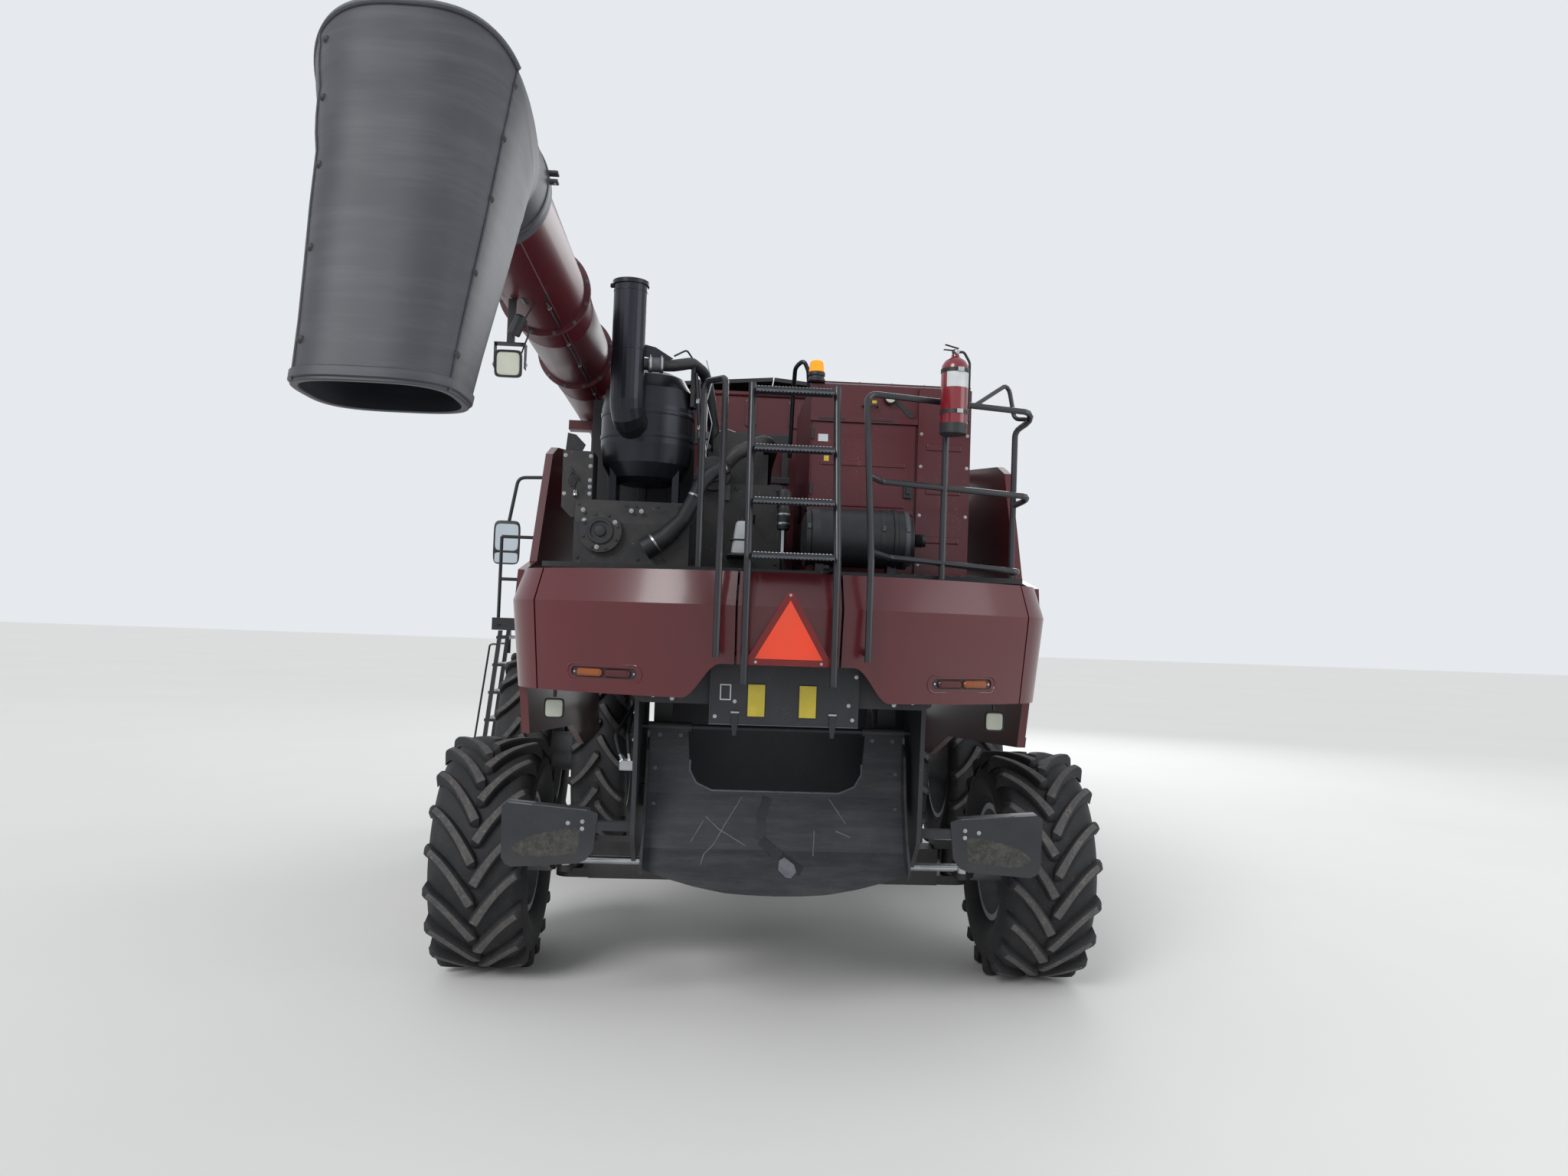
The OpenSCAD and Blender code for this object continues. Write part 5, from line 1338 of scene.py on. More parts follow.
@dataclass
class UnloadTube:
    """The unloading tube: rolled sheet steel with an elbow at its turret, bolted flanges and a work lamp.

    Attributes:
        x: Sideways place of its axis.
        z: Height of its axis.
        radius: Outer radius.
        turret: Place of the swing axis ahead of the rear axle.
        end: Place of its open end.
        wall: Thickness of the sheet.
    """

    x: float = -1.34
    z: float = 4.0
    radius: float = 0.21
    turret: float = 3.03
    end: float = -3.2
    wall: float = 0.012

    def build(self) -> None:
        """Makes the tube and what hangs on it."""
        Shop.deliver("unload_tube.shell", "unloader", self.shell() + self.elbow() + self.flanges(),
                     replaces=["unload_tube"], slot="red_paint")
        Shop.deliver("unload_tube_lamp", "unloader", self.lamp() + self.line())

    def shell(self) -> list[Piece]:
        """The tube with its rolled seams and its long weld.

        Returns:
            The parts, with their finishes.
        """
        length, r = self.turret - self.end, self.radius
        profile = [(0.0, 0.0), (0.0, r)]
        for seam in (1.75, 2.95, 4.4):
            profile += [(seam - 0.012, r), (seam - 0.006, r + 0.003), (seam + 0.006, r + 0.003), (seam + 0.012, r)]
        profile += [(length, r), (length, r - self.wall), (0.4, r - self.wall), (0.4, 0.0)]
        at = spot(self.x, self.turret, self.z)
        tube = Shop.turned(SHEET_RED, profile, at, AFT, 72)
        weld = [spot(self.x + r * 0.5, y, self.z - r * 0.867) for y in (self.turret - 0.3, -3.0)]
        return [tube, Shop.tube(SHEET_RED, weld, 0.004, 0.0, 1)]

    def elbow(self) -> list[Piece]:
        """The rounded elbow over the turret and its bolted base ring.

        Returns:
            The parts, with their finishes.
        """
        r, at = 0.23, spot(self.x, self.turret, self.z)
        ball = [(-r * math.cos(math.pi * k / 16), r * math.sin(math.pi * k / 16)) for k in range(17)]
        base = [(-0.269, 0), (-0.269, 0.225), (-0.245, 0.225), (-0.243, 0.221), (-0.11, 0.221), (-0.1, 0.218),
                (-0.02, 0.218), (0.0, 0.21), (0.0, 0)]
        ring = [at + Vector((0.205 * math.cos(a), 0.205 * math.sin(a), -0.243)) for a in angles(16)]
        arm = Shop.block(SHEET_RED, at + Vector((0.2, -0.12, -0.2)), at + Vector((0.224, 0.02, -0.1)), 0.006)
        return [Shop.turned(SHEET_RED, ball, at, FORE, 48), Shop.turned(SHEET_RED, base, at, UP, 56), arm,
                bolt_heads(ring, UP, 0.009, CAST_IRON)]

    def flanges(self) -> list[Piece]:
        """Pairs of flange rings with their bolts and nuts.

        Returns:
            The parts, with their finishes.
        """
        parts = Parts()
        r = self.radius
        for y in (2.6, -0.4, -1.7):
            at = spot(self.x, y, self.z)
            for start in (0.0, 0.0125):
                ring = [(start, r - 0.002), (start, r + 0.028), (start + 0.002, r + 0.03),
                        (start + 0.0095, r + 0.03), (start + 0.0115, r + 0.028), (start + 0.0115, r - 0.002),
                        (start, r - 0.002)]
                parts.turned(SHEET_RED, ring, at, AFT, 64)
            around = [Vector((math.cos(a), 0, math.sin(a))) * (r + 0.017) for a in angles(12, 0.5)]
            parts.bolts([at + p + Vector((0, -0.024, 0)) for p in around], AFT, 0.008, WORN_STEEL)
            parts.bolts([at + p for p in around], FORE, 0.008, WORN_STEEL)
        return parts

    def lamp(self) -> list[Piece]:
        """The work lamp under the tube on its folded bracket.

        Returns:
            The parts, with their finishes.
        """
        centre = spot(self.x - 0.06, -2.25, 3.4825)
        parts = Parts(WorkLamp(0.13, 0.1).parts(centre, Vector((0, -1, -0.12))))
        for side in (-1, 1):
            parts.plate(FRAME_BLACK, [centre + Vector((side * 0.069, y, z)) for y, z in ((-0.02, -0.02),
                    (0.025, -0.02), (0.03, 0.1), (-0.025, 0.1))], (side * 0.004, 0, 0), 0.001)
            parts.bolts([centre + Vector((side * 0.073, 0.0, 0.0))], (side, 0, 0), 0.009)
        parts.block(FRAME_BLACK, centre + Vector((-0.073, -0.03, 0.096)), centre + Vector((0.073, 0.035, 0.101)),
                    0.001)
        post = Shop.block(FRAME_BLACK, centre + Vector((-0.017, -0.017, 0.1)),
                          centre + Vector((0.017, 0.017, 0.312)), 0.003)
        saddle = Shop.plate(FRAME_BLACK,
                            [spot(self.x - 0.115 + 0.11 * k, -2.3,
                                  self.z - math.sqrt(0.2135 ** 2 - (-0.115 + 0.11 * k) ** 2)) for k in range(3)]
                            + [spot(self.x + 0.105 - 0.11 * k, -2.3,
                                    self.z - math.sqrt(0.2085 ** 2 - (0.105 - 0.11 * k) ** 2)) for k in range(3)],
                            (0, 0.1, 0), 0.0005)
        motor = [(0.0, 0), (0.0, 0.026), (0.006, 0.03), (0.09, 0.03), (0.096, 0.026), (0.1, 0.012), (0.1, 0)]
        body = Shop.turned(MOULDED_BLACK, motor, centre + Vector((0.02, -0.05, 0.13)), (0.35, -0.1, 0.8), 24)
        wire = [centre + Vector(p) for p in ((0.0, 0.05, 0.0), (0.03, 0.09, 0.06), (0.07, 0.06, 0.16),
                (0.06, 0.03, 0.24), (0.1, 0.03, 0.31))]
        parts += [post, saddle, body, Shop.tube(MOULDED_BLACK, wire, 0.004, 0.03, 1)]
        return parts

    def line(self) -> list[Piece]:
        """The lamp's cable along the tube, held by clips.

        Returns:
            The parts, with their finishes.
        """
        out = Vector((0.42, 0, -0.907)) * (self.radius + 0.006)
        path = [spot(self.x, y, self.z) + out for y in (2.5, -2.2)]
        parts = Parts()
        parts.tube(MOULDED_BLACK, path, 0.005, 0.0, 1)
        clip = Shop.turned(ZINC, [(-0.008, 0), (-0.008, 0.009), (0.008, 0.009), (0.008, 0)], ORIGIN, FORE, 12)
        moves = [Matrix.Translation(spot(self.x, y, self.z) + out) for y in (2.2, 1.4, 0.6, -0.1, -0.9, -1.4, -2.1)]
        parts.append(Shop.copies(clip, moves))
        return parts


class Signals:
    """What warns others: the slow-vehicle triangle, two blank plates, tail lamps, work lamps and beacon."""

    TAIL_Y = -1.83
    TAIL_R = 2.26
    LAMP_X = 0.99
    LAMP_Z = 2.01
    LAMP_FACE = 2.2213
    WORK_LAMP_X = 1.31

    def build(self) -> None:
        """Makes the signs and the lamps."""
        Shop.deliver("rear_signs.film", "chassis", self.triangle() + self.plates(), replaces=["rear_signs"],
                     slot="sign_orange")
        Shop.deliver("rear_lamps.lenses", "chassis", self.tail_lamps() + self.work_lamps() + self.beacon(),
                     replaces=["rear_lamps"], slot="lamp_lens")

    def triangle(self) -> list[Piece]:
        """An orange triangle on a dark-red border plate with cut corners.

        Returns:
            The parts, with their finishes.
        """
        back = self.TAIL_Y - 0.0004
        half, high, border, cut = 0.176, 0.305, 0.034, 0.03
        low = 2.12
        corners = [(-half, low), (half, low), (0.0, low + high)]
        centre = Vector((0, low + high / 3))
        inner = 2 * half * high / (2 * half + 2 * math.hypot(half, high))
        wide = [centre + (Vector(c) - centre) * (1 + border / inner) for c in corners]
        outline = []
        for i, corner in enumerate(wide):
            for other in (wide[i - 1], wide[(i + 1) % 3]):
                outline.append(corner + (other - corner).normalized() * cut)
        plate = Shop.plate(SIGN_RED, [spot(p[0], back, p[1]) for p in outline], (0, -0.003, 0), 0.0008)
        film = Shop.plate(SIGN_ORANGE, [spot(p[0], back - 0.003, p[1]) for p in corners], (0, -0.003, 0), 0.0006)
        screws = bolt_heads([spot(x, back - 0.003, z) for x, z in ((-0.17, 2.102), (0.17, 2.102), (0, 2.452))], AFT,
                            0.005)
        return [film, plate, screws]

    def plates(self) -> list[Piece]:
        """Two blank yellow plates with black edges.

        Returns:
            The parts, with their finishes.
        """
        parts = Parts()
        for x in (-0.15, 0.125):
            parts.block(MOULDED_BLACK, spot(x - 0.05, -1.603, 1.8), spot(x + 0.05, -1.6, 1.98), 0.001)
            parts.block(LABEL_YELLOW, spot(x - 0.045, -1.606, 1.805), spot(x + 0.045, -1.602, 1.975), 0.001)
        return parts

    def lamp_frame(self, side: int) -> Matrix:
        """The place of a tail lamp: x along the tail, y into the machine, z up.

        Args:
            side: -1 for the left, 1 for the right.

        Returns:
            The matrix.
        """
        turn = math.asin(self.LAMP_X / self.TAIL_R)
        at = Matrix.Translation(spot(0, self.TAIL_R + self.TAIL_Y, self.LAMP_Z))
        return at @ Matrix.Rotation(side * turn, 4, "Z") @ Matrix.Translation((0, -self.LAMP_FACE, 0))

    @staticmethod
    def stadium(x: float, length: float, high: float, depth: Sequence[float], crown: float = 0.0) -> Piece:
        """A bar with round ends.

        Args:
            x: Its middle.
            length: Its length along x.
            high: Its height.
            depth: Its rear and front face along y.
            crown: How much the rear face bulges.

        Returns:
            The mesh object.
        """
        rings = []
        for y, shrink in ((depth[1], 0.0), (depth[0] + crown, 0.0), (depth[0] + crown * 0.4, high * 0.12),
                          (depth[0], high * 0.3)):
            ring = []
            for a in angles(32):
                r = high / 2 - shrink
                ring.append((x + math.copysign(length / 2 - high / 2, math.cos(a)) + r * math.cos(a), y,
                             r * math.sin(a)))
            rings.append(ring)
        return Shop.lofted(None, rings)

    def tail_lamps(self) -> list[Piece]:
        """An amber and a red lens side by side in a black bezel, on each side.

        Returns:
            The parts, with their finishes.
        """
        parts = []
        for side in (-1, 1):
            frame_of = self.lamp_frame(side)
            pieces = Parts([Shop.coat(self.stadium(0.0, 0.392, 0.054, (-0.002, 0.0157)), MOULDED_BLACK)])
            for place, finish in ((-1, LENS_RED), (1, LENS_AMBER)):
                bar = self.stadium(side * place * 0.0862, 0.16, 0.042, (-0.024, -0.0015), 0.012)
                pieces.append(Shop.coat(bar, finish))
            for x in (-0.184, 0.184):
                pieces.bolts([(x, -0.002, 0)], AFT, 0.004)
            lamp = Shop.join(pieces)
            lamp.data.transform(frame_of @ Matrix.Translation((0, 0.016, 0)))
            parts.append(lamp)
        return parts

    def work_lamps(self) -> list[Piece]:
        """Square work lamps on stalks under the tail's corners.

        Returns:
            The parts, with their finishes.
        """
        parts = Parts()
        for side in (-1, 1):
            x = side * self.WORK_LAMP_X
            parts += WorkLamp(0.12, 0.08).parts(spot(x, -0.905, 1.765), Vector(AFT))
            parts.tube(RAIL_BLACK, [spot(x, -0.915, 1.83), spot(x, -0.915, 2.5797)], 0.01, 0.0, 2)
            parts.block(FRAME_BLACK, spot(x - 0.03, -0.945, 2.572), spot(x + 0.03, -0.885, 2.5797), 0.001)
        return parts

    def beacon(self) -> list[Piece]:
        """An amber beacon with a ribbed dome on a black base with a rubber skirt.

        Returns:
            The parts, with their finishes.
        """
        at = spot(0.18, -0.79, 3.8003)
        base = [(0.0, 0), (0.0, 0.055), (0.01, 0.055), (0.016, 0.05), (0.03, 0.047), (0.036, 0.052), (0.05, 0.053),
                (0.058, 0.05), (0.06, 0.046), (0.06, 0)]
        dome = [(0.058, 0), (0.058, 0.047)]
        for k in range(9):
            z = 0.064 + 0.0066 * k
            r = 0.0475 - 0.0055 * (k / 8)
            dome += [(z - 0.0026, r), (z, r + 0.0012), (z + 0.0026, r)]
        dome += [(0.127, 0.036), (0.132, 0.024), (0.1345, 0.01), (0.1345, 0)]
        core = [(0.058, 0), (0.058, 0.02), (0.1, 0.018), (0.104, 0)]
        return [Shop.turned(MOULDED_BLACK, base, at, UP, 40), Shop.turned(BEACON_AMBER, dome, at, UP, 40),
                Shop.turned(RIM_SILVER, core, at, UP, 16)]


@dataclass
class WorkLamp:
    """A square work lamp: a finned housing with a recessed lens, facing along a direction.

    Attributes:
        size: Width and height.
        depth: Depth of the housing.
    """

    size: float
    depth: float

    def parts(self, centre: Point, facing: Vector) -> list[Piece]:
        """The lamp's parts.

        Args:
            centre: Middle of the lamp.
            facing: Direction in which it shines.

        Returns:
            Objects with their finishes.
        """
        half, deep = self.size / 2, self.depth / 2
        rings = []
        for y, r in ((deep, half * 0.55), (deep * 0.55, half * 0.82), (-deep * 0.4, half * 0.96),
                     (-deep * 0.8, half), (-deep, half * 0.97), (-deep, half * 0.86), (-deep * 0.82, half * 0.84)):
            rings.append([(r * c, y, r * s) for c, s in self.square()])
        body = Shop.lofted(MOULDED_BLACK, rings)
        lens = [[(r * c, y, r * s) for c, s in self.square()] for y, r in ((-deep * 0.8, half * 0.83),
                (-deep * 0.9, half * 0.82), (-deep * 0.98, half * 0.6))]
        made = Parts([body, Shop.lofted(LENS_CLEAR, lens)])
        for k in range(5):
            x = (k - 2) * half * 0.3
            made.block(MOULDED_BLACK, (x - 0.002, deep * 0.5, -half * 0.6), (x + 0.002, deep * 1.12, half * 0.6),
                       0.0006, 1)
        lamp = Shop.join(made)
        turn = Vector(AFT).rotation_difference(facing.normalized()).to_matrix().to_4x4()
        lamp.data.transform(Matrix.Translation(centre) @ turn)
        return [lamp]

    @staticmethod
    def square() -> list[tuple[float, float]]:
        """Unit square with rounded corners, as directions around the lamp.

        Returns:
            Pairs of coordinates.
        """
        ring = []
        for a in angles(32, 0.5):
            c, s = math.cos(a), math.sin(a)
            ring.append((signed(c, 0.32), signed(s, 0.32)))
        return ring


class Ladder:
    """The rear ladder: two bent tube rails and four channel rungs with serrated, pierced treads."""

    HALF = 0.23
    FOOT_Y = -1.88
    KNEE_Z = 2.63
    LEAN = 0.3
    TOP = 3.6
    RUNGS = (2.65, 2.94, 3.23, 3.56)

    def build(self) -> None:
        """Makes the ladder."""
        parts = Parts()
        for side in (-1, 1):
            path = [spot(side * self.HALF, y, z) for y, z in ((self.FOOT_Y, 1.99), (self.FOOT_Y, self.KNEE_Z),
                    (self.FOOT_Y + self.LEAN, self.TOP))]
            parts.tube(RAIL_BLACK, path, 0.02, 0.09, 4)
            for z in (1.991, self.TOP - 0.001):
                y = self.FOOT_Y if z < 2 else self.FOOT_Y + self.LEAN
                cap = [(-0.004, 0), (-0.004, 0.0205), (0.004, 0.021), (0.006, 0.018), (0.006, 0)]
                parts.turned(MOULDED_BLACK, cap, spot(side * self.HALF, y, z), (0, 0, 1 if z > 2 else -1), 20)
            parts.block(RAIL_BLACK, spot(side * self.HALF - 0.015, self.FOOT_Y, 2.585),
                        spot(side * self.HALF + 0.015, -1.2903, 2.605), 0.002)
            parts.block(RAIL_BLACK, spot(side * self.HALF - 0.035, -1.2983, 2.583), spot(side * self.HALF + 0.035,
                    -1.2903, 2.608), 0.002)
        for z in self.RUNGS:
            parts += self.rung(z)
        Shop.deliver("rear_ladder.treads", "chassis", parts, replaces=["rear_ladder"], slot="rail_black")

    def rung(self, z: float) -> list[Piece]:
        """One rung: a channel with a row of raised teeth and pierced holes on its tread.

        Args:
            z: Height.

        Returns:
            The parts, with their finishes.
        """
        y = self.FOOT_Y + self.LEAN * (z - self.KNEE_Z) / (self.TOP - self.KNEE_Z)
        width = 2 * self.HALF - 0.036
        channel = Shop.plate(RAIL_BLACK, [(-width / 2, p, q) for p, q in ((-0.06, -0.012), (-0.054, -0.012),
                (-0.054, 0.006), (0.054, 0.006), (0.054, -0.012), (0.06, -0.012), (0.06, 0.0112), (-0.06, 0.0112))],
                (width, 0, 0), 0.001)
        tooth = Shop.turned(None, [(0.0, 0.0082), (0.003, 0.0078), (0.0052, 0.0062), (0.0052, 0.0042), (0.0, 0.004),
                                   (0.0, 0.0082)], (0, 0, 0.0105), UP, 10)
        rows = Shop.copies(tooth, [Matrix.Translation((-width / 2 + 0.014 + 0.0185 * k, row, 0)) for k in range(22)
                                   for row in (-0.042, -0.014, 0.014, 0.042)])
        edge = []
        steps = 44
        for k in range(steps + 1):
            x = -width / 2 + width * k / steps
            edge.append((x, -0.0605, -0.012 if k % 2 else -0.0195))
        lip = Shop.plate(WORN_STEEL, [(-width / 2, -0.0605, -0.004), (width / 2, -0.0605, -0.004)] + edge[::-1],
                         (0, 0.003, 0), 0.0)
        made = [channel, Shop.coat(rows, ZINC), lip]
        for obj in made:
            obj.data.transform(Matrix.Translation(spot(0, y, z)))
        return made


class EngineBay:
    """What is fitted around the engine: hoses, pipes, an intake duct, bolts, a filter, a bottle and clamp bands."""

    HOUSING_Y = -0.93
    COVER = (-1.08, 2.815)
    COVER_Y = -0.969
    CANISTER = (-0.851, -0.6)
    STACK = (-0.96, -0.94)
    FILTER = (-0.003, -0.985)

    def build(self) -> None:
        """Makes the fittings."""
        Shop.deliver("engine_hoses", "chassis", self.hoses() + self.duct() + self.pipes())
        Shop.deliver("engine_bolts", "chassis", self.bolts() + self.side_box())
        Shop.deliver("engine_fittings", "chassis", self.filter() + self.bottle())
        Shop.deliver("exhaust_fittings", "chassis", self.exhaust())

    @staticmethod
    def run(points: Sequence[Point], radius: float, finish: Finish, bend: float = 0.06, sides: int = 2) -> Piece:
        """A hose or pipe through points given from the rear axle."""
        return Shop.tube(finish, spots_of(points), radius, bend, sides)

    @staticmethod
    def clamp(centre: Point, axis: Point, radius: float) -> list[Piece]:
        """A worm-drive clamp around a hose.

        Args:
            centre: Its middle, given from the rear axle.
            axis: Direction of the hose.
            radius: Radius of the hose.

        Returns:
            The parts, with their finishes.
        """
        at = spot(*centre)
        band = [(-0.006, radius), (-0.006, radius + 0.0012), (0.006, radius + 0.0012), (0.006, radius)]
        ring = Shop.turned(ZINC, band + band[:1], at, axis, 28)
        axis = Vector(axis).normalized()
        out = axis.cross(Vector(RIGHT)).normalized()
        if out.y > 0:
            out = -out
        screw = Shop.turned(ZINC, [(-0.012, 0), (-0.012, 0.0045), (0.01, 0.0045), (0.012, 0.003), (0.012, 0)],
                            at + out * (radius + 0.004), axis.cross(out), 10)
        return [ring, screw]

    def hoses(self) -> list[Piece]:
        """The thick hose from the stack over the engine, with its coupling and clamps.

        Returns:
            The parts, with their finishes.
        """
        path = [(-0.87, -0.94, 3.824), (-0.707, -0.91, 3.826), (-0.587, -0.72, 3.895), (-0.505, -0.6, 3.86),
                (-0.47, -0.53, 3.71), (-0.443, -0.47, 3.55), (-0.418, -0.46, 3.3), (-0.41, -0.46, 3.17)]
        parts = Parts([self.run(path, 0.036, MOULDED_BLACK, 0.12, 4)])
        sleeve = [(0.0, 0.0), (0.0, 0.046), (0.004, 0.048), (0.02, 0.048), (0.024, 0.044), (0.066, 0.044),
                  (0.07, 0.048), (0.086, 0.048), (0.09, 0.046), (0.09, 0.0)]
        axis = (0.99, 0.12, 0.01)
        parts.turned(WORN_STEEL, sleeve, spot(-0.84, -0.938, 3.824), axis, 32)
        for x in (-0.828, -0.762):
            parts += self.clamp((x, -0.938 + (x + 0.84) * 0.12, 3.824), axis, 0.048)
        parts += self.clamp((-0.414, -0.46, 3.215), UP, 0.037)
        thin = [(-0.69, -0.86, 3.9), (-0.62, -0.78, 3.96), (-0.56, -0.66, 3.9), (-0.53, -0.6, 3.62),
                (-0.52, -0.56, 3.4), (-0.49, -0.52, 3.15)]
        parts.append(self.run(thin, 0.006, MOULDED_BLACK, 0.05, 1))
        loop = [(-0.5, -0.66, 3.14), (-0.49, -0.72, 3.3), (-0.45, -0.74, 3.52), (-0.49, -0.7, 3.66),
                (-0.46, -0.66, 3.8), (-0.5, -0.62, 3.94)]
        parts.append(self.run(loop, 0.0035, ZINC, 0.05, 1))
        return parts

    def duct(self) -> list[Piece]:
        """The boost-air duct in front of the engine block: a moulded pipe that widens at its lower end.

        Returns:
            The parts, with their finishes.
        """
        path = spots_of(((-0.82, -0.975, 2.715), (-0.7, -0.98, 2.79), (-0.6, -0.98, 2.9), (-0.545, -0.97, 3.01),
                         (-0.5, -0.95, 3.12), (-0.44, -0.93, 3.19), (-0.37, -0.92, 3.225)))
        path = Shop.rounded(path, 0.12, 4)
        lengths = [0.0]
        for a, b in zip(path, path[1:]):
            lengths.append(lengths[-1] + (b - a).length)
        rings = []
        for i, point in enumerate(path):
            ahead = (path[min(i + 1, len(path) - 1)] - path[max(i - 1, 0)]).normalized()
            side = ahead.cross(Vector(FORE)).normalized()
            t = lengths[i] / lengths[-1]
            r = 0.066 - 0.022 * min(1.0, t * 2.2)
            if 0.62 < t < 0.72:
                r += 0.004
            rings.append([point + side * (r * math.cos(a)) + Vector(FORE) * (r * 0.9 * math.sin(a))
                          for a in angles(24)])
        parts = Parts()
        parts.lofted(MOULDED_BLACK, rings)
        cap = [(0.0, 0), (0.0, 0.044), (0.004, 0.047), (0.03, 0.047), (0.034, 0.04), (0.034, 0)]
        parts.turned(BARE_STEEL, cap, path[-1], (0.9, -0.25, 0.35), 28)
        parts += self.clamp((-0.53, -0.965, 3.045), (0.35, 0.03, 0.93), 0.046)
        parts += self.clamp((-0.755, -0.978, 2.755), (0.8, 0, 0.6), 0.062)
        return parts

    def pipes(self) -> list[Piece]:
        """Fuel and oil pipes between the exhaust canister and the engine, with their fittings.

        Returns:
            The parts, with their finishes.
        """
        runs = [[(-0.56, -0.74, 3.83), (-0.545, -0.72, 3.66), (-0.53, -0.7, 3.5), (-0.52, -0.7, 3.3),
                 (-0.525, -0.68, 3.1)], [(-0.54, -0.7, 3.8), (-0.515, -0.68, 3.53), (-0.5, -0.68, 3.35),
                (-0.505, -0.665, 3.12)], [(-0.5, -0.69, 3.74), (-0.485, -0.69, 3.6), (-0.49, -0.68, 3.42),
                (-0.47, -0.66, 3.2)]]
        parts = Parts([self.run(path, r, finish, 0.04, 1) for path, r, finish in zip(runs, (0.011, 0.007, 0.005),
                (MOULDED_BLACK, WORN_STEEL, ZINC))])
        nut = Shop.turned(ZINC, [(-0.014, 0), (-0.014, 0.012), (0.014, 0.012), (0.014, 0)], ORIGIN, UP, 6)
        spots = [(-0.545, -0.72, 3.66), (-0.53, -0.7, 3.5), (-0.515, -0.68, 3.53), (-0.5, -0.68, 3.35),
                 (-0.49, -0.68, 3.42), (-0.525, -0.685, 3.16), (-0.505, -0.67, 3.18)]
        parts.append(Shop.copies(nut, [Matrix.Translation(spot(*p)) for p in spots]))
        parts.block(WORN_STEEL, spot(-0.535, -0.72, 3.43), spot(-0.465, -0.655, 3.475), 0.006)
        parts.plate(FRAME_BLACK, [spot(-0.59, -0.74, z) for z in (3.9, 3.62)] + [spot(-0.565, -0.74, z)
                for z in (3.62, 3.9)], (0, 0.09, 0), 0.002)
        return parts

    def bolts(self) -> list[Piece]:
        """Bolts on the gear housing, its round cover and the engine block.

        Returns:
            The parts, with their finishes.
        """
        housing = [(-1.215, 2.975), (-1.215, 2.66), (-0.936, 2.975), (-0.877, 2.975), (-0.75, 2.975),
                   (-0.62, 2.975), (-0.62, 2.8), (-0.86, 2.66), (-0.7, 2.66)]
        around = [(self.COVER[0] + 0.105 * math.cos(a), self.COVER[1] + 0.105 * math.sin(a)) for a in angles(8, 0.4)]
        bright = [(-1.176, 2.875, self.COVER_Y), (-0.996, 2.869, self.COVER_Y), (-1.098, 2.72, self.COVER_Y),
                  (-0.906, 2.945, self.HOUSING_Y), (-0.847, 2.945, self.HOUSING_Y), (-1.19, 2.94, self.HOUSING_Y)]
        parts = Parts()
        parts.bolts([spot(x, self.HOUSING_Y, z) for x, z in housing], AFT, 0.009, CAST_IRON)
        parts.bolts([spot(x, self.COVER_Y, z) for x, z in around], AFT, 0.009, CAST_IRON)
        parts.bolts([spot(x, y, z) for x, z, y in bright], AFT, 0.009)
        rib = [(0.0, 0.06), (0.0, 0.075), (0.006, 0.077), (0.012, 0.074), (0.012, 0.06), (0.0, 0.06)]
        parts.turned(HOUSING_DARK_AND_SHADE, rib, spot(self.COVER[0], self.COVER_Y, self.COVER[1]), AFT, 40)
        hub = [(0.0, 0), (0.0, 0.034), (0.014, 0.03), (0.016, 0.02), (0.016, 0)]
        parts.turned(HOUSING_DARK_AND_SHADE, hub, spot(self.COVER[0], self.COVER_Y, self.COVER[1]), AFT, 28)
        block = [(x, z) for x in (-0.53, -0.28, -0.03) for z in (2.68, 3.14)]
        parts.bolts([spot(x, -0.64, z) for x, z in block], AFT, 0.011, CAST_IRON)
        return parts

    def side_box(self) -> list[Piece]:
        """Bolts, a bent bracket, a cable coil and its plug on the box above the gear housing.

        Returns:
            The parts, with their finishes.
        """
        box = [(-1.165, 3.27), (-1.165, 3.21), (-1.165, 3.125), (-1.165, 3.085), (-1.165, 3.045), (-1.315, 3.27),
               (-1.315, 3.04)]
        parts = Parts()
        parts.bolts([spot(x, -0.86, z) for x, z in box], AFT, 0.008)
        parts.plate(FRAME_BLACK, [spot(x, -0.84, z) for x, z in ((-1.32, 3.299), (-1.22, 3.299), (-1.2, 3.34),
                (-1.26, 3.4), (-1.31, 3.41))], (0, 0.003, 0), 0.0008)
        coil = [(-1.28, -0.875, 3.2)]
        for k in range(22):
            a = 2 * math.pi * k / 10
            coil.append((-1.262 + 0.03 * math.cos(a), -0.872 - 0.0035 * k, 3.12 + 0.04 * math.sin(a)))
        coil.append((-1.25, -0.875, 3.03))
        parts.append(self.run(coil, 0.0038, MOULDED_BLACK, 0.01, 1))
        plug = [(0.0, 0), (0.0, 0.011), (0.02, 0.011), (0.022, 0.014), (0.034, 0.014), (0.036, 0.009), (0.036, 0)]
        parts.turned(ZINC, plug, spot(-1.25, -0.869, 3.06), (0.1, -0.2, -1), 14)
        return parts

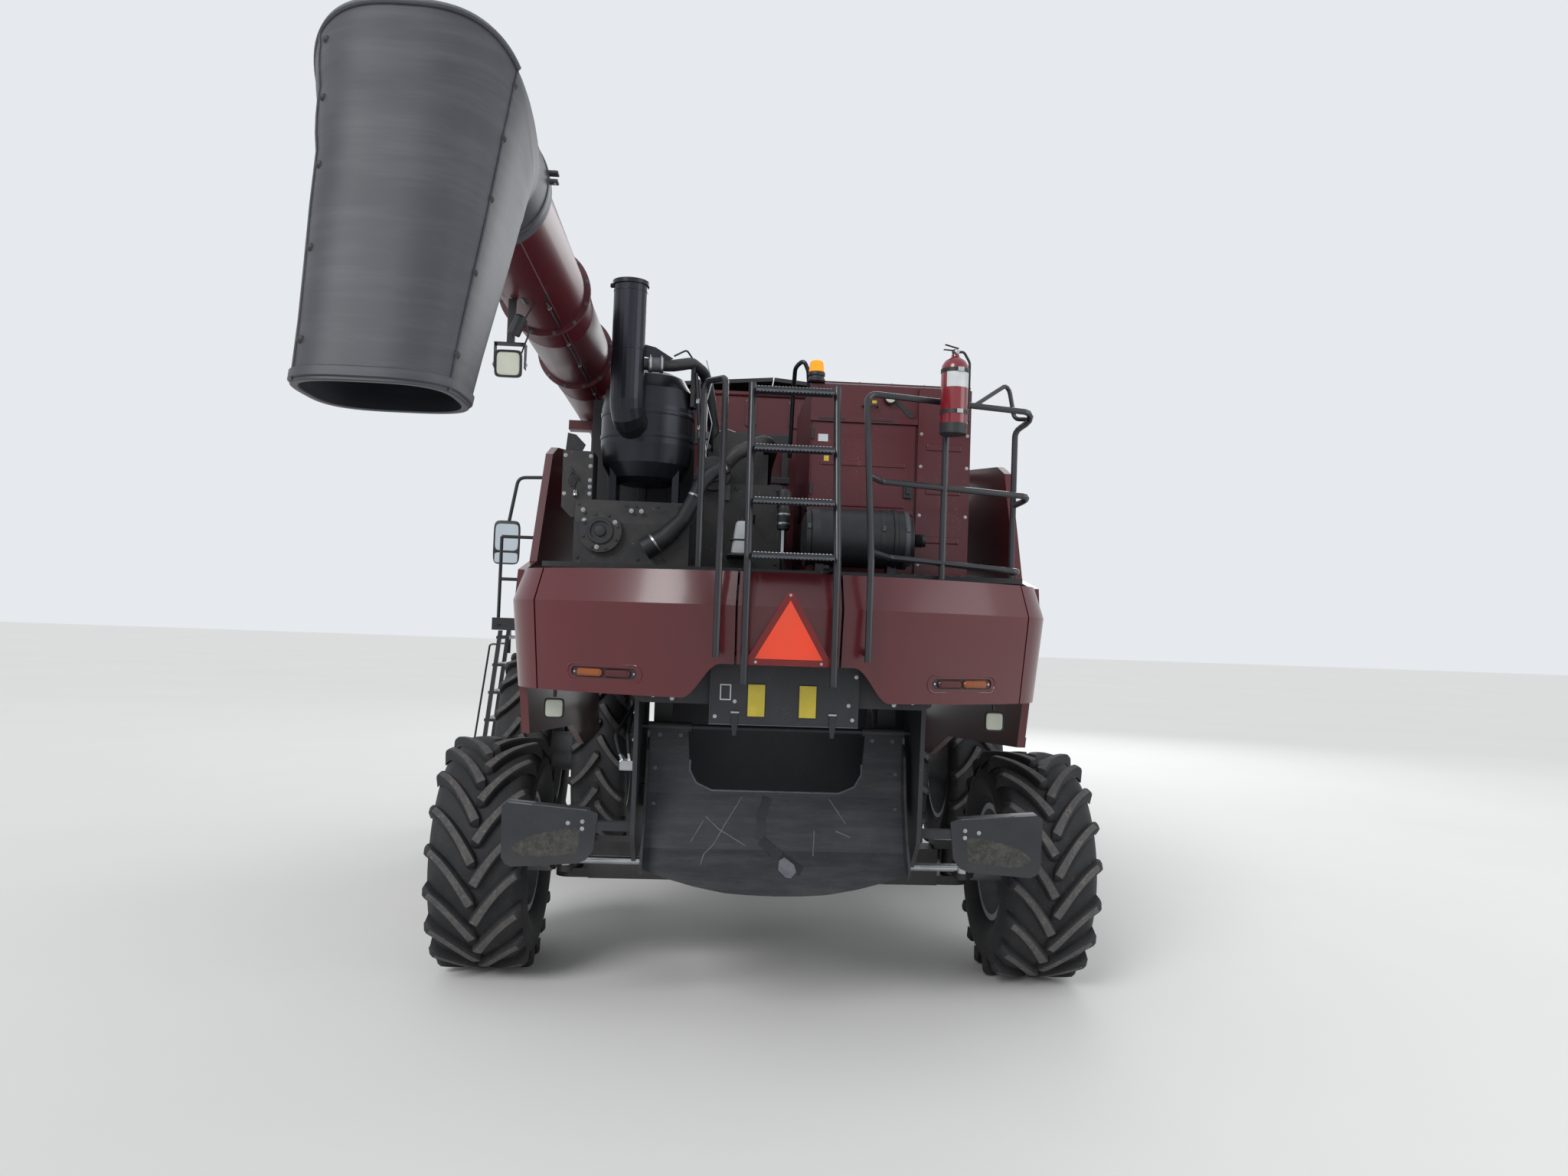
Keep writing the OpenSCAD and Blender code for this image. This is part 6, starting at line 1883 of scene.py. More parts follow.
    def filter(self) -> list[Piece]:
        """A spin-on filter under a domed head, with a bright pipe below it.

        Returns:
            The parts, with their finishes.
        """
        at = spot(*self.FILTER, 2.86)
        can = [(0.0, 0), (0.0, 0.03), (0.006, 0.036), (0.012, 0.038), (0.128, 0.038), (0.134, 0.034), (0.15, 0.033),
               (0.154, 0.04), (0.176, 0.04), (0.18, 0.045), (0.215, 0.045), (0.232, 0.04), (0.243, 0.026),
               (0.247, 0.0)]
        parts = Parts()
        parts.turned(MOULDED_BLACK, can, at, UP, 36)
        pipe = [(*self.FILTER, 2.862), (*self.FILTER, 2.78), (*self.FILTER, 2.7), (0.01, -0.93, 2.64)]
        parts.append(self.run(pipe, 0.014, BARE_STEEL, 0.04, 3))
        parts += self.clamp((*self.FILTER, 2.9), UP, 0.038)
        parts += self.clamp((*self.FILTER, 2.955), UP, 0.038)
        parts.block(CAST_IRON, spot(-0.03, -0.95, 3.03), spot(0.024, -0.63, 3.05), 0.004)
        parts.append(self.run([(0.035, -0.985, 3.045), (0.09, -0.97, 3.05), (0.11, -0.8, 3.0), (0.11, -0.66, 2.94)],
                              0.011, MOULDED_BLACK, 0.05, 2))
        return parts

    def bottle(self) -> list[Piece]:
        """A white coolant bottle in a strap, slanting beside the ladder, with its cap and hose.

        Returns:
            The parts, with their finishes.
        """
        rings = []
        for t, w, d in ((0.0, 0.8, 0.8), (0.03, 0.97, 0.96), (0.08, 1, 1), (0.45, 1, 1), (0.5, 0.97, 0.97),
                        (0.55, 1, 1), (0.9, 0.98, 1), (0.97, 0.86, 0.94), (1.0, 0.6, 0.7)):
            x, z, half = -0.262 + 0.014 * t, 2.712 + 0.195 * t, 0.047 - 0.011 * t
            ring = []
            for a in angles(24, 0.5):
                c, s = math.cos(a), math.sin(a)
                ring.append(spot(x + half * w * signed(c, 0.5), -0.955 + 0.04 * d * signed(s, 0.5), z))
            rings.append(ring)
        parts = Parts()
        parts.lofted(LABEL_WHITE, rings)
        cap = [(0.0, 0), (0.0, 0.017), (0.004, 0.019), (0.018, 0.019), (0.021, 0.016), (0.021, 0)]
        parts.turned(MOULDED_BLACK, cap, spot(-0.248, -0.955, 2.903), (0.1, 0, 1), 20)
        parts.block(FRAME_BLACK, spot(-0.315, -1.0, 2.79), spot(-0.19, -0.91, 2.8), 0.003)
        parts.block(FRAME_BLACK, spot(-0.33, -1.01, 2.6995), spot(-0.18, -0.64, 2.7095), 0.002)
        parts.append(self.run([(-0.235, -0.955, 2.895), (-0.19, -0.94, 2.94), (-0.17, -0.8, 2.96),
                               (-0.17, -0.64, 2.93)], 0.006, MOULDED_BLACK, 0.04, 1))
        return parts

    def exhaust(self) -> list[Piece]:
        """Clamp bands, seams and lugs of the exhaust canister and the stack, and its heat shield.

        Returns:
            The parts, with their finishes.
        """
        parts = Parts()
        for z in (3.42, 3.56):
            band = [(-0.014, 0.2845), (-0.014, 0.2885), (-0.01, 0.29), (0.01, 0.29), (0.014, 0.2885),
                    (0.014, 0.2845), (-0.014, 0.2845)]
            parts.turned(EXHAUST_DARK, band, spot(*self.CANISTER, z), UP, 72)
            for a in (250, 70):
                turn = math.radians(a)
                at = spot(self.CANISTER[0] + 0.3 * math.cos(turn), self.CANISTER[1] + 0.3 * math.sin(turn), z)
                across = (-math.sin(turn), math.cos(turn), 0)
                bolt = [(-0.03, 0), (-0.03, 0.008), (-0.022, 0.008), (-0.022, 0.004), (0.024, 0.004),
                        (0.024, 0.008), (0.031, 0.008), (0.031, 0)]
                parts.turned(ZINC, bolt, at, across, 12)
        pin = spot(-1.06, -0.94, 4.285)
        parts.turned(EXHAUST_DARK, [(-0.006, 0), (-0.006, 0.014), (0.018, 0.014), (0.022, 0.01), (0.022, 0)], pin,
                     LEFT, 16)
        seam = [(-0.005, 0.0995), (-0.004, 0.1015), (0.004, 0.1015), (0.005, 0.0995), (-0.005, 0.0995)]
        for z in (3.9, 4.25):
            parts.turned(EXHAUST_DARK, seam, spot(*self.STACK, z), UP, 48)
        wedge = [spot(x, -0.93, z) for x, z in (
            (-0.864, 3.944), (-0.8, 3.93), (-0.692, 3.866), (-0.73, 3.85), (-0.864, 3.87))]
        parts.plate(EXHAUST_DARK, wedge, (0, 0.003, 0), 0.0008)
        parts.plate(FRAME_BLACK, [spot(x, -0.7, z) for x, z in ((-0.58, 3.62), (-0.55, 3.62), (-0.55, 3.7),
                (-0.59, 3.72))], (0, 0.06, 0), 0.002)
        return parts


class CoolingSide:
    """Details of the cooling box, the air cleaner and the deck's rear: latches, labels, slots and a ribbed hose."""

    FACE = -0.8

    def build(self) -> None:
        """Makes the details."""
        Shop.deliver("cooling_box_fittings", "chassis", self.door() + self.column() + self.top())
        Shop.deliver("air_cleaner_fittings", "chassis", self.cleaner())

    def door(self) -> list[Piece]:
        """Hinges, latch, blank labels and pressed ribs on the radiator door.

        Returns:
            The parts, with their finishes.
        """
        y = self.FACE - 0.0145
        parts = Parts()
        for z in (3.05, 3.3):
            parts.block(SHEET_RED, spot(0.22, y - 0.006, z - 0.012), spot(0.74, y + 0.002, z + 0.012), 0.004)
        knuckle = [(-0.035, 0), (-0.035, 0.009), (-0.012, 0.009), (-0.012, 0.0082), (-0.01, 0.0082), (-0.01, 0.009),
                   (0.035, 0.009), (0.035, 0)]
        for z in (2.78, 3.14, 3.48):
            parts.turned(FRAME_BLACK, knuckle, spot(0.165, y - 0.004, z), UP, 14)
        parts.block(MOULDED_BLACK, spot(0.735, y - 0.018, 3.1), spot(0.785, y + 0.001, 3.2), 0.006)
        parts.block(MOULDED_BLACK, spot(0.747, y - 0.03, 3.125), spot(0.773, y - 0.016, 3.17), 0.004)
        for x, z, w, h, finish in ((0.131, 3.454, 0.06, 0.045, LABEL_WHITE),
                                   (0.17, 3.328, 0.03, 0.034, LABEL_YELLOW)):
            label = Shop.block(None, spot(x + 0.07, y - 0.001, z - h / 2), spot(x + 0.07 + w, y + 0.0005,
                    z + h / 2), 0.0003, 1)
            parts.append(Shop.coat(label, finish))
        return parts

    def column(self) -> list[Piece]:
        """Bolts and ribs on the box's column and its ledge.

        Returns:
            The parts, with their finishes.
        """
        parts = Parts()
        parts.bolts([spot(x, self.FACE - 0.03, z) for x in (0.835, 1.12) for z in (2.7, 3.0, 3.3, 3.5)], AFT, 0.007)
        for z in (2.85, 3.15, 3.42):
            parts.block(SHEET_RED, spot(0.87, self.FACE - 0.036, z - 0.02), spot(1.085, self.FACE - 0.028,
                    z + 0.02), 0.006)
        parts.block(MOULDED_BLACK, spot(0.2, self.FACE - 0.031, 3.567), spot(0.36, self.FACE - 0.0275, 3.578),
                    0.0015)
        parts.block(MOULDED_BLACK, spot(0.52, self.FACE - 0.031, 3.567), spot(0.66, self.FACE - 0.0275, 3.578),
                    0.0015)
        return parts

    def top(self) -> list[Piece]:
        """Handle, round lamp, stay, blank label and the bent pipe beside the beacon.

        Returns:
            The parts, with their finishes.
        """
        y = self.FACE
        parts = Parts([EngineBay.run([(0.47, y + 0.002, 3.66), (0.47, y - 0.04, 3.66), (0.56, y - 0.04, 3.66),
                                      (0.56, y + 0.002, 3.66)], 0.006, FRAME_BLACK, 0.02, 2)])
        lens = [(0.0, 0), (0.0, 0.034), (0.02, 0.038), (0.04, 0.038), (0.044, 0.035), (0.04, 0.033), (0.046, 0.02),
                (0.048, 0)]
        parts.turned(MOULDED_BLACK, lens, spot(0.635, y, 3.713), AFT, 32)
        front = [(0.0, 0), (0.0, 0.031), (0.005, 0.028), (0.008, 0.016), (0.009, 0)]
        parts.turned(LENS_CLEAR, front, spot(0.635, y - 0.041, 3.713), AFT, 28)
        parts.plate(FRAME_BLACK, [spot(x, y - 0.002, z) for x, z in ((0.66, 3.7), (0.7, 3.7), (0.79, 3.62),
                (0.79, 3.6), (0.76, 3.6))], (0, -0.003, 0), 0.0008)
        parts.block(LABEL_YELLOW, spot(0.528, y - 0.0012, 3.682), spot(0.556, y + 0.0005, 3.7), 0.0003, 1)
        pipe = [(0.06, -0.3, 3.4), (0.06, -0.45, 3.78), (0.06, -0.6, 3.93), (0.11, -0.64, 3.97), (0.14, -0.64, 3.9),
                (0.15, -0.62, 3.8)]
        parts.append(EngineBay.run(pipe, 0.014, EXHAUST_DARK, 0.08, 3))
        rim = [spot(x, y_, 3.8) for x, y_ in ((0.16, -0.794), (1.134, -0.794), (1.134, 0.494), (0.16, 0.494))]
        for a, b in zip(rim, rim[1:] + rim[:1]):
            low = Vector((min(a.x, b.x) - 0.006, min(a.y, b.y) - 0.006, 3.7985))
            high = Vector((max(a.x, b.x) + 0.006, max(a.y, b.y) + 0.006, 3.808))
            parts.block(SHEET_RED, low, high, 0.003)
        parts.bolts([spot(0.25 + 0.2 * k, -0.79, 3.808) for k in range(5) if k != 0], UP, 0.006)
        return parts

    def cleaner(self) -> list[Piece]:
        """Bands, end cap ribs, clips and the ribbed dust valve of the air cleaner.

        Returns:
            The parts, with their finishes.
        """
        parts = Parts()
        for x in (0.13, 0.56, 0.7):
            band = [(-0.012, 0.1695), (-0.012, 0.1725), (0.012, 0.1725), (0.012, 0.1695), (-0.012, 0.1695)]
            finish = WORN_STEEL if x == 0.7 else FRAME_BLACK
            parts.turned(finish, band, spot(x, -1.09, 2.82), RIGHT, 56)
            parts.block(WORN_STEEL, spot(x - 0.01, -1.27, 2.855), spot(x + 0.01, -1.256, 2.885), 0.003)
        cap = []
        for k in range(4):
            r = 0.06 + 0.028 * k
            cap.append(Shop.turned(None, [(0.0, r), (0.0, r + 0.008), (0.005, r + 0.006), (0.005, r + 0.002),
                                          (0.0, r)], spot(0.735, -1.09, 2.82), RIGHT, 40))
        parts.append(Shop.coat(Shop.join(cap), MOULDED_BLACK))
        bellows = [(0.0, 0.0), (0.0, 0.038)]
        for k in range(7):
            bellows += [(0.006 + 0.012 * k, 0.041), (0.011 + 0.012 * k, 0.033)]
        bellows += [(0.095, 0.036), (0.1, 0.036), (0.1, 0.0)]
        parts.turned(MOULDED_BLACK, bellows, spot(0.725, -1.1, 2.82), RIGHT, 32)
        valve = [(0.0, 0), (0.0, 0.03), (0.02, 0.03), (0.03, 0.022), (0.06, 0.02), (0.075, 0.012), (0.075, 0)]
        parts.turned(MOULDED_BLACK, valve, spot(0.24, -1.12, 2.655), DOWN, 24)
        return parts


class Extinguisher:
    """The fire extinguisher on the deck rail: a red bottle with a blank label, valve, hose and black foot."""

    X = 0.862
    RADIUS = 0.076
    OUT = 0.1163
    LABEL = (3.635, 3.735)
    # The rail that carries it: its start, and how far it runs sideways and forwards
    RAIL_FROM = (0.405, -1.5)
    RAIL_RUN = (1.045, 0.23)

    def build(self) -> None:
        """Makes the extinguisher in its bracket."""
        slope = math.atan2(self.RAIL_RUN[1], self.RAIL_RUN[0])
        rail_y = self.RAIL_FROM[1] + (self.X - self.RAIL_FROM[0]) * math.tan(slope)
        self.outward = Vector((math.sin(slope), -math.cos(slope), 0))
        self.at = spot(self.X, rail_y, 0) + self.outward * self.OUT
        Shop.deliver("extinguisher.bottle", "chassis", self.bottle() + self.valve() + self.bracket(),
                     replaces=["extinguisher"], slot="extinguisher_red")

    def bottle(self) -> list[Piece]:
        """The bottle with its domed shoulder, black foot and wrapped label.

        Returns:
            The parts, with their finishes.
        """
        r = self.RADIUS
        body = [(3.43, 0), (3.43, r - 0.006), (3.434, r - 0.001), (3.44, r), (3.74, r), (3.76, r - 0.003),
                (3.785, r - 0.016), (3.803, r - 0.038), (3.812, 0.024), (3.824, 0.021), (3.824, 0)]
        foot = [(3.3805, 0), (3.3805, r - 0.003), (3.384, r), (3.438, r), (3.441, r - 0.004), (3.441, 0)]
        parts = Parts()
        parts.turned(BOTTLE_RED, body, self.at, UP, 48)
        parts.turned(MOULDED_BLACK, foot, self.at, UP, 48)
        base = math.atan2(self.outward.y, self.outward.x)
        (low, high), inner, outer = self.LABEL, r - 0.0004, r + 0.0007
        label = []
        for turn in (base - 1.0 + 0.1 * k for k in range(21)):
            out = Vector((math.cos(turn), math.sin(turn), 0))
            label.append([self.at + out * radius + Vector((0, 0, z)) for radius, z in (
                (inner, low), (inner, high), (outer, high), (outer, low))])
        parts.lofted(LABEL_WHITE, label)
        return parts

    def valve(self) -> list[Piece]:
        """The dull metal valve, its two black levers, a gauge and the hose.

        Returns:
            The parts, with their finishes.
        """
        top = self.at + Vector((0, 0, 3.82))
        along = Vector((self.outward.y, -self.outward.x, 0))
        parts = Parts()
        parts.turned(WORN_STEEL, [(0.0, 0), (0.0, 0.016), (0.012, 0.016), (0.014, 0.02), (0.03, 0.02),
                                  (0.034, 0.014), (0.036, 0)], top, UP, 20)
        for low, far, rise in ((0.026, 0.07, 0.0), (0.04, 0.062, 0.014)):
            start, end = top + along * -0.018 + Vector((0, 0, low)), top + along * far + Vector((0, 0, low + rise))
            side = self.outward * 0.009
            parts.plate(MOULDED_BLACK, [start - side, start + side, end + side, end - side], (0, 0, 0.004), 0.0012)
        parts.turned(ZINC, [(0.0, 0), (0.0, 0.013), (0.01, 0.013), (0.012, 0.01), (0.012, 0)],
                     top + Vector((0, 0, 0.018)) + self.outward * 0.016, self.outward, 20)
        side = -along
        hose = [top + side * 0.014 + Vector((0, 0, 0.02)), top + side * 0.05 + Vector((0, 0, 0.028)),
                top + side * 0.088 + Vector((0, 0, -0.03)), top + side * 0.088 + Vector((0, 0, -0.24)),
                top + side * 0.084 + Vector((0, 0, -0.3))]
        parts.tube(MOULDED_BLACK, hose, 0.0075, 0.05, 2)
        parts.turned(MOULDED_BLACK, [(0.0, 0), (0.0, 0.009), (0.06, 0.013), (0.062, 0.01), (0.05, 0.008),
                                     (0.05, 0)], hose[-1], DOWN, 16)
        return parts

    def bracket(self) -> list[Piece]:
        """The back plate, its shelf and two straps with their buckles.

        Returns:
            The parts, with their finishes.
        """
        along = Vector((self.outward.y, -self.outward.x, 0))
        parts = Parts()
        back = self.at - self.outward * (self.RADIUS + 0.002)
        corners = [back + along * (s * 0.03) + Vector((0, 0, z)) for s, z in ((-1, 3.38), (1, 3.38), (1, 3.8),
                (-1, 3.8))]
        parts.plate(FRAME_BLACK, corners, -self.outward * 0.003, 0.0008)
        for z in (3.5, 3.73):
            r = self.RADIUS
            strap = [(-0.011, r - 0.0003), (-0.011, r + 0.002), (0.011, r + 0.002), (0.011, r - 0.0003),
                     (-0.011, r - 0.0003)]
            parts.turned(FRAME_BLACK, strap, self.at + Vector((0, 0, z)), UP, 48)
            buckle = self.at + self.outward * (self.RADIUS + 0.001) + Vector((0, 0, z))
            parts.plate(ZINC, [buckle + along * (s * 0.018) + Vector((0, 0, h)) for s, h in ((-1, -0.012),
                    (1, -0.012), (1, 0.012), (-1, 0.012))], self.outward * 0.008, 0.002)
            parts.block(FRAME_BLACK, back + Vector((-0.02, -0.02, z - 0.012)),
                        back + Vector((0.02, 0.035, z + 0.012)), 0.002)
        return parts


class Cab:
    """The cab's inside and fittings: seat, console, steering wheel, seals, wiper, lamps, mirrors and handles."""

    HALF = 0.9
    FLOOR = 2.29
    ROOF = 3.7
    BACK = 3.48
    FRONT = 5.18
    NOSE_Y = 5.31
    NOSE_Z = 3.1
    GLASS_TOP = 3.62
    GLASS_BACK = 3.6
    GLASS_FRONT = 5.06
    BRIM_Y = 5.44
    MIRROR_X = 2.95

    def build(self) -> None:
        """Makes the cab's pieces."""
        Shop.deliver("cab_interior.seat", "chassis", self.seat() + self.console() + self.steering(),
                     replaces=["cab_interior"], slot="trim_grey")
        Shop.deliver("cab_seals", "chassis", self.seals() + self.wiper())
        Shop.deliver("cab_roof_fittings", "chassis", self.roof())
        Shop.deliver("mirrors.glass", "chassis", self.mirrors(), replaces=["mirrors"], slot="moulded_black")
        Shop.deliver("cab_door_fittings", "cab_door", self.door())
        Shop.deliver("cab_handles", "chassis", self.handles())
        Shop.deliver("platform_treads", "chassis", self.platform())
        Shop.deliver("cab_ladder_treads", "cab_ladder", self.ladder())

    @staticmethod
    def cushion(low: Point, high: Point, channels: int) -> list[Piece]:
        """A padded cushion of crowned channels side by side, drawn in at their seams.

        Args:
            low: Lowest corner.
            high: Highest corner.
            channels: How many channels it has along x.

        Returns:
            The channels and the piping between them.
        """
        low, high = spot(*low), spot(*high)
        width = (high.x - low.x) / channels
        middle = (low + high) / 2
        half_y, half_z = (high.y - low.y) / 2, (high.z - low.z) / 2
        parts = Parts()
        for k in range(channels):
            rings = []
            for step in range(15):
                t = -1 + step / 7
                shrink = 1 - 0.16 * t ** 4 - (0.3 if abs(t) > 0.99 else 0.0)
                x = low.x + (k + 0.5) * width + t * width * 0.498
                ring = []
                for turn in angles(28):
                    c, d = math.cos(turn), math.sin(turn)
                    crown = 1 + 0.05 * (1 - (x - middle.x) ** 2 / (high.x - low.x) ** 2 * 4)
                    ring.append((x, middle.y + half_y * shrink * signed(c, 0.45), middle.z + half_z * shrink * crown
                                 * signed(d, 0.45)))
                rings.append(ring)
            parts.append(Shop.coat(Shop.smooth(Shop.lofted(None, rings), 70), TRIM_GREY))
            if k:
                x = low.x + k * width
                piping = [(x, middle.y + half_y * 0.88 * c, middle.z + half_z * 0.88 * d) for c, d in ((-1, -0.8),
                        (-1, 0.8), (-0.8, 1), (0.8, 1), (1, 0.8), (1, -0.8), (0.8, -1), (-0.8, -1), (-1, -0.8))]
                parts.tube(MOULDED_BLACK, piping, 0.004, 0.01, 1)
        return parts

    def seat(self) -> list[Piece]:
        """The driver's seat on its suspension: cushion, backrest, headrest and armrests.

        Returns:
            The parts, with their finishes.
        """
        z = self.FLOOR
        parts = Parts(self.cushion((-0.25, 3.91, z + 0.33), (0.25, 4.38, z + 0.45), 3))
        parts += self.cushion((-0.25, 3.81, z + 0.42), (0.25, 3.93, z + 1.0), 3)
        parts += self.cushion((-0.14, 3.825, z + 0.985), (0.14, 3.915, z + 1.15), 1)
        foot = [spot(x, y, z) for x, y in ((-0.21, 3.93), (0.21, 3.93), (0.21, 4.36), (-0.21, 4.36))]
        rings = []
        for k in range(9):
            grow = 0.02 if k % 2 else -0.012
            rings.append([p + Vector((math.copysign(grow, p.x), math.copysign(grow, p.y - spot(0, 4.145, 0).y),
                                      0.004 + 0.04 * k)) for p in foot])
        parts.lofted(MOULDED_BLACK, rings)
        for side in (-1, 1):
            pad = Shop.block(None, spot(side * 0.29 - 0.035, 3.95, z + 0.6), spot(side * 0.29 + 0.035, 4.27,
                    z + 0.66), 0.02, 3)
            arm = Shop.block(FRAME_BLACK, spot(side * 0.27 - 0.012, 3.87, z + 0.5), spot(side * 0.27 + 0.012, 3.97,
                    z + 0.62), 0.006)
            parts += [Shop.coat(Shop.smooth(pad, 60), MOULDED_BLACK), arm]
        return parts

    def console(self) -> list[Piece]:
        """The right-hand console with its drive lever, buttons and screen.

        Returns:
            The parts, with their finishes.
        """
        z = self.FLOOR
        side = [(3.98, z), (4.68, z), (4.68, z + 0.52), (4.6, z + 0.6), (4.1, z + 0.65), (3.98, z + 0.6)]
        parts = Parts()
        parts.plate(TRIM_GREY, [spot(0.33, y, h) for y, h in side], (0.23, 0, 0), 0.02)
        keys = Shop.block(MOULDED_BLACK, (-0.011, -0.011, -0.002), (0.011, 0.011, 0.007), 0.003)
        moves = [Matrix.Translation(spot(0.4 + 0.04 * i, 4.17 + 0.04 * j, z + 0.648 - 0.004 * j)) for i in range(4)
                 for j in range(4)]
        parts.append(Shop.copies(keys, moves))
        lever = [(0.0, 0), (0.0, 0.03), (0.02, 0.024), (0.03, 0.009), (0.1, 0.009), (0.105, 0.022), (0.15, 0.028),
                 (0.19, 0.022), (0.2, 0.0)]
        parts.turned(MOULDED_BLACK, lever, spot(0.44, 4.44, z + 0.62), (0, 0.2, 1), 24)
        parts.block(MOULDED_BLACK, spot(0.42, 4.62, z + 0.72), spot(0.7, 4.65, z + 0.92), 0.01)
        parts.block(CAB_GLASS, spot(0.435, 4.6185, z + 0.735), spot(0.685, 4.6205, z + 0.905), 0.0008, 1)
        parts.tube(FRAME_BLACK, [spot(0.5, 4.64, z + 0.5), spot(0.53, 4.64, z + 0.75)], 0.014, 0.0, 2)
        return parts

    def steering(self) -> list[Piece]:
        """Steering column, wheel, pedals and floor mat.

        Returns:
            The parts, with their finishes.
        """
        z = self.FLOOR
        column = Shop.tube(None, [spot(0, 4.785, z), spot(0, 4.76, z + 0.3), spot(0, 4.68, z + 0.7)], 0.036, 0.1, 3)
        hub = spot(0, 4.675, z + 0.722)
        axis = Vector((0, -0.3, 0.954)).normalized()
        rim = []
        for k in range(13):
            a = 2 * math.pi * k / 12
            rim.append((0.014 * math.sin(a), 0.178 + 0.014 * math.cos(a)))
        wheel = Shop.turned(None, rim, hub, axis, 48)
        boss = Shop.turned(None, [(-0.03, 0), (-0.03, 0.035), (0.012, 0.05), (0.022, 0.04), (0.026, 0.0)], hub,
                           axis, 28)
        parts = Parts([Shop.coat(o, MOULDED_BLACK) for o in (column, wheel, boss)])
        across = axis.cross(Vector(RIGHT))
        for a in (0.35, math.pi - 0.35, -math.pi / 2):
            out = Vector(RIGHT) * math.cos(a) + across * math.sin(a)
            parts.tube(WORN_STEEL, [hub + out * 0.03, hub + out * 0.175], 0.009, 0, 2)
        for x in (-0.28, 0.2, 0.32):
            parts.plate(MOULDED_BLACK, [spot(x + a, 4.93 + b, z + c) for a, b, c in ((-0.04, 0, 0.05),
                    (0.04, 0, 0.05), (0.04, 0.07, 0.16), (-0.04, 0.07, 0.16))], (0, 0.012, -0.006), 0.003)
            parts.tube(FRAME_BLACK, [spot(x, 4.98, z + 0.1), spot(x, 5.06, z + 0.02)], 0.01, 0, 1)
        parts.block(MOULDED_BLACK, spot(-0.8, 3.58, z + 0.0005), spot(0.8, 5.06, z + 0.012), 0.004)
        return parts

    def seals(self) -> list[Piece]:
        """Rubber seals of the windows and the strip under the roof.

        Returns:
            The parts, with their finishes.
        """
        x = self.HALF
        screen = [(-0.84, 5.19, 2.43), (-0.84, self.NOSE_Y, self.NOSE_Z), (-0.84, 5.165, self.GLASS_TOP),
                  (0.84, 5.165, self.GLASS_TOP), (0.84, self.NOSE_Y, self.NOSE_Z), (0.84, 5.19, 2.43)]
        back, front, top = self.GLASS_BACK, self.GLASS_FRONT, self.GLASS_TOP
        right = [(x, back, 2.7), (x, front, 2.7), (x, front, top), (x, back, top)]
        left = [(-x, back, 2.9), (-x, 4.18, 2.9), (-x, 4.18, top), (-x, back, top)]
        rear = [(side, self.BACK, z) for side, z in ((-0.62, 2.95), (0.62, 2.95), (0.62, 3.6), (-0.62, 3.6))]
        parts = [Shop.outline(points, 0.009, MOULDED_BLACK) for points in (screen, right, left, rear)]
        edge, back, front = x + 0.004, self.BACK - 0.004, 5.164
        roof = [(x, y, 3.695) for x, y in ((-edge, back), (edge, back), (edge, front), (-edge, front))]
        parts.append(Shop.outline(roof, 0.008, MOULDED_BLACK))
        return parts

    def wiper(self) -> list[Piece]:
        """The windscreen wiper with its motor under the roof's brim.

        Returns:
            The parts, with their finishes.
        """
        motor = Shop.turned(None, [(0, 0), (0, 0.03), (0.03, 0.03), (0.036, 0.02), (0.036, 0)],
                            spot(0, 5.185, 3.655), FORE, 24)
        arm = Shop.tube(None, [spot(0, 5.23, 3.65), spot(0.05, 5.3, 3.5), spot(0.32, 5.345, 3.12)], 0.007, 0.05, 2)
        blade = Shop.tube(None, [spot(0.13, 5.268, 3.4), spot(0.33, 5.33, 3.12), spot(0.47, 5.294, 2.83)], 0.006,
                          0.3, 2)
        yoke = Shop.tube(None, [spot(0.2, 5.305, 3.3), spot(0.32, 5.345, 3.12), spot(0.42, 5.315, 2.95)], 0.005,
                         0.2, 1)
        return [Shop.coat(o, MOULDED_BLACK) for o in (motor, arm, blade, yoke)]

    def roof(self) -> list[Piece]:
        """Work lamps in the brim and at the back, a slatted ventilation hatch and an aerial.

        Returns:
            The parts, with their finishes.
        """
        parts = Parts()
        for x in (-0.78, -0.56, -0.34, 0.34, 0.56, 0.78):
            parts += WorkLamp(0.1, 0.06).parts(spot(x, self.BRIM_Y + 0.012, 3.765), Vector(FORE))
        for x in (-0.78, 0.78):
            parts += WorkLamp(0.1, 0.06).parts(spot(x, 3.42, 3.79), Vector(AFT))
        parts.block(PANEL_RED, spot(-0.42, 3.85, 3.9495), spot(0.42, 4.85, 3.99), 0.018, 3)
        for k in range(7):
            parts.block(MOULDED_BLACK, spot(-0.33, 3.98 + 0.115 * k, 3.989), spot(0.33, 4.02 + 0.115 * k, 3.997),
                        0.003)
        parts.tube(MOULDED_BLACK, [spot(0.7, 3.7, 3.94), spot(0.7, 3.66, 4.4)], 0.003, 0, 1)
        parts.turned(MOULDED_BLACK, [(0, 0), (0, 0.02), (0.02, 0.012), (0.03, 0.006), (0.03, 0)],
                     spot(0.7, 3.7, 3.94), UP, 20)
        return parts

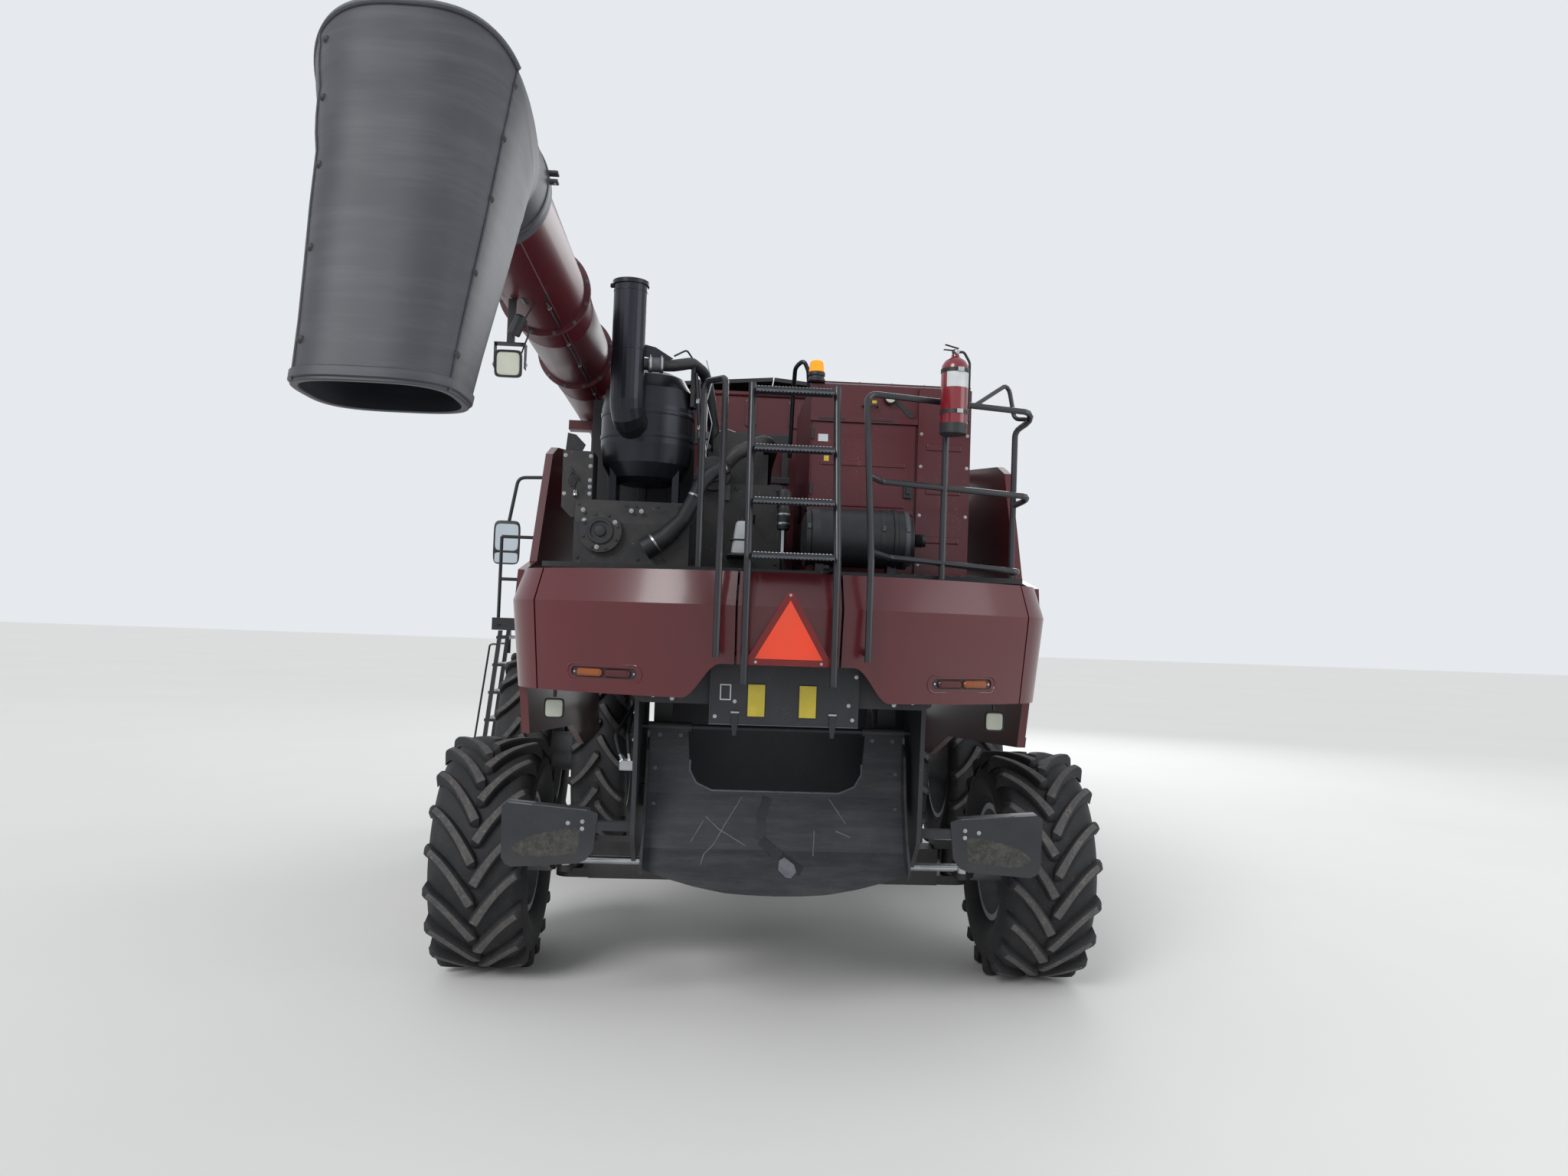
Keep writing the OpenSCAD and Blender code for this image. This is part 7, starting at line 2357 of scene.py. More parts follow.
    def mirrors(self) -> list[Piece]:
        """Mirrors on bent arms: rounded housings with silvered glass, clamps and a smaller wide-angle glass.

        Returns:
            The parts, with their finishes.
        """
        left = Parts()
        post_x, post_y, arm_z, arm_y = 0.8, 5.38, 3.99, 5.28
        arm_x = self.MIRROR_X - 0.15
        foot = 3.7 + 0.25 - 0.12 * 0.18 / 0.26
        path = [(post_x, post_y, foot - 0.01), (post_x, post_y, arm_z), (arm_x - 0.1, arm_y, arm_z - 0.09),
                (arm_x, arm_y, 3.3), (arm_x, arm_y, 2.98)]
        left.tube(MOULDED_BLACK, spots_of(path), 0.02, 0.1, 4)
        left.turned(MOULDED_BLACK, [(0, 0), (0, 0.045), (0.008, 0.045), (0.012, 0.03), (0.05, 0.026), (0.05, 0)],
                    spot(post_x, post_y, foot - 0.006), UP, 28)
        rings = []
        for y, grow in ((arm_y - 0.02, -0.006), (arm_y - 0.016, 0.0), (arm_y + 0.008, -0.002),
                        (arm_y + 0.034, -0.03), (arm_y + 0.04, -0.06)):
            ring = []
            for c, s in WorkLamp.square():
                ring.append(spot(arm_x + (0.15 + grow) * c, y, 3.15 + (0.25 + grow) * s))
            rings.append(ring)
        left.lofted(MOULDED_BLACK, rings)
        for z, high in ((3.21, 0.155), (2.975, 0.06)):
            glass = []
            for y, grow in ((arm_y - 0.018, 0.0), (arm_y - 0.0215, -0.003), (arm_y - 0.022, -0.02)):
                glass.append([spot(arm_x + (0.132 + grow) * c, y, z + (high + grow) * s)
                              for c, s in WorkLamp.square()])
            left.lofted(MIRROR_GLASS, glass)
        for z in (3.03, 3.28):
            left.block(FRAME_BLACK, spot(arm_x - 0.035, arm_y + 0.005, z - 0.02), spot(arm_x + 0.035, arm_y + 0.047,
                    z + 0.02), 0.006)
        both = Shop.join(left)
        return [both, Shop.mirrored(both)]

    def door(self) -> list[Piece]:
        """The door's black edge, handle, lock and inner grab bar.

        Returns:
            The parts, with their finishes.
        """
        x, low, top, back, front = -self.HALF - 0.004, 2.31, self.GLASS_TOP, 4.26, self.GLASS_FRONT
        loop = [(x, back, low), (x, front, low), (x, front, top), (x, back, top)]
        parts = Parts([Shop.outline(loop, 0.011, MOULDED_BLACK)])
        parts.block(MOULDED_BLACK, spot(x - 0.012, 4.9, 2.62), spot(x + 0.004, 5.0, 2.76), 0.005)
        parts.tube(FRAME_BLACK, [spot(x - 0.01, 4.95, 2.64), spot(x - 0.045, 4.95, 2.66),
                                 spot(x - 0.045, 4.95, 2.74), spot(x - 0.01, 4.95, 2.755)], 0.008, 0.015, 2)
        parts.tube(FRAME_BLACK, [spot(x + 0.044, 4.45, 2.72), spot(x + 0.08, 4.45, 2.74), spot(x + 0.08, 4.85, 3.0),
                                 spot(x + 0.044, 4.85, 3.02)], 0.012, 0.03, 2)
        return parts

    def handles(self) -> list[Piece]:
        """Grab bars beside the door and in front of the cab.

        Returns:
            The parts, with their finishes.
        """
        parts = Parts()
        for points in ([(-0.9, 4.2, 2.5), (-0.96, 4.2, 2.5), (-0.96, 4.2, 3.3), (-0.9, 4.2, 3.3)],
                       [(0.9, 5.12, 2.45), (0.96, 5.12, 2.45), (0.96, 5.12, 3.25), (0.9, 5.12, 3.25)]):
            parts.tube(RAIL_BLACK, spots_of(points), 0.013, 0.04, 3)
            for p in (points[0], points[-1]):
                parts.turned(FRAME_BLACK, [(0, 0), (0, 0.03), (0.006, 0.03), (0.008, 0.026), (0.008, 0)], spot(*p),
                             (points[1][0] - points[0][0], 0, 0), 24)
        return parts

    def platform(self) -> list[Piece]:
        """Raised anti-slip ridges, toe boards and bolts on the cab platform.

        Returns:
            The parts, with their finishes.
        """
        top = 2.21
        ridge = Shop.block(FRAME_BLACK, (-0.03, -0.004, -0.001), (0.03, 0.004, 0.004), 0.002, 1)
        moves = []
        for i in range(28):
            for j in range(14):
                turn = Matrix.Rotation(math.radians(45 if (i + j) % 2 else -45), 4, "Z")
                moves.append(Matrix.Translation(spot(-2.68 + 0.064 * i, 4.38 + 0.064 * j, top)) @ turn)
        parts = Parts([Shop.copies(ridge, moves)])
        for low, high in (((-2.74, 4.33, 2.2095), (-0.93, 4.337, 2.29)),
                          ((-2.74, 4.33, 2.2095), (-2.733, 4.7, 2.29)),
                          ((-2.74, 5.233, 2.2095), (-0.93, 5.24, 2.26))):
            parts.block(FRAME_BLACK, spot(*low), spot(*high), 0.002)
        for x in (-1.75, -2.68):
            parts.turned(RAIL_BLACK, [(0, 0), (0, 0.045), (0.008, 0.045), (0.01, 0.04), (0.01, 0)],
                         spot(x, 4.36, 2.2095), UP, 28)
        return parts

    def ladder(self) -> list[Piece]:
        """Anti-slip teeth on the cab ladder's steps, and its side handrails.

        Returns:
            The parts, with their finishes.
        """
        top, low, parts = 2.152, 0.48, []
        tooth = Shop.turned(ZINC, [(0.0, 0.0082), (0.003, 0.0078), (0.005, 0.006), (0.005, 0.0042), (0.0, 0.004),
                                   (0.0, 0.0082)], ORIGIN, UP, 8)
        moves = []
        for k in range(6):
            z = 0.56 + 0.3 * k
            if z > top - 0.06:
                break
            x = -2.735 - 0.17 * (top - z) / (top - low)
            moves += [Matrix.Translation(spot(x + dx, 4.755 + 0.0213 * n, z + 0.03)) for n in range(21)
                      for dx in (0.0, 0.033, 0.066, 0.1)]
        parts.append(Shop.copies(tooth, moves))
        for y in (4.735, 5.215):
            bar = [(-2.765, y, 2.0), (-2.83, y, 2.0), (-2.975, y, 0.75), (-2.905, y, 0.75)]
            parts.append(Shop.tube(RAIL_BLACK, spots_of(bar), 0.011, 0.05, 2))
        return parts


class Flanks:
    """Dressing of the side panels: raised fields, a grille, latches and a black sill, on the lifting bodies."""

    def build(self) -> None:
        """Makes both sides' pieces."""
        for side, body in ((-1, "side_panel_left"), (1, "side_panel_right")):
            Shop.deliver(f"{body}_fields", body, self.fields(side) + self.fittings(side))
            Shop.deliver(f"{body}_grille", body, self.grille(side))

    @staticmethod
    def skin(z: float) -> float:
        """Distance of the panel's outer face from the middle at a height.

        Args:
            z: Height.

        Returns:
            The distance in metres.
        """
        for (x0, z0), (x1, z1) in (((1.445, 1.25), (1.555, 2.39)), ((1.555, 2.39), (1.535, 2.7)),
                                   ((1.535, 2.7), (1.475, 3.6))):
            if z <= z1:
                return x0 + (x1 - x0) * (z - z0) / (z1 - z0)
        return 1.475

    def sheet(self, side: int, outline: Sequence[Point], proud: float, finish: Finish,
              edge: float = 0.006) -> Piece:
        """A raised field that follows the panel's face.

        Args:
            side: -1 for the left, 1 for the right.
            outline: Corners as (y, z).
            proud: How far it stands out.
            finish: Its finish.
            edge: Width of its rounded edge.

        Returns:
            The field.
        """
        back = [spot(side * (self.skin(z) - 0.002), y, z) for y, z in outline]
        return Shop.plate(finish, back, (side * (proud + 0.002), 0, 0), min(edge, proud * 0.8))

    def fields(self, side: int) -> list[Piece]:
        """Raised fields above and below the crease, and a black sill along the lower edge.

        Args:
            side: -1 for the left, 1 for the right.

        Returns:
            The parts, with their finishes.
        """
        upper = Shop.softened([(1.0, 2.76), (3.28, 2.76), (3.28, 3.08), (2.25, 3.44), (1.0, 3.44)], 0.07)
        lower = Shop.softened([(-0.82, 1.74), (0.86, 1.66), (1.45, 1.42), (2.42, 1.42), (2.62, 1.9), (3.0, 2.2),
                               (3.3, 2.28), (-0.82, 2.28)], 0.06)
        spear = Shop.softened([(-0.86, 2.42), (3.34, 2.42), (3.34, 2.46), (-0.86, 2.52)], 0.012)
        parts = [self.sheet(side, upper, 0.009, PANEL_RED), self.sheet(side, lower, 0.009, PANEL_RED),
                 self.sheet(side, spear, 0.006, MOULDED_BLACK, 0.002)]
        sills = ([(1.5, 1.3), (2.69, 1.3), (2.67, 1.36), (1.512, 1.36)], [(0.9, 1.5), (1.5, 1.3), (1.512, 1.36),
                (0.91, 1.56)], [(-0.992, 1.62), (0.9, 1.5), (0.91, 1.56), (-0.992, 1.68)])
        return parts + [self.sheet(side, sill, 0.006, MOULDED_BLACK, 0.002) for sill in sills]

    def grille(self, side: int) -> list[Piece]:
        """A black louvred grille beside the engine.

        Args:
            side: -1 for the left, 1 for the right.

        Returns:
            The parts, with their finishes.
        """
        low, high, back, front = 2.84, 3.3, -0.3, 0.78
        frame_of = [((back, low), (front, low + 0.03)), ((back, high - 0.03), (front, high)),
                    ((back, low), (back + 0.03, high)), ((front - 0.03, low), (front, high))]
        parts = Parts([self.sheet(side, [(a[0], a[1]), (b[0], a[1]), (b[0], b[1]), (a[0], b[1])], 0.012,
                                  MOULDED_BLACK, 0.004) for a, b in frame_of])
        floor = self.sheet(side, [(back + 0.02, low + 0.02), (front - 0.02, low + 0.02),
                                  (front - 0.02, high - 0.02), (back + 0.02, high - 0.02)], 0.002, FRAME_BLACK,
                           0.0005)
        parts.append(floor)
        for k in range(12):
            z = low + 0.048 + 0.0335 * k
            x = side * self.skin(z)
            parts.plate(MOULDED_BLACK, [spot(x + side * a, back + 0.02, z + b) for a, b in ((0.0, 0.006),
                    (0.0, 0.0), (0.011, -0.012), (0.013, -0.009))], (0, front - back - 0.04, 0), 0.001)
        for k in range(5):
            y = back + 0.03 + (k + 0.5) * (front - back - 0.06) / 5
            parts.append(self.sheet(side, [(y - 0.004, low + 0.02), (y + 0.004, low + 0.02),
                    (y + 0.004, high - 0.02), (y - 0.004, high - 0.02)], 0.011, MOULDED_BLACK, 0.001))
        return parts

    def fittings(self, side: int) -> list[Piece]:
        """Quarter-turn latches, a grab recess and reflectors.

        Args:
            side: -1 for the left, 1 for the right.

        Returns:
            The parts, with their finishes.
        """
        parts = Parts()
        for y, z in ((-0.9, 1.85), (0.2, 1.63), (1.2, 1.5), (2.5, 1.42), (3.35, 2.5)):
            parts.turned(ZINC, [(0, 0), (0, 0.022), (0.004, 0.022), (0.006, 0.018), (0.006, 0.009), (0.01, 0.009),
                                (0.01, 0)], spot(side * (self.skin(z) - 0.001), y, z), (side, 0, 0), 24)
        for y in (-0.8, 3.25):
            lens = self.sheet(side, Shop.softened([(y - 0.045, 2.322), (y + 0.045, 2.322), (y + 0.045, 2.362),
                    (y - 0.045, 2.362)], 0.012), 0.006, LENS_AMBER, 0.003)
            parts.append(lens)
        grab = self.sheet(side, Shop.softened([(1.1, 1.5), (1.3, 1.5), (1.3, 1.56), (1.1, 1.56)], 0.02), 0.011,
                          MOULDED_BLACK)
        parts.append(grab)
        return parts


class Front:
    """The feeder house's fittings, its conveyor, and the tank's ribs and rim."""

    FACE_Y = 6.4

    def build(self) -> None:
        """Makes the front's pieces."""
        Shop.deliver("feeder_house_fittings", "feeder", self.ribs() + self.face())
        Shop.deliver("feeder_conveyor", "feeder", self.conveyor())
        Shop.deliver("grain_tank_ribs", "chassis", self.tank())

    def ribs(self) -> list[Piece]:
        """Folded ribs on the feeder house's sides and top, an access cover and the drive's guard.

        Returns:
            The parts, with their finishes.
        """
        parts = Parts()
        top = [(4.5, 1.885), (6.2, 1.345)]
        for t in (0.12, 0.36, 0.6, 0.84):
            y = top[0][0] + (top[1][0] - top[0][0]) * t
            z = top[0][1] + (top[1][1] - top[0][1]) * t
            parts.plate(SHEET_RED, [spot(-0.56, y + a, z + b) for a, b in ((-0.03, 0.006), (-0.022, 0.034),
                    (0.022, 0.02), (0.03, -0.012))], (1.12, 0, 0), 0.004)
        slope = math.atan2(1.345 - 1.885, 1.7)
        cover = Shop.block(None, (-0.3, -0.17, -0.002), (0.3, 0.17, 0.012), 0.005)
        cover.data.transform(Matrix.Translation(spot(0, 5.32, 1.629)) @ Matrix.Rotation(slope, 4, "X"))
        parts.append(Shop.coat(cover, SHEET_RED))
        for x in (-0.2, 0.2):
            grip = Shop.tube(None, [(x - 0.06, 0, 0.01), (x - 0.06, 0, 0.045), (x + 0.06, 0, 0.045),
                                    (x + 0.06, 0, 0.01)], 0.006, 0.02, 2)
            grip.data.transform(Matrix.Translation(spot(0, 5.32, 1.629)) @ Matrix.Rotation(slope, 4, "X"))
            parts.append(Shop.coat(grip, FRAME_BLACK))
        for side in (-1, 1):
            for y, low, high in ((4.75, 1.16, 1.78), (5.15, 1.0, 1.66), (5.85, 0.7, 1.43)):
                parts.block(SHEET_RED, spot(side * 0.575 - 0.016, y - 0.025, low),
                            spot(side * 0.575 + 0.016, y + 0.025, high), 0.006)
        parts.plate(FRAME_BLACK,
                    [spot(-0.56, y, z) for y, z in Shop.softened([(4.42, 1.42), (4.62, 1.28), (5.02, 1.5),
                (4.86, 1.68)], 0.06)], (-0.07, 0, 0), 0.012)
        hose = [(0.57, 4.5, 1.62), (0.62, 4.7, 1.6), (0.615, 5.5, 1.34), (0.61, 6.1, 1.15), (0.6, 6.3, 1.12)]
        for k in range(2):
            parts.tube(MOULDED_BLACK, [spot(x, y, z + 0.03 * k) for x, y, z in hose], 0.01, 0.08, 2)
        parts.block(CAST_IRON, spot(0.561, 6.12, 1.08), spot(0.63, 6.3, 1.2), 0.01)
        return parts

    def face(self) -> list[Piece]:
        """Bolts and the seal strip on the feeder's mounting face.

        Returns:
            The parts, with their finishes.
        """
        spots = [(x, z) for x in (-0.6, 0.6) for z in (0.62, 0.82, 1.02, 1.22, 1.36)]
        spots += [(x, z) for x in (-0.4, -0.2, 0.0, 0.2, 0.4) for z in (0.455, 1.37)]
        parts = Parts()
        parts.bolts([spot(x, self.FACE_Y, z) for x, z in spots], FORE, 0.01)
        loop = [(x, self.FACE_Y, z) for x, z in ((-0.535, 0.545), (0.535, 0.545), (0.535, 1.305), (-0.535, 1.305))]
        parts.append(Shop.outline(loop, 0.008, MOULDED_BLACK))
        return parts

    def conveyor(self) -> list[Piece]:
        """The front drum with its chain and angle slats inside the mouth.

        Returns:
            The parts, with their finishes.
        """
        parts = Parts()
        drum = [(-0.5, 0), (-0.5, 0.15), (-0.494, 0.155), (0.494, 0.155), (0.5, 0.15), (0.5, 0)]
        centre = spot(0, 6.03, 0.92)
        parts.turned(WORN_STEEL, drum, centre, RIGHT, 40)
        for k in range(5):
            a = math.radians(-60 + 50 * k)
            out = Vector((0, math.cos(a), math.sin(a)))
            across = Vector((0, -math.sin(a), math.cos(a)))
            mid = centre + out * 0.172
            parts.plate(WORN_STEEL, [mid + Vector((-0.47, 0, 0)) + across * p + out * q
                                     for p, q in ((-0.02, -0.012), (0.02, -0.012), (0.02, -0.006), (-0.012, -0.006),
                    (-0.012, 0.028), (-0.02, 0.028))], (0.94, 0, 0), 0.001)
        link = Shop.block(CAST_IRON, (-0.016, -0.022, -0.009), (0.016, 0.022, 0.009), 0.005)
        moves = []
        for x in (-0.42, 0.0, 0.42):
            for k in range(18):
                a = math.radians(-90 + 12 * k)
                turn = Matrix.Rotation(a - math.pi / 2, 4, "X")
                at = centre + Vector((x, 0.166 * math.cos(a), 0.166 * math.sin(a)))
                moves.append(Matrix.Translation(at) @ turn)
        parts.append(Shop.copies(link, moves))
        return parts

    def tank(self) -> list[Piece]:
        """Pressed ribs on the tank's upper walls, its rim tube and bolts.

        Returns:
            The parts, with their finishes.
        """
        parts = Parts()
        for side in (-1, 1):
            for k in range(5):
                y = 1.3 + 0.31 * k
                rib = Shop.plate(None,
                                 [spot(side * 1.049, y + a, z)
                                  for a, z in Shop.softened([(-0.04, 3.66), (0.04, 3.66), (0.04, 4.04),
                        (-0.04, 4.04)], 0.03)], (side * 0.013, 0, 0), 0.006)
                parts.append(Shop.coat(rib, SHEET_RED))
        for k in range(6):
            x = -0.85 + 0.34 * k
            rib = Shop.plate(None,
                             [spot(x + a, 1.081, z) for a, z in Shop.softened([(-0.045, 3.84), (0.045, 3.84),
                    (0.045, 4.06), (-0.045, 4.06)], 0.03)], (0, -0.012, 0), 0.005)
            parts.append(Shop.coat(rib, SHEET_RED))
        rim = [(-1.052, 1.078), (1.052, 1.078), (1.052, 2.722), (-1.052, 2.722)]
        for a, b in zip(rim, rim[1:] + rim[:1]):
            parts.tube(SHEET_RED, [spot(a[0], a[1], 4.095), spot(b[0], b[1], 4.095)], 0.016, 0, 2)
        return parts


class Rear:
    """Small parts of the tail, the hood, the tyre deflectors and the rubber chute, and the bay's dark shield and
    bracing, which paint the shade in the engine bay.
    """

    CHUTE = ((0.815, -1.385), (1.02, -1.21), (1.31, -1.072), (1.68, -1.035))
    GUARD_Y = -1.225

    def build(self) -> None:
        """Makes the pieces."""
        Shop.deliver("hood_fittings", "chassis", self.hood() + self.valve() + self.deflectors() + self.lamp_rims())
        Shop.deliver("engine_bay_painted_shade", "chassis", self.bay())
        Shop.deliver("residue_chute_trim", "residue_chute", self.chute())

    def hood(self) -> list[Piece]:
        """Bolts, an outlined blank plate, the worn lower edge and two strap latches of the hood's centre box.

        Returns:
            The parts, with their finishes.
        """
        y = -1.6
        centre = [(0.346, 1.877), (-0.368, 2.09), (-0.368, 1.8), (0.383, 2.031), (0.368, 1.8), (-0.265, 1.882)]
        skirt = [(side * x, z) for side in (-1, 1) for x, z in ((0.702, 1.9), (0.77, 2.05), (0.6, 1.885),
                (0.5, 2.09))]
        parts = Parts()
        parts.bolts([spot(x, y, z) for x, z in centre], AFT, 0.007)
        parts.bolts([spot(x, -1.545, z) for x, z in skirt], AFT, 0.008)
        parts.block(LABEL_WHITE, spot(-0.345, y - 0.0012, 1.888), spot(-0.286, y + 0.0005, 1.972), 0.0005, 1)
        parts.block(HOUSING_DARK_AND_SHADE, spot(-0.339, y - 0.0018, 1.894), spot(-0.292, y, 1.966), 0.0004, 1)
        parts.block(WORN_EDGE, spot(-0.4, y - 0.0025, 1.7575), spot(0.4, y + 0.03, 1.7605), 0.001)
        for x in (-0.262, 0.26):
            parts.plate(MOULDED_BLACK, [spot(x + a, y - 0.004, z) for a, z in ((-0.014, 1.83), (-0.017, 1.76),
                    (-0.01, 1.7), (0.01, 1.7), (0.017, 1.76), (0.014, 1.83))], (0, -0.006, 0), 0.002)
            parts.turned(ZINC, [(-0.022, 0), (-0.022, 0.007), (0.022, 0.007), (0.022, 0)],
                         spot(x, y - 0.006, 1.825), RIGHT, 14)
        return parts

    def valve(self) -> list[Piece]:
        """A bright hose valve on the hood's left side plate with its hoses, and a plain bracket on the right.

        Returns:
            The parts, with their finishes.
        """
        parts = Parts()
        parts.block(BARE_STEEL, spot(-0.9, -1.16, 1.44), spot(-0.809, -1.09, 1.5), 0.008)
        port = [(0, 0), (0, 0.016), (0.018, 0.016), (0.02, 0.012), (0.04, 0.012), (0.04, 0.0)]
        for x, lean in ((-0.88, -0.5), (-0.84, -0.2)):
            parts.turned(ZINC, port, spot(x, -1.13, 1.498), (lean, -0.1, 1), 6)
            hose = [(x + lean * 0.04, -1.134, 1.535), (x + lean * 0.1, -1.13, 1.64), (-0.84, -0.95, 1.8),
                    (-0.83, -0.6, 1.86)]
            parts.tube(MOULDED_BLACK, spots_of(hose), 0.011, 0.06, 2)
        bracket = Shop.plate(None, [spot(-0.809, y, z) for y, z in ((-1.3, 1.6), (-1.0, 1.6), (-1.0, 1.7),
                (-1.2, 1.82), (-1.3, 1.8))], (-0.006, 0, 0), 0.002)
        parts += [Shop.coat(bracket, FRAME_BLACK),
                  bolt_heads([spot(-0.815, y, z) for y, z in ((-1.27, 1.63), (-1.03, 1.63), (-1.25, 1.78))], LEFT,
                             0.009)]
        other = Shop.mirrored(bracket)
        parts += [other, bolt_heads([spot(0.815, y, z) for y, z in ((-1.27, 1.63), (-1.03, 1.63), (-1.25, 1.78))],
                                    RIGHT, 0.009)]
        return parts

    def deflectors(self) -> list[Piece]:
        """Dried splashes, polished folded edges and bolts of the tyre deflectors.

        Returns:
            The parts, with their finishes.
        """
        splash = [(-1.476, 1.008), (-1.436, 1.037), (-1.395, 1.066), (-1.297, 1.09), (-1.227, 1.112),
                  (-1.122, 1.122), (-1.093, 1.109), (-1.109, 0.988), (-1.221, 0.964), (-1.39, 0.96),
                  (-1.461, 0.987)]
        fringe = []
        for i, (a, b) in enumerate(zip(splash, splash[1:] + splash[:1])):
            for k in range(4):
                t = k / 4
                wave = 0.006 * math.sin(9.1 * i + 4.3 * k)
                fringe.append(spot(a[0] + (b[0] - a[0]) * t, self.GUARD_Y, a[1] + (b[1] - a[1]) * t + wave))
        left = Parts()
        left.plate(SPLASH, fringe, (0, -0.0008, 0), 0.0)
        left.plate(WORN_EDGE, [spot(x, self.GUARD_Y - 0.001, z) for x, z in ((-1.501, 1.2615), (-1.36, 1.25),
                (-1.37, 1.2445), (-1.495, 1.255))], (0, 0.09, 0.0012), 0.0006)
        left.plate(WORN_STEEL, [spot(x, self.GUARD_Y - 0.0012, z) for x, z in ((-1.36, 1.25), (-1.06, 1.2255),
                (-1.06, 1.2195), (-1.36, 1.244))], (0, 0.02, 0.001), 0.0005)
        left.bolts([spot(x, self.GUARD_Y, z) for x, z in ((-1.085, 1.16), (-1.085, 1.12), (-1.165, 1.15))], AFT,
                   0.008)
        both = Shop.join(left)
        return [both, Shop.mirrored(both)]

    def lamp_rims(self) -> list[Piece]:
        """The raised rim of the recess around each pair of tail lamps.

        Returns:
            The parts, with their finishes.
        """
        signals = Signals()
        parts = []
        for side in (-1, 1):
            path = []
            for k in range(49):
                a = 2 * math.pi * k / 48
                x = math.copysign(0.185, math.cos(a)) + 0.045 * math.cos(a)
                z = 0.045 * math.sin(a)
                r = signals.LAMP_FACE + 0.102 * z - 0.001
                path.append(Vector((r * math.sin(x / r), signals.LAMP_FACE - r * math.cos(x / r), z)))
            rim = Shop.tube(None, path, 0.0065, 0.0, 2)
            rim.data.transform(signals.lamp_frame(side))
            parts.append(Shop.coat(rim, PANEL_RED))
        return parts

    def bay(self) -> list[Piece]:
        """Painted shade: a dark shield behind the exhaust canister and a braced frame between the engine and the
        tank, dark pieces set where the red walls there lie in shade.

        Returns:
            The parts, with their finishes.
        """
        parts = Parts()
        # Painted shade: a dark ribbed sheet over the red panel behind the canister, which lies in shade
        parts.block(HOUSING_DARK_AND_SHADE, spot(-1.235, -0.222, 3.009), spot(-0.565, -0.217, 3.74), 0.002)
        for x in (-1.1, -0.9, -0.7):
            parts.block(HOUSING_DARK_AND_SHADE, spot(x - 0.03, -0.232, 3.06), spot(x + 0.03, -0.219, 3.69), 0.005)
        # Painted shade: dark posts, rails and slots over the tank's red wall, which lies in shade behind the ladder
        for x in (-0.62, -0.17, 0.1):
            parts.block(HOUSING_DARK_AND_SHADE, spot(x - 0.025, 0.86, 2.61), spot(x + 0.025, 0.91, 3.76), 0.005)
        for z, high in ((3.7, 0.05), (3.4, 0.025), (3.14, 0.02)):
            parts.block(HOUSING_DARK_AND_SHADE, spot(-0.66, 0.84, z - high), spot(0.14, 0.88, z + high), 0.006)
        slot = Shop.block(MOULDED_BLACK, (-0.07, -0.002, -0.016), (0.07, 0.002, 0.016), 0.0012)
        parts.append(Shop.copies(slot, [Matrix.Translation(spot(x, 0.8395, 3.7)) for x in (-0.52, -0.3, -0.07)]))
        parts.block(WORN_STEEL, spot(-0.365, -0.662, 3.06), spot(-0.325, -0.639, 3.16), 0.004)
        return parts

    def on_chute(self, x: float, z: float, out: float = 0.0) -> Vector:
        """A point on the chute's rear face, moved out from it.

        Args:
            x: Sideways place.
            z: Height.
            out: Distance out from the face.

        Returns:
            The point in the frame.
        """
        for (z0, y0), (z1, y1) in zip(self.CHUTE, self.CHUTE[1:]):
            if z <= z1 or z1 == 1.68:
                y = y0 + (y1 - y0) * (z - z0) / (z1 - z0)
                lean = Vector((0, -(z1 - z0), y1 - y0)).normalized()
                return spot(x, y, z) + lean * out
        return spot(x, self.CHUTE[-1][1], z)

    def chute(self) -> list[Piece]:
        """Creases, a stiff strap, a worn chip, edge beads and screws of the rubber chute.

        Returns:
            The parts, with their finishes.
        """
        parts = Parts()
        creases = (
            [(-0.193, 1.297), (-0.287, 1.148), (-0.349, 1.042), (-0.401, 0.994), (-0.417, 0.943)],
            [(-0.409, 1.168), (-0.476, 1.056)], [(-0.398, 1.19), (-0.322, 1.125), (-0.163, 1.04)],
            [(0.313, 1.298), (0.41, 1.164)], [(0.225, 1.126), (0.217, 0.996)], [(0.433, 1.097), (0.348, 1.129)]
        )
        for path in creases:
            line = []
            for a, b in zip(path, path[1:]):
                line += [self.on_chute(a[0] + (b[0] - a[0]) * k / 5, a[1] + (b[1] - a[1]) * k / 5, 0.0005)
                         for k in range(5)]
            line.append(self.on_chute(*path[-1], 0.0005))
            parts.tube(SCUFFED, line, 0.0045, 0.0, 1)
        strap = [(-0.046, 1.3), (-0.081, 1.186), (-0.079, 1.075), (0.03, 0.992), (0.149, 0.924)]
        for (x0, z0), (x1, z1) in zip(strap, strap[1:]):
            along = Vector((x1 - x0, z1 - z0)).normalized()
            side = Vector((-along.y, along.x)) * 0.026
            corners = [(x0 + side.x, z0 + side.y), (x0 - side.x, z0 - side.y), (x1 - side.x, z1 - side.y),
                       (x1 + side.x, z1 + side.y)]
            parts.plate(MOULDED_BLACK, [self.on_chute(x, z, -0.001) for x, z in corners], (0, -0.004, 0.0), 0.0015)
        chip = [(0.024, 0.972), (0.054, 0.987), (0.108, 0.953), (0.119, 0.918), (0.088, 0.888), (0.059, 0.892),
                (0.018, 0.926)]
        parts.plate(WORN_EDGE, [self.on_chute(x, z, 0.0032) for x, z in chip], (0, -0.0012, 0.0006), 0.0)
        for side in (-1, 1):
            edge = [self.on_chute(side * 0.747, z) for z in (1.66, 1.31, 1.02, 0.93)]
            parts.tube(SCUFFED, edge, 0.007, 0.05, 2)
            screws = [self.on_chute(side * x, 1.64) for x in (0.56, 0.68)] + [self.on_chute(side * 0.7, z)
                    for z in (1.45, 1.25)]
            parts.bolts(screws, AFT, 0.008, WORN_STEEL)
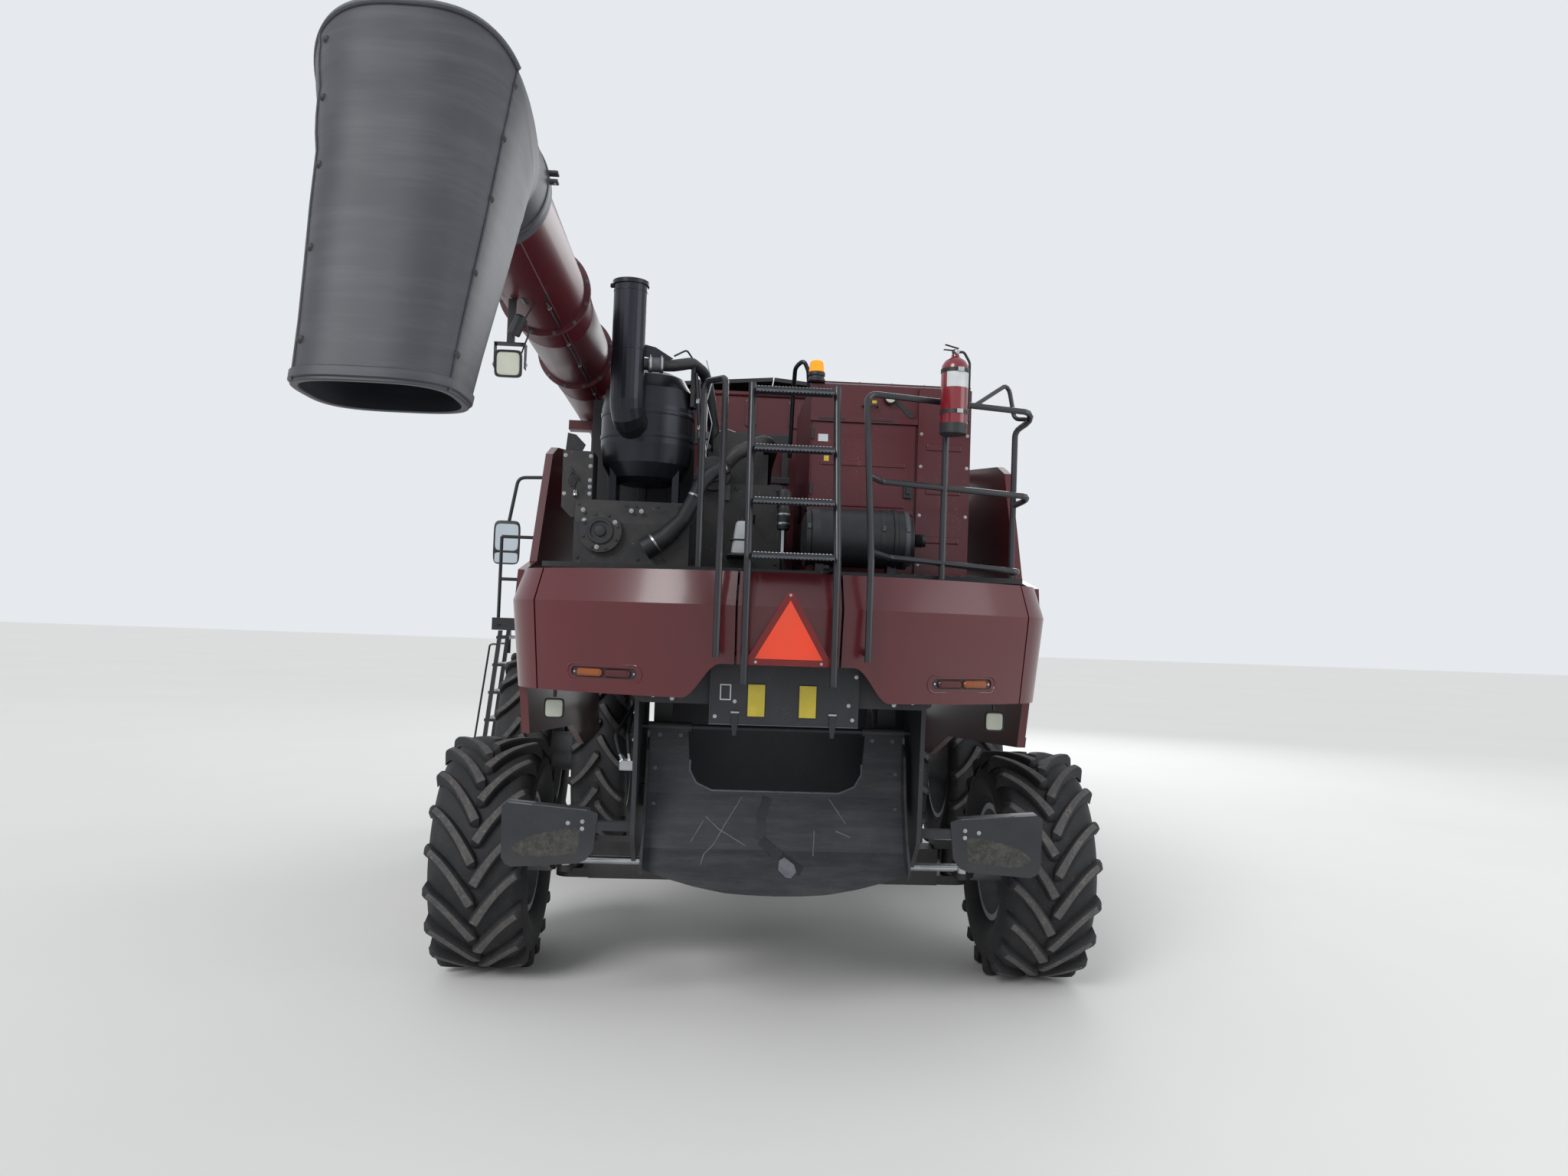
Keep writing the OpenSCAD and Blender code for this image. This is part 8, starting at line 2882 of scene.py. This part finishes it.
        rim = [(-0.5, 1.5), (-0.5, 1.44), (-0.46, 1.37), (-0.37, 1.33), (0.37, 1.33), (0.46, 1.37), (0.5, 1.44),
               (0.5, 1.5)]
        line = [self.on_chute(x, z, -0.002) for x, z in rim]
        parts.tube(SCUFFED, line, 0.006, 0.03, 2)
        return parts


class Topside:
    """What shows from above: ribs and handles of the tank covers, caps and pipes on the engine, deck treads."""

    def build(self) -> None:
        """Makes the pieces."""
        for side, body in ((-1, "tank_cover_left"), (1, "tank_cover_right")):
            Shop.deliver(f"{body}_ribs", body, self.cover(side))
        Shop.deliver("engine_top_fittings", "chassis", self.engine())
        Shop.deliver("deck_treads", "chassis", self.deck())

    @staticmethod
    def slope(x: float) -> float:
        """Height of a cover's upper face at a distance from the middle."""
        return 4.24 + (4.15 - 4.24) * (x - 0.006) / (1.03 - 0.006)

    def cover(self, side: int) -> list[Piece]:
        """Pressed ribs, a grab handle and hold-down rubbers of one tank cover.

        Args:
            side: -1 for the left, 1 for the right.

        Returns:
            The parts, with their finishes.
        """
        parts = Parts()
        for k in range(5):
            y = 1.2 + 0.33 * k
            outline = [(0.09, -0.003), (0.97, -0.003), (0.955, 0.011), (0.105, 0.011)]
            parts.plate(MOULDED_BLACK, [spot(side * x, y - 0.035, self.slope(x) + z) for x, z in outline],
                        (0, 0.07, 0), 0.005)
        x = 0.9
        grip = [(side * x, 1.6 + dy, self.slope(x) + dz) for dy, dz in ((-0.08, 0.0), (-0.08, 0.04), (0.08, 0.04),
                (0.08, 0.0))]
        parts.tube(RAIL_BLACK, spots_of(grip), 0.008, 0.02, 2)
        return parts

    def engine(self) -> list[Piece]:
        """Filler caps and bolts on the rocker cover, the fuel rail with its pipes, and the intake pipe.

        Returns:
            The parts, with their finishes.
        """
        top, x = 3.51, -0.28
        cap = Shop.turned(MOULDED_BLACK, [(-0.002, 0), (-0.002, 0.042), (0.012, 0.042), (0.018, 0.036),
                (0.018, 0.014), (0.028, 0.012), (0.028, 0)], ORIGIN, UP, 24)
        places = [-0.42 + 0.18 * k for k in range(6)]
        parts = Parts([Shop.copies(cap, [Matrix.Translation(spot(x, y, top)) for y in places])])
        rail = [(-0.47, -0.55, 3.41), (-0.47, 0.56, 3.41)]
        parts.tube(WORN_STEEL, spots_of(rail), 0.018, 0, 3)
        for y in places:
            pipe = [(-0.47, y, 3.42), (-0.44, y, 3.52), (-0.36, y + 0.02, 3.55), (-0.3, y, 3.53)]
            parts.tube(ZINC, spots_of(pipe), 0.005, 0.03, 1)
        for y in (-0.5, 0.5):
            parts.block(CAST_IRON, spot(-0.49, y - 0.02, 3.369), spot(-0.45, y + 0.02, 3.4), 0.004)
        boost = [(-0.4, -0.72, 3.22), (-0.3, -0.74, 3.34), (-0.12, -0.7, 3.44), (-0.07, -0.5, 3.42),
                 (-0.07, 0.3, 3.4), (-0.07, 0.42, 3.33)]
        parts.tube(CAST_IRON, spots_of(boost), 0.045, 0.12, 4)
        return parts

    def deck(self) -> list[Piece]:
        """Raised anti-slip ridges on the deck between the ladder and the cooling box.

        Returns:
            The parts, with their finishes.
        """
        ridge = Shop.block(FRAME_BLACK, (-0.028, -0.004, -0.001), (0.028, 0.004, 0.004), 0.002, 1)
        moves = []
        for i in range(30):
            for j in range(4):
                turn = Matrix.Rotation(math.radians(45 if (i + j) % 2 else -45), 4, "Z")
                moves.append(Matrix.Translation(spot(0.1 + 0.034 * i, -1.255 + 0.034 * j, 2.61)) @ turn)
        return [Shop.copies(ridge, moves)]


@dataclass
class Studio:
    """Floor, lights and camera.

    Attributes:
        camera_at: The camera's place.
        yaw: Its turn from +Y towards +X, in degrees.
        pitch: Its tilt upwards, in degrees.
        roll: Turn of the picture's contents, clockwise, in degrees.
        focal_px: Focal length in pixels of a picture 2048 wide.
        floor_half: Half the floor's width.
    """

    camera_at: Point = (-0.3765, -8.5411, 2.278)
    yaw: float = 3.407
    pitch: float = 2.1
    roll: float = 2.017
    focal_px: float = 1450.0
    floor_half: float = 120.0

    def build(self) -> None:
        """Makes the floor, the lights and the camera."""
        self.floor()
        self.lights()
        self.camera()
        bpy.context.scene.view_settings.view_transform = "Standard"
        LOG.info("studio ready")

    def floor(self) -> None:
        """A plain pale floor."""
        Shop.clear()
        bpy.ops.mesh.primitive_plane_add(size=2 * self.floor_half, location=(0, 0, -0.002))
        obj = bpy.context.object
        obj.name = "floor"
        Shop.coat(Shop.settle(obj), FLOOR_PALE)

    def lights(self) -> None:
        """A pale sky, a broad key light from behind the camera's left, and a soft fill."""
        world = bpy.data.worlds.new("pale_sky")
        world.use_nodes = True
        tree = world.node_tree
        tree.nodes.clear()
        path = add_node(tree, "ShaderNodeLightPath")
        seen = add_node(tree, "ShaderNodeMath", {0: path.outputs["Is Camera Ray"],
                1: path.outputs["Is Glossy Ray"]}, operation="MAXIMUM")
        seen = add_node(tree, "ShaderNodeMath", {0: seen.outputs[0], 1: path.outputs["Is Transmission Ray"]},
                        operation="MAXIMUM")
        light = add_node(tree, "ShaderNodeBackground", {"Color": srgb("#f1f3f6"), "Strength": 0.62})
        sight = add_node(tree, "ShaderNodeBackground", {"Color": srgb("#e6eaee"), "Strength": 1.0})
        both = add_node(tree, "ShaderNodeMixShader", {0: seen.outputs[0], 1: light.outputs[0], 2: sight.outputs[0]})
        add_node(tree, "ShaderNodeOutputWorld", {"Surface": both.outputs[0]})
        bpy.context.scene.world = world
        for name, kind, at, target, size, power in (("key", "SUN", (-9, -14, 13), (0, -1, 2), 0.45, 1.5),
                ("fill", "AREA", (12, -8, 6), (0, 0, 2), 8, 350), ("front", "AREA", (6, 16, 9), (0, 2, 2), 8, 500)):
            lamp = bpy.data.lights.new(name, kind)
            lamp.energy = power
            if kind == "SUN":
                lamp.angle = size
            else:
                lamp.size = size
            obj = bpy.data.objects.new(name, lamp)
            obj.location = at
            obj.rotation_euler = (Vector(target) - Vector(at)).to_track_quat("-Z", "Y").to_euler()
            bpy.context.scene.collection.objects.link(obj)

    def camera(self) -> None:
        """The camera at the photograph's viewing angle."""
        yaw, pitch, roll = (math.radians(a) for a in (self.yaw, self.pitch, self.roll))
        ahead = Vector((math.sin(yaw) * math.cos(pitch), math.cos(yaw) * math.cos(pitch), math.sin(pitch)))
        level = Vector((math.cos(yaw), -math.sin(yaw), 0))
        upright = level.cross(ahead)
        right = level * math.cos(roll) + upright * math.sin(roll)
        up = upright * math.cos(roll) - level * math.sin(roll)
        lens = bpy.data.cameras.new("view")
        lens.sensor_width = 36
        lens.lens = self.focal_px / 2048 * 36
        lens.clip_end = 500
        obj = bpy.data.objects.new("view", lens)
        turn = Matrix((right, up, -ahead)).transposed().to_4x4()
        obj.matrix_world = Matrix.Translation(self.camera_at) @ turn
        bpy.context.scene.collection.objects.link(obj)
        bpy.context.scene.camera = obj


def main() -> None:
    """Builds the scene in order."""
    logging.basicConfig(level=logging.INFO, format="%(name)s: %(message)s")
    Studio().build()
    Dressing().build()
    Wheels().build()
    Spout().build()
    UnloadTube().build()
    Signals().build()
    Ladder().build()
    EngineBay().build()
    CoolingSide().build()
    Extinguisher().build()
    Cab().build()
    Flanks().build()
    Front().build()
    Rear().build()
    Topside().build()


if __name__ == "__main__":
    main()
